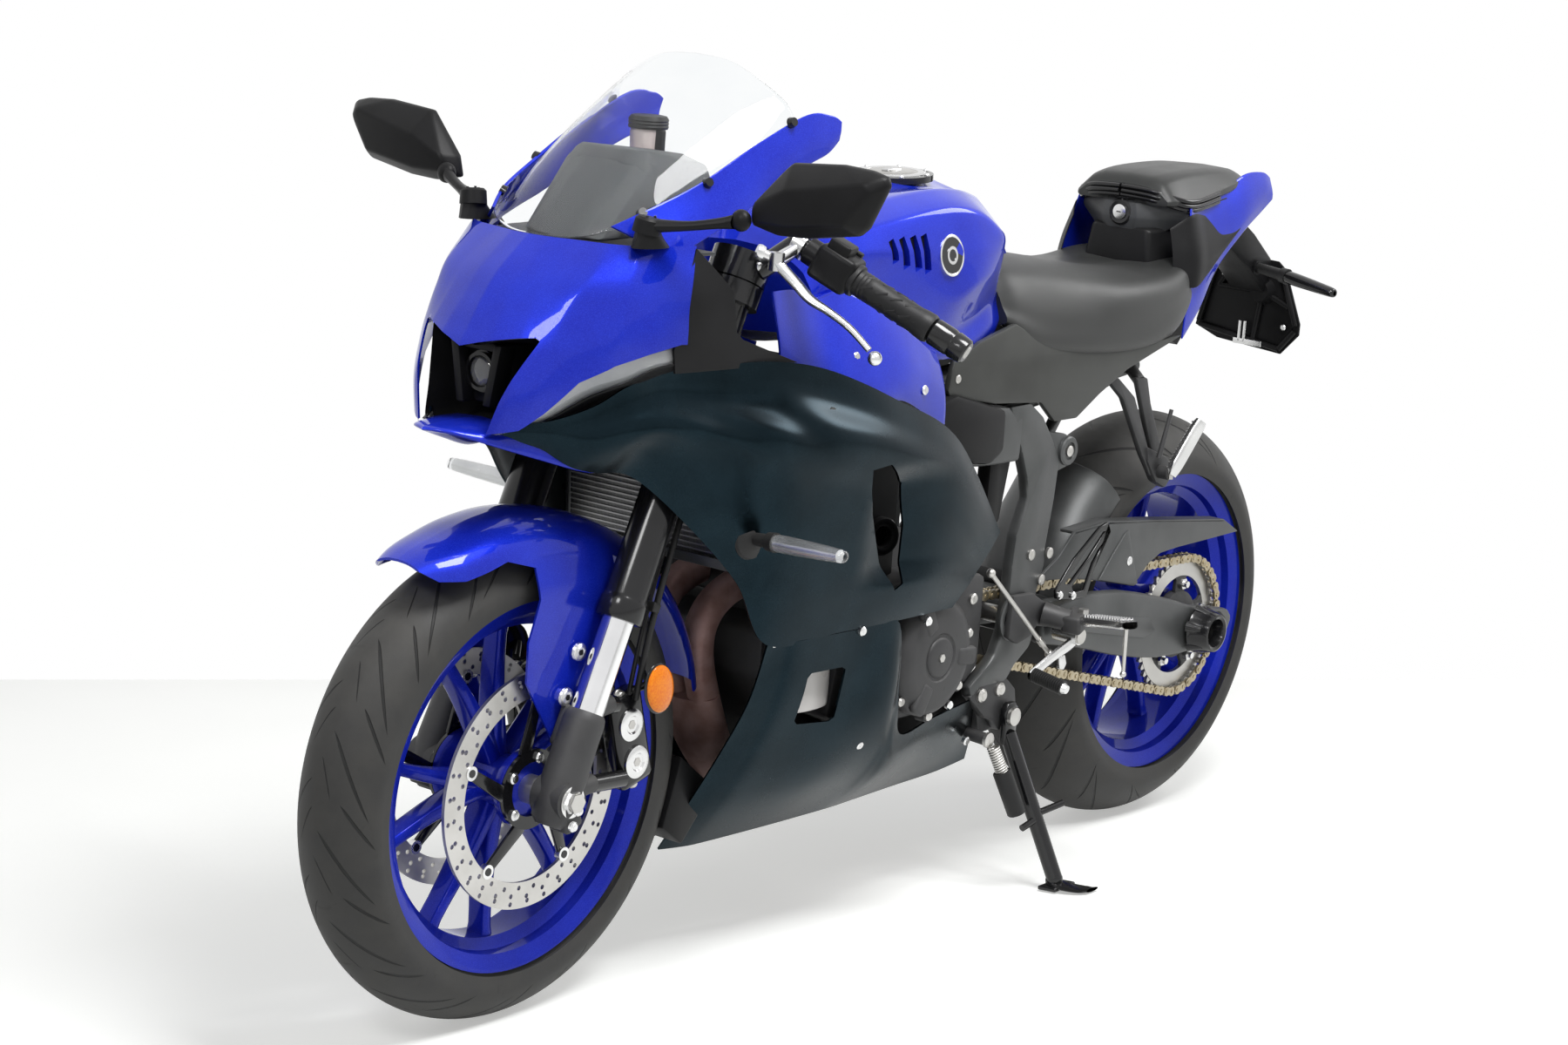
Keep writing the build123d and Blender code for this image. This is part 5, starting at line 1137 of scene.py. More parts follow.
fender = {"angles": [(57, 349, 0.7), (62, 345, 0.86), (68, 340, 0.95), (78, 337, 1), (90, 336, 1),
                     (104, 336, 1), (118, 336, 1), (132, 336, 0.99), (146, 336, 0.97), (158, 337, 0.93),
                     (166, 338, 0.88)],
          "half": [(0, 0), (24, -1.5), (46, -7), (62, -19), (71, -36), (76, -62), (80, -92), (79, -146),
                   (76.5, -206), (73.8, -272)],
          "leg": [(1284, 578), (1281, 560), (1301, 525), (1318, 470), (1338, 400), (1354, 364), (1364, 357),
                  (1378, 364), (1420, 424), (1430, 440), (1433, 490), (1417, 541), (1424, 580)]}
form = bmesh.new()
axle = Vector(bike["frontAxle"])
lines = []
for angle, radius, narrow in fender["angles"]:
    out = Vector((cos(radians(angle)), 0, sin(radians(angle))))
    lines.append([axle + out * (radius + low) + Vector((0, y * narrow, 0)) for y, low in fender["half"]])
addSheet(form, lines, along=64, across=48)
frontFender = makePiece("frontFender", form, "steering", "bluePaint", "brightMetal", cad=["front_fender"],
                        pair=True, wall=panelWall)
keep = [(axle.x + r * cos(radians(a)), axle.z + r * sin(radians(a))) for a, r in
        [(166, 306), (166, 350), (150, 360), (130, 360), (110, 360), (90, 360), (75, 362), (63, 365),
         (58.5, 352), (57.6, 340), (59, 322), (64, 306)]]
keep += [(axle.x + 301 * cos(radians(a)), axle.z + 301 * sin(radians(a))) for a in (70, 76)]
keep += list(reversed(fender["leg"]))
keep += [(axle.x + r * cos(radians(a)), axle.z + r * sin(radians(a))) for a, r in [(118, 300), (130, 301),
    (142, 302), (154, 304)]]
shape = bmesh.new()
addPlate(shape, keep, -120, 120)
carve(frontFender, shape, "INTERSECT", sharp=50)
soften(frontFender, 1.2)
form = bmesh.new()
for x, z in ((1333, 468), (1352, 415)):
    addSpin(form, [(-10, 0), (-10, 9), (0, 9), (2, 12), (5, 11), (6, 7), (6, 0)], (x + 14, 80, z), steps=32,
            closed=False)
    addRod(form, (x + 14, 84, z), (x + 14, 86.6, z), 4, sides=6, tag=1)
makePiece("fenderBolts", form, "steering", "brightMetal", "glossBlack", pair=True, sharp=40)

caliper = {"at": (1252, 345), "lean": 16}
form = bmesh.new()
at = Vector((caliper["at"][0], 0, caliper["at"][1]))
for y, thick in ((82.5, 29), (46, 16)):
    addBlock(form, (at.x, y, at.z), (58, thick, 126), turn=(0, caliper["lean"], 0), round=9)
addBlock(form, (at.x - 22, 62, at.z - 2), (16, 44, 110), turn=(0, caliper["lean"], 0), round=5)
for along in (-30, 22):
    slant = Vector((sin(radians(caliper["lean"])), 0, cos(radians(caliper["lean"]))))
    spot = at + slant * along + Vector((2, 97, 0))
    addSpin(form, [(-12, 0), (2.5, 0), (2.5, 10), (4.5, 12), (4.5, 19), (3, 21), (-12, 21)], spot,
            steps=40, tag=1)
    addRod(form, spot + Vector((0, 1, 0)), spot + Vector((0, 3.2, 0)), 6, sides=6, tag=2)
for along in (-62, 60):
    spot = at + slant * along + Vector((4, 84, 0))
    addBolt(form, spot, Vector((0, 1, 0)), radius=7, height=8, tag=2)
addRod(form, (1290, 95, 396), (1334, 97, 398), 11)
addRod(form, (1268, 95, 298), (1340, 98, 303), 11)
makePiece("frontCalipers", form, "steering", "glossBlack", "brightMetal", "steel", cad=["front_calipers"],
          pair=True, sharp=38)

reflector = {"at": (1240, 124, 414), "size": (24, 31)}
form = bmesh.new()
spot, out = Vector(reflector["at"]), Vector((0.08, 1, 0.02)).normalized()
wide, high = reflector["size"]
made = addBall(form, (0, 0, 0), 1, scale=(wide, 6, high))
made += addBall(form, (0, -3, 0), 1, scale=(wide + 2, 5, high + 2.5), tag=1)
bmesh.ops.transform(form, matrix=Matrix.Translation(spot) @ Matrix.Rotation(radians(16), 4, "Y"),
                    verts=made)
addRod(form, spot + Vector((0, -8, 8)), (1262, 98, 410), 5, sides=16, tag=1)
makePiece("reflectors", form, "steering", "amberLens", "glossBlack", pair=True)
form = bmesh.new()
for y in (112, 100):   # brake line and sensor lead along the left leg
    addPipe(form, [(1262, y - 8, 400), (1262, y, 450), (1246, y + 2, 520), (1216, y, 600),
                   (1184, y - 4, 680), (1160, y - 12, 730)], 4.2 if y > 105 else 3)
addBlock(form, (1250, 104, 516), (14, 30, 12), turn=(0, -24, 0), round=2)
makePiece("brakeLines", form, "steering", "gripRubber", outward=False)
print("fork made")

# bars, levers and mirrors
bars = {"inner": Vector((1085, 165, 961)), "outer": Vector((1029, 352, 869)), "radius": 11, "clampAt": 664}
barWay = (bars["outer"] - bars["inner"]).normalized()
barLength = (bars["outer"] - bars["inner"]).length


def alongBar(share):
    return bars["inner"] + barWay * (barLength * share)


form = bmesh.new()
ribs = [(0, 12), (0, 20), (3, 21), (7, 20.5), (8, 17)]
for i in range(3):
    ribs += [(11 + i * 5, 17), (13 + i * 5, 16.4), (14 + i * 5, 17)]
ribs += [(30, 16.6), (60, 16.2), (94, 16.8), (101, 18), (113, 18.6), (117, 17), (117, 12)]
addSpin(form, ribs, alongBar(0.385), steps=40, axis=barWay)
for i in range(6):   # raised diagonal pads
    turn = radians(60 * i)
    side = barWay.cross(Vector((0, 0, 1))).normalized()
    up = side.cross(barWay)
    for k in range(5):
        a, b = turn + k * 0.25, turn + k * 0.25 + 0.5
        start, stop = alongBar(0.47 + 0.09 * k), alongBar(0.53 + 0.09 * k)
        addRod(form, start + (side * cos(a) + up * sin(a)) * 15.8,
               stop + (side * cos(b) + up * sin(b)) * 15.8, 2, sides=8)
makePiece("grips", form, "steering", "gripRubber", cad=["grips"], pair=True, sharp=44)
form = bmesh.new()
addSpin(form, [(0, 11), (0, 15.5), (2, 17), (26, 17), (28, 16.2), (30, 16.2), (32, 17.2), (48, 15.6),
               (50, 13), (50, 0)], alongBar(0.935), steps=40, axis=barWay, closed=False)
addSpin(form, [(49, 0), (50.6, 0), (50.6, 8), (49, 9)], alongBar(0.935), steps=32, axis=barWay, tag=1)
makePiece("barWeights", form, "steering", "glossBlack", "steel", cad=["bar_weights"], pair=True)
form = bmesh.new()
turnPod = facing(alongBar(0.27), barWay, side=(0, 0, 1))
for size, shiftBy, roundBy, tag in (((44, 46, 54), (0, 0, 0), 7, 0), ((30, 18, 30), (-4, 26, -4), 3, 0),
        ((8, 24, 40), (24, 0, 2), 2, 0), ((6, 14, 9), (28, 6, 10), 1, 1), ((6, 12, 7), (28, -7, -8), 1, 2),
                                    ((10, 10, 12), (22, 22, 10), 2, 0)):
    block = bmesh.new()
    addBlock(block, shiftBy, size, round=roundBy, tag=tag)
    block.transform(turnPod)
    addForm(form, block)
addSpin(form, [(-12, 12), (-12, 17), (12, 17), (12, 12)], alongBar(0.13), steps=32, axis=barWay)
makePiece("switchPods", form, "steering", "matteBlack", "brightMetal", "glossBlack", cad=["bar_controls"],
          pair=True)
leverPath = {"centre": [(1128, 168, 940), (1119, 192, 918), (1115, 214, 900), (1108, 238, 888),
                        (1098, 264, 871), (1091, 290, 848)],
             "wide": [10, 10, 9, 7, 6, 4.5], "thick": [7, 7, 6, 5, 4.5, 4]}
form = bmesh.new()
rings = []
for i, spot in enumerate(leverPath["centre"]):
    ahead = (Vector(leverPath["centre"][min(i + 1, 5)])
             - Vector(leverPath["centre"][max(i - 1, 0)])).normalized()
    side = ahead.cross(Vector((0, 0, 1))).normalized()
    up = side.cross(ahead)
    rings.append([Vector(spot) + side * leverPath["wide"][i] * cos(a) + up * leverPath["thick"][i] * sin(a)
                  for a in (radians(t) for t in range(0, 360, 45))])
addSheet(form, rings, along=30, across=24, closed=True)
closeEnds(form)
addBall(form, (1089, 298, 839), 9)
addRod(form, (1128, 168, 930), (1128, 168, 952), 10)
addSpin(form, [(-8, 12), (-8, 17), (8, 17), (8, 12)], alongBar(0.02), steps=32, axis=barWay)
addRod(form, alongBar(0.03) + Vector((4, 0, 0)), (1126, 166, 942), 8, sides=20)
addRod(form, (1128, 164, 944), (1144, 150, 952), 6, sides=20)
addSpin(form, [(0, 0), (0, 9), (5, 10), (9, 9), (9, 0)], (1138, 155, 949), steps=24, axis=(1, -0.9, 0.5),
        closed=False)
makePiece("handLevers", form, "steering", "brightMetal", pair=True, sharp=44)
reservoir = {"at": (1070, -100, 1058)}
form = bmesh.new()
spot = Vector(reservoir["at"])
addSpin(form, [(-22, 0), (-22, 18), (-18, 22), (10, 23), (14, 22), (14, 0)], spot, steps=40, axis=(0, 0, 1),
        closed=False)
addSpin(form, [(14, 0), (14, 25), (17, 26)] + [(17 + i * 2, 26 - (i % 2)) for i in range(6)] + [(30, 23),
    (31, 18), (31, 0)], spot, steps=40, axis=(0, 0, 1), tag=1, closed=False)
addRod(form, spot + Vector((0, 0, -20)), (1066, -194, 955), 5, sides=12, tag=1)
addBlock(form, spot + Vector((4, 22, -6)), (10, 16, 40), round=2, tag=1)
makePiece("brakeReservoir", form, "steering", "clearPot", "matteBlack", sharp=40)

mirror = {"outline": [(243, 1026), (290, 1078), (363, 1084), (404, 1082), (425, 1077), (429, 1067),
                      (404, 1016), (392, 1006), (321, 994), (276, 992), (236, 1000)],
          "front": [(1287, 252, 1026), (1292, 300, 1048), (1284, 408, 1068), (1282, 416, 1058),
                    (1288, 300, 1006), (1286, 384, 1018), (1284, 252, 1006)],
          "arm": [(1340, 132, 990, 12, 9), (1334, 152, 991, 13, 8), (1316, 184, 994, 9, 6),
                  (1300, 214, 1000, 8.5, 6.5), (1290, 232, 1004, 9, 9)],
          "foot": [(990, 16, 12, 0), (978, 20, 14, 2), (964, 30, 16, 8)]}
form = bmesh.new()
addHull(form, [(1256, y, z) for y, z in mirror["outline"]] + [(1266, y, z) for y, z in mirror["outline"]]
        + mirror["front"], round=3.5)
addHull(form, [(x, 333 + (y - 333) * 0.93, 1038 + (z - 1038) * 0.9) for x in (1254.6, 1257)
               for y, z in mirror["outline"]], round=0, tag=1)
addBall(form, (1287, 238, 1006), 13, scale=(0.8, 1, 1))
rings = [[(x + a * cos(radians(t)), y, z + b * sin(radians(t))) for t in range(0, 360, 45)]
         for x, y, z, a, b in mirror["arm"]]
addSheet(form, rings, along=30, across=24, closed=True)
addSpin(form, [(-12, 0), (-12, 17), (4, 16), (7, 13), (7.5, 5), (7, 0)], (1338, 141, 993), steps=40,
        axis=(-0.1, 0.15, 1), closed=False)
for i in range(3):
    turn = radians(120 * i + 30)
    addRod(form, (1338 + 8 * cos(turn), 141 + 8 * sin(turn), 998),
           (1338 + 8 * cos(turn), 141 + 8 * sin(turn), 1002), 1.6, sides=10, tag=2)
rings = [[(1338 + a * cos(radians(t)) - lean, 141 + b * sin(radians(t)) - lean * 0.2, z)
          for t in range(0, 360, 45)] for z, a, b, lean in mirror["foot"]]
addSheet(form, rings, along=10, across=24, closed=True)
makePiece("mirrors", form, "chassis", "matteBlack", "mirrorGlass", "glossBlack", cad=["mirrors"], pair=True,
          sharp=34)
print("bars and mirrors made")

# swingarm, chain and rear brake
arm = {"outline": [(-97, 296), (-108, 318), (-94, 333), (8, 351), (80, 372), (151, 389), (215, 402),
                   (300, 410), (372, 406), (424, 400), (424, 352), (360, 340),
                   (305, 327), (230, 307), (159, 292), (100, 283), (33, 280), (-64, 281), (-90, 286)],
       "outer": 140, "inner": 117}
form = bmesh.new()
addPlate(form, arm["outline"], arm["inner"], arm["outer"], round=6)
addPlate(form, [(20, 336), (-66, 333), (-82, 322), (-84, 296), (-70, 288), (18, 291), (26, 312)], 138, 143,
         round=1.5, tag=1)
addPlate(form, [(140, 352), (300, 378), (400, 384), (400, 368), (300, 352), (150, 322), (120, 330)], 139,
         141.5, round=1.2)
makePiece("swingarmSides", form, "chassis", "castGrey", "matteBlack", cad=["swingarm"], pair=True, sharp=40)
form = bmesh.new()
addPlate(form, [(345, 350), (345, 404), (372, 406), (420, 404), (420, 354)], -118, 118, round=8)
addPlate(form, [(400, 374), (400, 412), (500, 423), (522, 418), (524, 386), (500, 380)], -86, 86, round=6)
makePiece("swingarmBridge", form, "chassis", "castGrey", sharp=40)
form = bmesh.new()
addRod(form, (0, -156, 315), (0, 156, 315), 12.4, sides=32)
for side in (1, -1):
    addRod(form, (0, side * 140, 315), (0, side * 150, 315), 19, sides=6)
    addRod(form, (0, side * 138, 315), (0, side * 142, 315), 21, sides=40)
    addRod(form, (0, side * 156, 315), (0, side * 160, 315), 9, 7, sides=32)
for side in (1, -1):
    addRod(form, (0, side * 66, 315), (0, side * 115.5, 315), 18, sides=32)
makePiece("rearAxleShaft", form, "chassis", "steel", cad=["rear_axle"], sharp=40)
form = bmesh.new()
addSpin(form, [(143, 14), (143, 34), (146, 36), (150, 34), (170, 31), (177, 29), (178, 26), (176, 22),
               (164, 18), (152, 16)], (0, 0, 315), steps=48)
for i in range(6):
    out = wheelPoint((0, 0, 315), 32, 60 * i + 15, 0)
    addRod(form, (out[0], 143, out[2]), (out[0] * 0.86, 166, 315 + (out[2] - 315) * 0.86), 9, 5, sides=20)
makePiece("axleBobbins", form, "chassis", "glossBlack", pair=True, sharp=40)
form = bmesh.new()
addRod(form, (500, -142, 402), (500, 142, 402), 12.4, sides=32)
for side in (1, -1):
    addSpin(form, [(138.5, 9), (145, 9), (145, 19), (142, 22), (138.5, 22)], (500, 0, 402), steps=40,
            axis=(0, side, 0), tag=1)
makePiece("swingBolt", form, "chassis", "steel", "glossBlack", cad=["swing_bolt"], sharp=40)

teeth, plate = 43, {"y": 101.5, "half": 3.4, "ring": 99}
form = bmesh.new()
hub = Vector(bike["rearAxle"])
addSpin(form, [(plate["y"] - plate["half"], 76), (plate["y"] - plate["half"], plate["ring"]),
               (plate["y"] + plate["half"], plate["ring"]),
               (plate["y"] + plate["half"], 76)], hub, steps=86)
for i in range(teeth):
    a = 360 / teeth * i
    corners = [wheelPoint(hub, r, a + da, 0) for r, da in ((98, -3.4), (103, -2.0), (106.5, -0.9),
        (106.5, 0.9), (103, 2.0), (98, 3.4))]
    addPlate(form, [(c[0], c[2]) for c in corners], plate["y"] - 2.6, plate["y"] + 2.6)
for i in range(5):
    a = 72 * i + 20
    corners = [wheelPoint(hub, r, a + da, 0) for r, da in ((46, -17), (60, -13), (70, -11), (79, -14),
        (79, 14), (70, 11), (60, 13), (46, 17))]
    addPlate(form, [(c[0], c[2]) for c in corners], plate["y"] - 3.2, plate["y"] + 3.2, round=1, tag=1)
    spot = wheelPoint(hub, 64, a, plate["y"] + 3.2)
    addRod(form, spot, (spot[0], spot[1] + 7, spot[2]), 9, sides=6, tag=2)
    addRod(form, spot, (spot[0], spot[1] + 13, spot[2]), 5, sides=20, tag=2)
addSpin(form, [(plate["y"] - 8, 26), (plate["y"] - 8, 52), (plate["y"] + 4, 52), (plate["y"] + 8, 44),
               (plate["y"] + 8, 26)], hub, tag=1)
makePiece("rearSprocket", form, "rear_wheel", "steel", "castDark", "brightMetal", cad=["rear_sprocket"])

chain = {"y": 105, "pitch": 15.875, "big": 104.5, "small": 39.5, "front": (590, 395), "plate": 7.3,
         "waist": 5.2}
reach = Vector((chain["front"][0] - hub.x, chain["front"][1] - hub.z))
tilt = atan2(reach.y, reach.x)
wrap = pi / 2 + (chain["big"] - chain["small"]) / reach.length * -1
run = sqrt(reach.length ** 2 - (chain["big"] - chain["small"]) ** 2)
chainLength = 2 * run + chain["big"] * (2 * pi - 2 * wrap) + chain["small"] * 2 * wrap
linkCount = round(chainLength / chain["pitch"] / 2) * 2


def chainPoint(i):
    # a pin of the chain: over the rear sprocket, along the lower run, round the front one and back
    s = (i % linkCount) * chainLength / linkCount
    bigArc, smallArc = chain["big"] * (2 * pi - 2 * wrap), chain["small"] * 2 * wrap
    on = lambda centre, radius, turn: Vector((centre[0] + radius * cos(turn), 0,
        centre[1] + radius * sin(turn)))
    back, ahead = (hub.x, hub.z), chain["front"]
    if s < bigArc:
        return on(back, chain["big"], tilt + wrap + s / chain["big"])
    s -= bigArc
    if s < run:
        return on(back, chain["big"], tilt - wrap).lerp(on(ahead, chain["small"], tilt - wrap), s / run)
    s -= run
    if s < smallArc:
        return on(ahead, chain["small"], tilt - wrap + s / chain["small"])
    s -= smallArc
    return on(ahead, chain["small"], tilt + wrap).lerp(on(back, chain["big"], tilt + wrap), min(s / run, 1))


def addLink(form, start, stop, y, outward):
    # a figure-of-eight side plate between two pins
    way = (stop - start).normalized()
    side = Vector((-way.z, 0, way.x))
    middle = (start + stop) / 2
    length = (stop - start).length / 2
    shape = [(length + chain["plate"] * cos(t), chain["plate"] * sin(t))
             for t in (radians(a) for a in (-100, -50, 0, 50, 100))]
    shape += [(0, chain["waist"])] + [(-x, z) for x, z in reversed(shape)] + [(0, -chain["waist"])]
    corners = [middle + way * u + side * v for u, v in shape]
    addPlate(form, [(c.x, c.z) for c in corners], y, y + outward * 2)


form = bmesh.new()
for i in range(linkCount):
    here, after = chainPoint(i), chainPoint(i + 1)
    for side in (1, -1):
        addLink(form, here, after, chain["y"] + side * (7.4 if i % 2 else 5), side)
    addRod(form, here + Vector((0, chain["y"] - 10.4, 0)), here + Vector((0, chain["y"] + 10.4, 0)), 2.9,
           sides=10)
    addRod(form, here + Vector((0, chain["y"] - 5, 0)), here + Vector((0, chain["y"] + 5, 0)), 5,
           sides=12, tag=1)
makePiece("driveChain", form, "chassis", "chainSteel", "steel", cad=["drive_chain"], sharp=40)
form = bmesh.new()
for i in range(16):
    a = 360 / 16 * i
    corners = [wheelPoint((590, 0, 395), r, a + da, 0) for r, da in ((30, -8), (37, -5), (41, -2), (41, 2),
        (37, 5), (30, 8))]
    addPlate(form, [(c[0], c[2]) for c in corners], 102, 108)
addSpin(form, [(102, 10), (102, 33), (108, 33), (108, 10)], (590, 0, 395), steps=48)
addRod(form, (590, 90, 395), (590, 118, 395), 15, sides=32)
makePiece("frontSprocket", form, "chassis", "steel")

form = bmesh.new()
guardOutline = [(330, 502), (243, 507), (100, 493), (-89, 472), (-137, 447), (-60, 445), (40, 443),
                (89, 440), (122, 427), (142, 410), (158, 398), (262, 420),
                (330, 432), (420, 440), (368, 468)]
addPlate(form, guardOutline, 113.5, 119, round=2)
addPlate(form, [(330, 502), (243, 507), (100, 493), (-89, 472), (-89, 467), (100, 488), (243, 501),
                (330, 497)], 92, 119, round=1.5)
addPlate(form, [(226, 455), (196, 484), (188, 488), (150, 402), (160, 399), (258, 421)], 117, 121.5,
         round=1.6)
addBolt(form, (180, 120, 440), (0, 1, 0), radius=7, tag=1)
addBolt(form, (424, 116, 486), (0, 1, 0), tag=1)
makePiece("chainGuard", form, "chassis", "castGrey", "brightMetal", cad=["chain_guard"], sharp=40)
form = bmesh.new()
lines = []
for turn in (9, 16, 24, 32, 40, 48, 52):
    out = Vector((cos(radians(turn)), 0, sin(radians(turn))))
    reachOut = 330 if turn < 46 else 332
    half = [(0, 0), (30, -4), (58, -14), (78, -30), (88, -52), (90, -66)]
    narrow = 1 if turn < 40 else 0.96
    line = [hub + out * (reachOut + low) + Vector((0, y * narrow, 0)) for y, low in half]
    lines.append([Vector((p.x, -p.y, p.z)) for p in reversed(line[1:])] + line)
addSheet(form, lines, along=30, across=40)
makePiece("rearHugger", form, "chassis", "castGrey", cad=["rear_hugger"], wall=panelWall, bevel=1, sharp=50)
form = bmesh.new()
addPlate(form, [(338, 368), (338, 404), (318, 420), (306, 400), (318, 372)], -54, 54, round=4)
makePiece("huggerMount", form, "chassis", "matteBlack", sharp=40)
form = bmesh.new()
for y, thick in ((-94, 24), (-62, 15)):
    addBlock(form, (86, y, 388), (72, thick, 56), turn=(0, 12, 0), round=8)
addBlock(form, (88, -78, 408), (60, 26, 18), turn=(0, 12, 0), round=4)
addPlate(form, [(120, 392), (44, 366), (26, 338), (-20, 336), (-20, 300), (30, 296), (70, 330), (130, 362)],
         -114, -108, round=2)
for x in (66, 106):
    addBolt(form, (x, -106, 390), (0, -1, 0), radius=7, height=5, tag=1)
addRod(form, (86, -104, 388), (86, -108, 388), 16, sides=32, tag=1)
makePiece("rearCaliper", form, "chassis", "glossBlack", "brightMetal", cad=["rear_caliper"], sharp=40)
print("rear end made")

# frame, engine and exhaust


def beamRing(x, y, z, halfY, halfZ):
    # a cross section of the hollow frame beam
    return [(x, y + halfY * squarish(cos(t), 0.5), z + halfZ * squarish(sin(t), 0.5))
            for t in (radians(22.5 + 45 * i) for i in range(8))]


frameBeam = [(1112, 26, 800, 16, 44), (1062, 52, 770, 15, 50), (990, 104, 732, 14, 50),
             (800, 120, 700, 14, 50), (620, 124, 672, 13, 44), (520, 126, 664, 12, 38)]
frameSide = [(548, 706), (540, 688), (512, 640), (492, 598), (486, 570), (496, 545), (508, 520), (512, 476),
             (513, 430), (519, 385), (534, 352), (560, 334), (592, 314),
             (584, 296), (548, 294), (512, 300), (484, 330), (450, 352), (436, 384), (444, 402), (446, 425),
             (430, 470), (432, 490), (420, 560), (415, 618), (436, 650),
             (466, 686), (500, 708)]
form = bmesh.new()
addSheet(form, [beamRing(*station) for station in frameBeam], along=30, across=24, closed=True)
closeEnds(form)
addPlate(form, frameSide, 118, 137.5, round=5)
addPlate(form, [(444, 662), (398, 654), (377, 640), (374, 622), (390, 606), (420, 600), (430, 630)], 120,
         134, round=4)
addSpin(form, [(120, 0), (120, 22), (138, 21), (140, 19), (140, 13), (137, 12), (137, 0)], (396, 0, 630),
        steps=40, closed=False)
addSpin(form, [(136, 23), (136, 33), (139.5, 33), (141, 31), (141, 25), (139.5, 23)], (500, 0, 402),
        steps=48)
for x, z in ((470, 489), (439, 449), (424, 486), (396, 630)):
    addBolt(form, (x, 138, z), (0, 1, 0), radius=8, tag=1)
addRod(form, (520, 88, 690), (170, 88, 730), 13)
addRod(form, (440, 120, 640), (330, 92, 716), 9)
for point, reachIn in (((870, 705), 196), ((1040, 752), 204)):
    addRod(form, (point[0], 100, point[1]), (point[0], reachIn, point[1]), 8)
makePiece("mainFrame", form, "chassis", "castGrey", "steel", cad=["main_frame"], pair=True, sharp=40)
form = bmesh.new()
stem = Vector((1360, 0, 284.6))
addSpin(form, [(510, 17), (510, 31), (516, 33), (540, 30), (600, 30), (620, 33), (628, 31), (628, 17)],
        stem, steps=40, axis=steerUp)
for z, x, radius in ((690, 500, 16), (250, 490, 14)):
    addRod(form, (x, -117, z), (x, 117, z), radius)
addPlate(form, [(590, 300), (566, 314), (500, 314), (478, 296), (470, 262), (484, 240), (512, 240),
                (530, 258), (548, 264)], 124, 138, round=3)
addPlate(form, [(560, 300), (470, 300), (462, 240), (540, 236)], -124, 124, round=4)
for x, z in ((564, 300), (520, 302)):
    addBolt(form, (x, 138, z), (0, 1, 0), radius=10, height=6, tag=1)
addRod(form, (560, 118, 240), (560, 156, 238), 9)
addBolt(form, (560, 154, 238), (0, 1, 0), radius=11, height=5, tag=1)
makePiece("frameCastings", form, "chassis", "castDark", "steel", sharp=40)

form = bmesh.new()
crank = [(560, 262), (548, 330), (575, 470), (640, 530), (760, 545), (1000, 440), (1000, 380), (930, 300),
         (870, 245), (620, 235)]
addPlate(form, crank, -106, 88, round=8)
addPlate(form, [(655, 300), (655, 480), (760, 500), (900, 470), (930, 330), (860, 300)], -148, 148, round=8)
addPlate(form, [(720, 500), (780, 640), (950, 610), (985, 500), (930, 380)], -96, 86, round=6)
for i in range(9):   # cooling ribs on the cylinder block
    addPlate(form, [(735 + i * 7, 522 + i * 12), (975 - i * 3, 470 + i * 13), (976 - i * 3, 475 + i * 13),
                    (736 + i * 7, 527 + i * 12)], -99, 89, round=1)
addPlate(form, [(560, 470), (560, 340), (590, 316), (640, 330), (668, 380), (660, 450), (620, 478)], 86,
         128, round=8)
for x, z in ((605, 381), (590, 440), (648, 352), (640, 455)):
    addBolt(form, (x, 128, z), (0, 1, 0), radius=8, height=5, tag=1)
addRod(form, (572, -113, 482), (572, 113, 482), 14)
makePiece("engineBlock", form, "chassis", "castDark", "steel", cad=["engine_block"], sharp=40)
form = bmesh.new()
genAt = (730, 0, 388)
addSpin(form, [(150, 0), (150, 84), (160, 84), (170, 80), (178, 70), (181, 58), (181, 34), (179, 32),
               (179, 28), (181, 27), (182.5, 24), (182.5, 0)], genAt, steps=72, closed=False)
addRod(form, (730, 181, 388), (730, 184.5, 388), 6, sides=6, tag=1)
for turn in (62, 186, 300):   # raised tabs round the cover
    spot = wheelPoint(genAt, 62, turn, 176)
    addBlock(form, spot, (44, 14, 26), turn=(0, -turn, 0), round=6)
for i in range(7):
    turn = 360 / 7 * i + 12
    spot = wheelPoint(genAt, 84, turn, 0)
    addRod(form, (spot[0], 150, spot[2]), (spot[0], 166, spot[2]), 9)
    addBolt(form, (spot[0], 166, spot[2]), (0, 1, 0), radius=6.5, height=5, tag=1)
addSpin(form, [(-150, 0), (-150, 84), (-166, 84), (-178, 74), (-182, 60), (-182, 0)], (725, 0, 388),
        closed=False)
for i in range(8):
    spot = wheelPoint((725, 0, 388), 80, 45 * i, 0)
    addBolt(form, (spot[0], -166, spot[2]), (0, -1, 0), radius=6.5, height=5, tag=1)
makePiece("engineCovers", form, "chassis", "castDark", "steel", cad=["engine_covers"], sharp=38)

form = bmesh.new()
for side in (1, -1):
    addPipe(form, [(962, side * 40, 505), (1010, side * 40, 500), (1060, side * 38, 470),
                   (1066, side * 32, 420), (1034, side * 24, 350), (1016, side * 20, 320)], 21, sides=20)
    addSpin(form, [(0, 20), (0, 33), (7, 33), (7, 20)], (962, side * 40, 505), steps=36,
            axis=(1, 0, -0.05), tag=1)
    for bend in (0.0, 1.0):
        addRod(form, (964, side * 40 + 40 * bend - 20, 488), (976, side * 40 + 40 * bend - 20, 488), 6,
               sides=6, tag=1)
rings = [[(x + a * cos(t) * 0.98, b * sin(t), z - a * cos(t) * 0.3) for t in turnsOf(12)] for x, z, a, b in
         ((1036, 352, 22, 50), (1014, 306, 26, 47), (986, 262, 30, 38), (950, 228, 32, 32),
          (900, 212, 30, 30), (860, 205, 28, 28), (820, 200, 26, 26))]
addSheet(form, rings, along=36, across=36, closed=True)
closeEnds(form)
addPipe(form, [(860, 0, 205), (740, 0, 192), (490, -40, 192), (430, -140, 210), (410, -176, 214)], 24,
        sides=20)
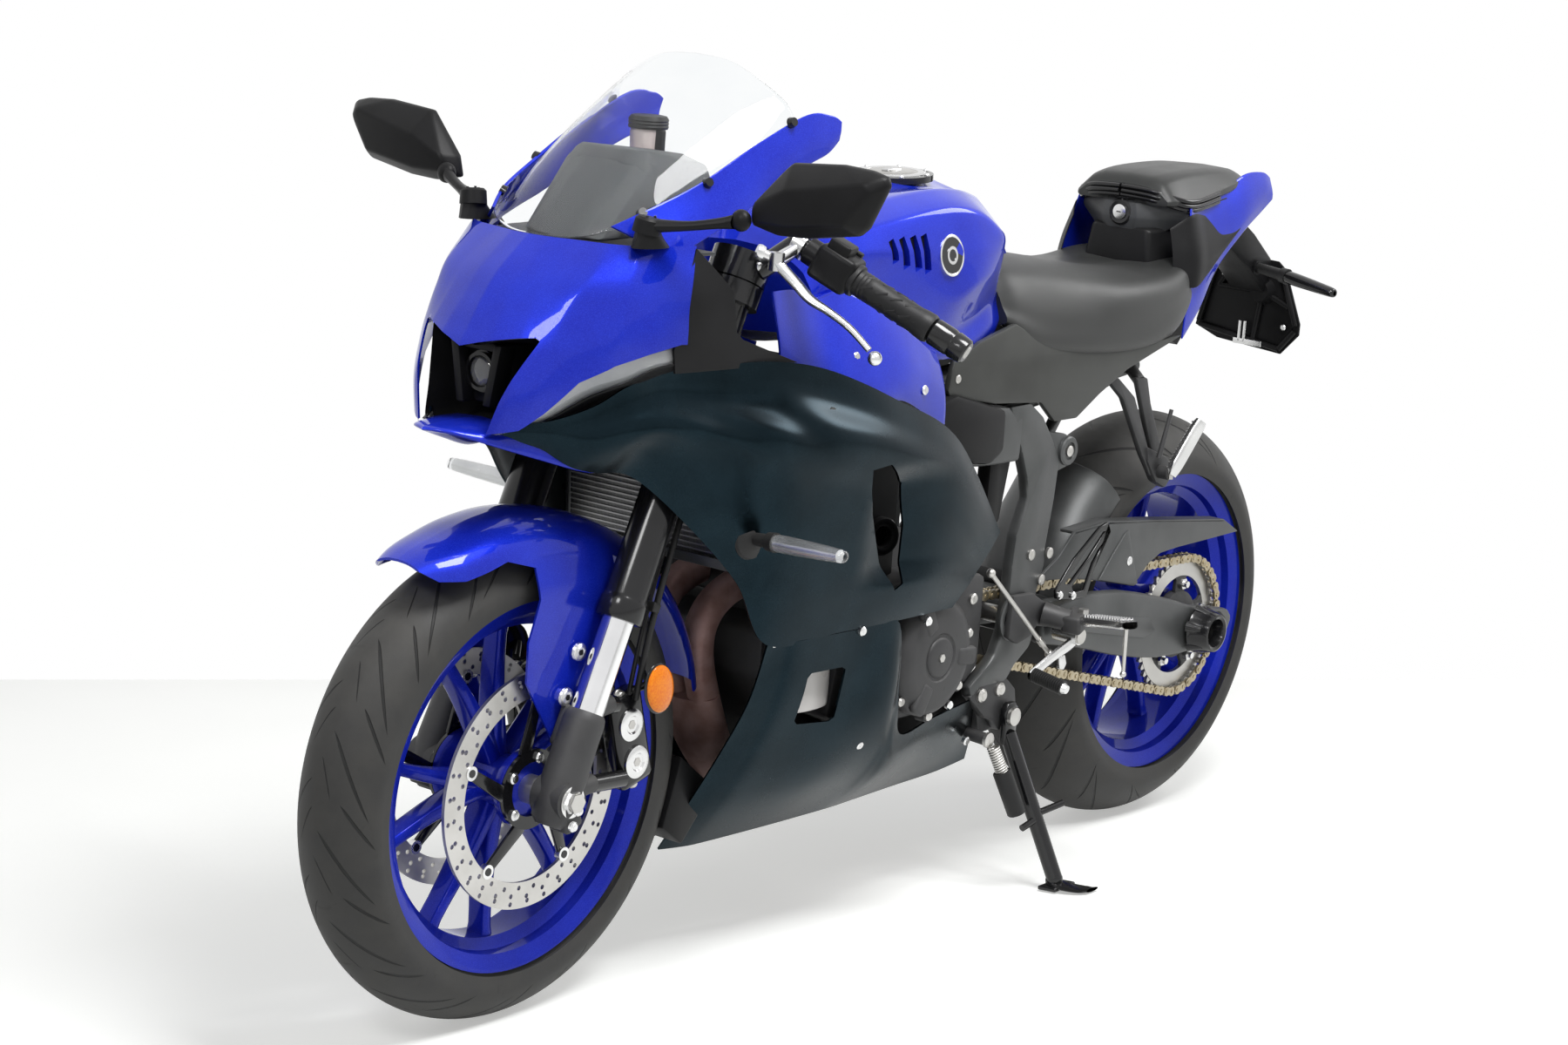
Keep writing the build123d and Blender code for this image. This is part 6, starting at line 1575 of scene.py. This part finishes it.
rings = [[(x + z0 * 0.34, y + w * squarish(cos(t), 0.6), z + h * squarish(sin(t), 0.6))
          for t in turnsOf(16)]
         for x, y, z, w, h, z0 in ((440, -188, 208, 30, 32, 0), (425, -190, 215, 39, 42, 0),
                 (320, -194, 252, 41, 49, 0), (222, -198, 288, 42, 54, 0), (210, -198, 292, 36, 46, 0))]
addSheet(form, rings, along=30, across=48, closed=True, tag=2)
addSpin(form, [(-8, 18), (-8, 24), (6, 25), (6, 18)], (208, -198, 293), steps=40, axis=(-1, 0, 0.36), tag=1)
addSpin(form, [(-30, 0), (-30, 30), (-2, 42), (0, 40), (-4, 18), (-20, 0)], (212, -198, 292), steps=40,
        axis=(-1, 0, 0.36), tag=3, closed=False)
makePiece("exhaustPipes", form, "chassis", "rustPipe", "steel", "matteBlack", "glossBlack", cad=["exhaust"],
          sharp=44)

form = bmesh.new()
addPlate(form, [(1080, 536), (1118, 544), (1128, 560), (1090, 552)], -150, 150, round=3, tag=1)
addPlate(form, [(1097, 672), (1128, 678), (1127, 692), (1095, 686)], -150, 150, round=3, tag=1)
addPlate(form, [(1088, 545), (1112, 550), (1122, 682), (1100, 680)], -146, 146, tag=2)
for i in range(18):   # flat tubes across, with folded fins between them
    z = 556 + i * 7
    x = 1120 + (z - 556) * 0.08
    addPlate(form, [(x - 3, z), (x + 1, z), (x + 1, z + 2), (x - 3, z + 2)], -146, 146)
for i in range(146):
    y = -145 + i * 2
    addPlate(form, [(1117, 552), (1119.5, 552), (1127, 680), (1124.5, 680)], y, y + 0.6)
for side in (1, -1):
    addPlate(form, [(1086, 540), (1120, 548), (1130, 686), (1096, 684)], side * 146, side * 156,
             round=3, tag=1)
    addRod(form, (1102, side * 150, 600), (1102, side * 176, 600), 6, tag=2)
makePiece("radiatorCore", form, "chassis", "finSilver", "castGrey", "matteBlack", cad=["radiator"],
          sharp=40)
print("engine made")

# rests, levers and stand


def addPeg(form, root, tip, wide, thick, tag):
    # a flat footpeg with rows of small points on its tread
    root, tip = Vector(root), Vector(tip)
    way = (tip - root).normalized()
    side = way.cross(Vector((0, 0, 1))).normalized()
    up = side.cross(way)
    length = (tip - root).length
    rings = []
    for share, w, t in ((0, 0.62, 1), (0.12, 0.9, 1), (0.3, 1, 1), (0.85, 1, 0.9), (1, 0.8, 0.7)):
        spot = root + way * (length * share)
        rings.append([spot + side * (wide / 2 * w * c) + up * (thick / 2 * t * s) for c, s in ((1, 0.6),
            (0.8, 1), (-0.8, 1), (-1, 0.6), (-1, -0.4), (-0.6, -1), (0.6, -1), (1, -0.4))])
    addSheet(form, rings, along=16, across=24, tag=tag, closed=True)
    for i in range(14):
        for k in range(4):
            spot = root + way * (length * (0.16 + i * 0.058)) + side * (wide
                * (-0.33 + 0.22 * k)) + up * (thick / 2)
            addRod(form, spot, spot + up * 3, 2.4, 1.2, sides=6, tag=tag)


form = bmesh.new()
addPlate(form, [(520, 438), (470, 436), (442, 420), (418, 414), (402, 404), (404, 388), (424, 380),
                (456, 386), (472, 372), (500, 366), (524, 378)], 139, 150, round=3)
addRod(form, (440, 148, 402), (424, 182, 396), 17, 15)
addBlock(form, (416, 188, 396), (44, 30, 26), turn=(0, 12, 12), round=5)
addRod(form, (410, 196, 404), (410, 196, 414), 8, sides=6, tag=2)
addPeg(form, (412, 198, 398), (462, 306, 420), 30, 14, 1)
addRod(form, (462, 300, 414), (462, 302, 352), 3.2, 2.6, tag=2)
addBall(form, (462, 302, 350), 4.5, tag=2)
heel = [(289, 502), (298, 519), (319, 514), (353, 492), (381, 474), (421, 434), (418, 421), (371, 415),
        (340, 413), (324, 454)]
makePiece("footrestPegs", form, "chassis", "castDark", "brightMetal", "steel", cad=["footrests"], pair=True,
          sharp=40)
form = bmesh.new()
addPlate(form, heel, 149, 154)
guards = makePiece("heelGuards", form, "chassis", "glossBlack", pair=True)
cutter = bmesh.new()
for slot in ([(304, 506), (316, 507), (350, 484), (400, 440), (388, 438), (344, 470)],
             [(300, 496), (340, 466), (380, 434), (374, 424), (348, 424), (330, 462)]):
    addPlate(cutter, slot, 140, 160)
    addPlate(cutter, slot, -160, -140)
carve(guards, cutter)
soften(guards, 1.2)
form = bmesh.new()
for x, z in ((412, 426), (378, 421)):
    addBolt(form, (x, 154, z), (0, 1, 0))
makePiece("heelBolts", form, "chassis", "brightMetal", pair=True)

form = bmesh.new()
addPlate(form, [(292, 722), (262, 722), (214, 690), (160, 604), (128, 566), (150, 566), (180, 600),
                (246, 690)], 116, 126, round=3)
addPlate(form, [(214, 718), (184, 716), (168, 676), (122, 598), (128, 570), (146, 590), (186, 664)], 116,
         126, round=3)
addPlate(form, [(170, 612), (110, 590), (96, 560), (112, 544), (140, 556), (168, 590)], 114, 130, round=4)
addRod(form, (280, 92, 730), (280, 120, 716), 9)
addRod(form, (196, 92, 736), (198, 120, 712), 9)
addRod(form, (134, 126, 572), (134, 148, 572), 10)
addRod(form, (134, 148, 564), (134, 148, 582), 6, sides=6, tag=2)
addRod(form, (156, 140, 596), (140, 144, 668), 4, 3)
rearPeg = bmesh.new()
addPeg(rearPeg, (0, 0, 0), (92, 0, 0), 26, 12, 1)
rearPeg.transform(facing((134, 150, 570), (-0.42, 0.22, 0.88)) @ Matrix.Rotation(radians(-90), 4,
    "Y") @ Matrix.Rotation(radians(90), 4, "X"))
addForm(form, rearPeg)
makePiece("passengerPegs", form, "chassis", "castDark", "brightMetal", "steel", cad=["passenger_rests"],
          pair=True, sharp=40)

form = bmesh.new()
addRod(form, (404, 150, 372), (404, 190, 372), 13)
addRod(form, (404, 188, 372), (404, 193, 372), 11, tag=3)
shiftArm = [(396, 182, 370, 9), (420, 182, 360, 9), (448, 182, 352, 8), (480, 183, 342, 7.5),
            (508, 184, 332, 8), (516, 185, 330, 6)]
addSheet(form, [[(x + a * cos(t) * 0.2, y + 4.5 * sin(t), z + a * cos(t)) for t in turnsOf(8)]
                for x, y, z, a in shiftArm], across=24, closed=True)
addPlate(form, [(430, 348), (424, 334), (430, 326), (440, 328), (444, 346)], 179, 185, round=1.5)
addRod(form, (508, 184, 331), (507, 238, 322), 6)
toeRubber = [(0, 6), (0, 10.5)] + [(2 + i * 3.6 + k, 10.5 if k < 1.5 else 9.2) for i in range(13)
    for k in (0, 1.2, 2, 3.2)]
addSpin(form, toeRubber + [(50, 11), (50, 6)], (508, 186, 331), steps=32,
        axis=(-0.02, 1, -0.17), tag=1)
addRod(form, (507, 236, 322.5), (507, 242, 321.5), 8, 6)
addRod(form, (452, 172, 350), (612, 170, 487), 3.4, tag=2)
for spot in ((452, 172, 350), (612, 170, 487)):
    addBall(form, spot, 6.5, tag=2)
addRod(form, (470, 172, 365.5), (482, 172, 376), 5, sides=6, tag=2)
makePiece("shiftLever", form, "chassis", "brightMetal", "gripRubber", "steel", "steel", cad=["shift_lever"],
          sharp=40)
form = bmesh.new()
pedalArm = [(436, -160, 372, 10), (470, -160, 362, 9), (520, -163, 348, 7), (570, -166, 338, 7),
            (596, -168, 335, 6)]
addSheet(form, [[(x + a * cos(t) * 0.3, y + 4.5 * sin(t), z + a * cos(t)) for t in turnsOf(8)]
                for x, y, z, a in pedalArm], across=24, closed=True)
addRod(form, (448, -148, 370), (448, -168, 370), 13)
addBlock(form, (592, -196, 338), (30, 56, 8), turn=(4, 0, 0), round=2)
for i in range(6):
    for k in range(3):
        addRod(form, (582 + k * 10, -174 - i * 9, 341), (582 + k * 10, -174 - i * 9, 345), 2.2,
               1.2, sides=6)
makePiece("brakePedal", form, "chassis", "brightMetal", cad=["brake_pedal"], sharp=40)

stand = {"low": (476, 231, 38), "slope": 5.3}
form = bmesh.new()
addPlate(form, [(516, 272), (508, 282), (492, 282), (484, 272), (486, 222), (512, 220)], 140, 151, round=3)
addRod(form, (500, 146, 236), stand["low"], 12, 11.5, sides=32)
addBall(form, stand["low"], 11.8)
addSheet(form, [[(x + w * cos(t), y, z + h * sin(t)) for t in turnsOf(8)] for x, y, z, w, h in
                ((476, 222, 36, 10, 10), (474, 236, 30.5, 16, 6), (468, 254, 29, 20, 3.6),
                 (460, 272, 29, 20, 3), (456, 282, 31, 15, 3))], across=24, closed=True)
addBlock(form, (468, 230, 26), (52, 30, 6), turn=(stand["slope"], 0, 0), round=2)
addRod(form, (483, 198, 128), (446, 214, 140), 5)
addRod(form, (486, 200, 122), (518, 196, 112), 5)
addSpin(form, [(0, 0), (0, 13), (6, 13), (8, 10), (8, 0)], (500, 151, 262), steps=32, closed=False, tag=1)
makePiece("sideStand", form, "side_stand", "glossBlack", "steel", cad=["side_stand"], sharp=40)
form = bmesh.new()
high, low = Vector((556, 158, 234)), Vector((520, 198, 112))
way = (low - high).normalized()
turned90 = way.cross(Vector((0, 1, 0))).normalized()
other = way.cross(turned90)
coil = [high + way * (6 + 3.6 * (i / 12)) + (turned90 * cos(2 * pi * i / 12) + other
    * sin(2 * pi * i / 12)) * 8 for i in range(12 * 11 + 1)]
addPipe(form, coil, 1.7, sides=6)
addSpin(form, [(44, 9), (44, 13), (46, 13.5), (108, 13.5), (110, 12), (110, 9)], high, steps=32,
        axis=way, tag=1)
makePiece("standSpring", form, "chassis", "steel", "gripRubber", sharp=40)
print("rests and stand made")

# lamps, plate holder and small parts


def addIndicator(form, root, neck, tip, wide, high):
    # a stalk, its base and a long lens round a core rod
    root, neck, tip = Vector(root), Vector(neck), Vector(tip)
    addRod(form, root, neck, 8, 9, tag=1)
    way = (tip - neck).normalized()
    up = Vector((0, 0, 1))
    side = way.cross(up).normalized()
    rings = []
    for share, w, h in ((0, 0.5, 0.6), (0.05, 0.9, 0.95), (0.3, 1, 1), (0.8, 0.86, 0.84), (0.97, 0.7, 0.7),
                        (1, 0.3, 0.4)):
        spot = neck.lerp(tip, share)
        rings.append([spot + side * (wide / 2 * w * cos(t)) + up * (high / 2 * h * sin(t))
                      for t in turnsOf(12)])
    addSheet(form, rings, across=36, closed=True)
    addRod(form, neck, neck.lerp(tip, 0.92), 8, 6, tag=2)
    addRod(form, neck - way * 6, neck + way * 6, 11.5, 12.5, sides=28, tag=1)


form = bmesh.new()
addSpin(form, [(0, 0), (0, 27), (4, 25), (8, 15), (10, 12), (10, 0)], (1150, 176, 602), steps=40,
        axis=(0.12, 1, 0.05), tag=1, closed=False)
addIndicator(form, (1150, 176, 602), (1152, 212, 604), (1160, 330, 609), 26, 22)
makePiece("frontIndicators", form, "chassis", "clearLens", "gripRubber", "brightMetal",
          cad=["front_indicators"], pair=True, sharp=40)
form = bmesh.new()
addIndicator(form, (-262, 34, 842), (-259, 84, 836), (-250, 180, 822), 26, 20)
makePiece("rearIndicators", form, "chassis", "glossBlack", "gripRubber", "brightMetal",
          cad=["rear_indicators"], pair=True, sharp=40)
form = bmesh.new()
plateShape = [(-79, 834), (-40, 853), (41, 850), (56, 838), (90, 756), (90, 738), (60, 704), (-58, 714),
              (-100, 730)]
addPlate(form, plateShape, -316, -312, place=inFrontView, round=1)
for start, stop in (((-70, 832), (-92, 738)), ((50, 838), (84, 752)), ((84, 744), (58, 712)),
                    ((58, 712), (-90, 732)), ((-30, 850), (20, 800)),
                    ((20, 800), (70, 780)), ((20, 800), (10, 720)), ((-60, 800), (20, 800)),
                    ((-30, 850), (-60, 800))):
    addRod(form, (-309, *start), (-309, *stop), 4.5, sides=10)
addRod(form, (-312, 20, 800), (-296, 20, 800), 22, 16, sides=32)
addPlate(form, [(-110, 925), (-180, 935), (-250, 896), (-312, 852), (-312, 800), (-290, 800), (-240, 838),
                (-170, 880)], -30, 30, round=5)
addRod(form, (-262, -34, 842), (-262, 34, 842), 12)
addBlock(form, (-318, -10, 806), (8, 60, 16), tag=1)
addBlock(form, (-303, 4, 716), (3, 52, 9), round=1, tag=2)
addBlock(form, (-303, -12, 732), (3, 5, 34), round=1, tag=2)
addBlock(form, (-303, -3, 732), (3, 5, 34), round=1, tag=2)
for y, z in ((-52, 820), (64, 748)):
    addBolt(form, (-308, y, z), (1, 0, 0), radius=5, height=3, tag=2)
makePiece("plateHolder", form, "chassis", "matteBlack", "redLens", "brightMetal", cad=["plate_holder"],
          sharp=40)

form = bmesh.new()
for at, way in (((1080, 168, 458), (0.15, 1, -0.1)), ((920, 186, 454), (0, 1, -0.1)), ((781, 190, 448),
        (0, 1, -0.1)), ((869, 158, 287), (0, 1, -0.35)), ((641, 138, 299), (0, 1, -0.2)),
                ((584, 132, 237), (0, 1, -0.2))):
    addBolt(form, at, way, radius=6.5, height=5)
makePiece("fairingBolts", form, "chassis", "brightMetal", pair=True, sharp=30)
form = bmesh.new()
addSpin(form, [(0, 14), (44, 14), (46, 17), (47, 20), (46, 24), (42, 26), (0, 26)], (806, 92, 554),
        steps=48, axis=(0.28, 1, 0.05))
addSpin(form, [(0, 0), (32, 0), (32, 14), (0, 14)], (806, 92, 554), steps=40, axis=(0.28, 1, 0.05), tag=1)
addPlate(form, [(880, 690), (770, 640), (742, 560), (760, 500), (860, 490), (900, 560)], 60, 92,
         round=8, tag=1)
makePiece("crashPlugs", form, "chassis", "matteBlack", "glossBlack", pair=True, sharp=40)
form = bmesh.new()
rings = [[(x + a * cos(t), 146 + 9 * sin(t), z) for t in turnsOf(12)]
         for x, z, a in ((972, 350, 36), (972, 356, 42), (972, 412, 42), (972, 420, 36), (972, 426, 20))]
addSheet(form, rings, along=20, across=30, closed=True)
closeEnds(form)
makePiece("coolantTank", form, "chassis", "milkyPlastic", sharp=50)
form = bmesh.new()
addPlate(form, [(1112, 290), (1040, 236), (1100, 170), (1141, 200)], -60, 60, round=4)
makePiece("bellyFront", form, "chassis", "matteBlack", sharp=40)

form = bmesh.new()
for along, thick, back in ((478, 26, 62), (636, 26, 62)):
    for side in (1, -1):
        leg = legPoint(along, side * 105)
        addSpin(form, [(0, 28.5), (0, 38), (thick, 38), (thick, 28.5)], leg, steps=40, axis=steerUp)
    spot = stem + steerUp * along
    addSpin(form, [(0, 17), (0, 34), (thick, 34), (thick, 17)], spot, steps=40, axis=steerUp)
    for side in (1, -1):
        middle = (legPoint(along + thick / 2, side * 74) + (stem + steerUp * (along + thick / 2))
                  + Vector((0, side * 30, 0))) / 2
        addBlock(form, middle, (52, 58, thick - 3), turn=(0, -bike["rake"], 0))
addSpin(form, [(664, 0), (664, 22), (672, 22), (676, 18), (676, 0)], stem, steps=36, axis=steerUp, tag=1,
        closed=False)
addRod(form, stem + steerUp * 430, stem + steerUp * 664, 16, sides=32, tag=1)
makePiece("forkYokes", form, "steering", "glossBlack", "brightMetal", cad=["fork_yokes"], sharp=40)
form = bmesh.new()
addSpin(form, [(0, 28.3), (0, 38), (36, 38), (36, 28.3)], legPoint(bars["clampAt"], 105), steps=40,
        axis=steerUp)
addRod(form, legPoint(bars["clampAt"] + 18, 134), bars["inner"], 14, 13)
addRod(form, bars["inner"] - barWay * 6, bars["outer"] - barWay * 4, bars["radius"], sides=32)
addBall(form, bars["inner"], 14)
addBolt(form, legPoint(682, 140) + Vector((6, 0, 6)), (0.4, 0.9, 0), height=5, tag=1)
makePiece("clipOnBars", form, "steering", "glossBlack", "brightMetal", cad=["handlebars"], pair=True,
          sharp=40)
form = bmesh.new()
addRod(form, (1395, -136, 300), (1395, 136, 300), 12.4, sides=32)
for side in (1, -1):
    addRod(form, (1395, side * 49, 300), (1395, side * 76, 300), 18, sides=32)
    addRod(form, (1395, side * 134, 300), (1395, side * 139, 300), 13, sides=6)
makePiece("frontAxle", form, "steering", "steel", cad=["front_axle"], sharp=40)
print("small parts made")

# stage
stage = {"reach": 5.92, "depth": 14, "width": 30, "floorTint": (0.74, 0.75, 0.735), "floorGlow": 0.42,
         "light": 0.22,
         "overhead": ((0.5, 1.4, 2.9), (0.1, 0, 0.5), 84, 1.0), "strip": ((3.3, 0.8, 2.8), (0.5, 0, 0.6),
             32, 0.8),
         "back": ((-2.2, 1.2, 2.2), (-0.3, 0, 0.7), 22, 0.9)}


def seenRays(tree):
    # 1 for the rays that show the backdrop: straight from the camera, in gloss and through glass
    path = node(tree, "LightPath")
    shown = sums(tree, "MAXIMUM", path.outputs["Is Camera Ray"], path.outputs["Is Glossy Ray"])
    return sums(tree, "MAXIMUM", shown, path.outputs["Is Transmission Ray"])


floorForm = bmesh.new()   # a plain floor whose far edge crosses the view, with white beyond it
bmesh.ops.create_grid(floorForm, x_segments=1, y_segments=1, size=0.5)
away = camera.rotation_euler.to_matrix() @ Vector((0, 0, -1))
heading = atan2(away.y, away.x)
bmesh.ops.scale(floorForm, vec=(stage["depth"], stage["width"], 1), verts=floorForm.verts)
bmesh.ops.translate(floorForm, vec=(stage["reach"] - stage["depth"] / 2, 0, 0), verts=floorForm.verts)
bmesh.ops.rotate(floorForm, cent=(0, 0, 0), matrix=Matrix.Rotation(heading, 3, "Z"), verts=floorForm.verts)
bmesh.ops.translate(floorForm, vec=(camera.location.x, camera.location.y, cadBounds[0][2] - 0.0005),
                    verts=floorForm.verts)
floorMesh = bpy.data.meshes.new("floor")
floorForm.to_mesh(floorMesh)
floorForm.free()
floor = bpy.data.objects.new("floor", floorMesh)
bpy.context.collection.objects.link(floor)
floorFinish = finishFor("studioFloor", stage["floorTint"],
                        tuple(0.97 * part for part in stage["floorTint"]), 0.5, 0.1, grain=60,
                        bump=0.02, mottle=1.3, dust=0.0, Specular_IOR_Level=0.25)
floorMesh.materials.append(floorFinish)
floorTree = floorFinish.node_tree
floorShader = floorTree.nodes["Principled BSDF"]
floorShader.inputs["Emission Color"].default_value = (1, 1, 0.985, 1)
floorTree.links.new(sums(floorTree, "MULTIPLY", seenRays(floorTree), stage["floorGlow"]),
                    floorShader.inputs["Emission Strength"])

world = bpy.data.worlds.new("studio")
bpy.context.scene.world = world
world.use_nodes = True
skyTree = world.node_tree
sky = skyTree.nodes["Background"]
sky.inputs["Color"].default_value = (1, 1, 1, 1)
skyTree.links.new(sums(skyTree, "MULTIPLY_ADD", seenRays(skyTree), 1 - stage["light"], stage["light"]),
                  sky.inputs["Strength"])


def addLamp(name, place, target, power, size):
    lamp = bpy.data.objects.new(name, bpy.data.lights.new(name, "AREA"))
    bpy.context.collection.objects.link(lamp)
    lamp.data.energy, lamp.data.size = power, size
    lamp.location = place
    lamp.rotation_euler = (Vector(target) - Vector(place)).to_track_quat("-Z", "Y").to_euler()


for name in ("overhead", "strip", "back"):
    addLamp(name, *stage[name])

bpy.context.scene.view_settings.view_transform = "Standard"
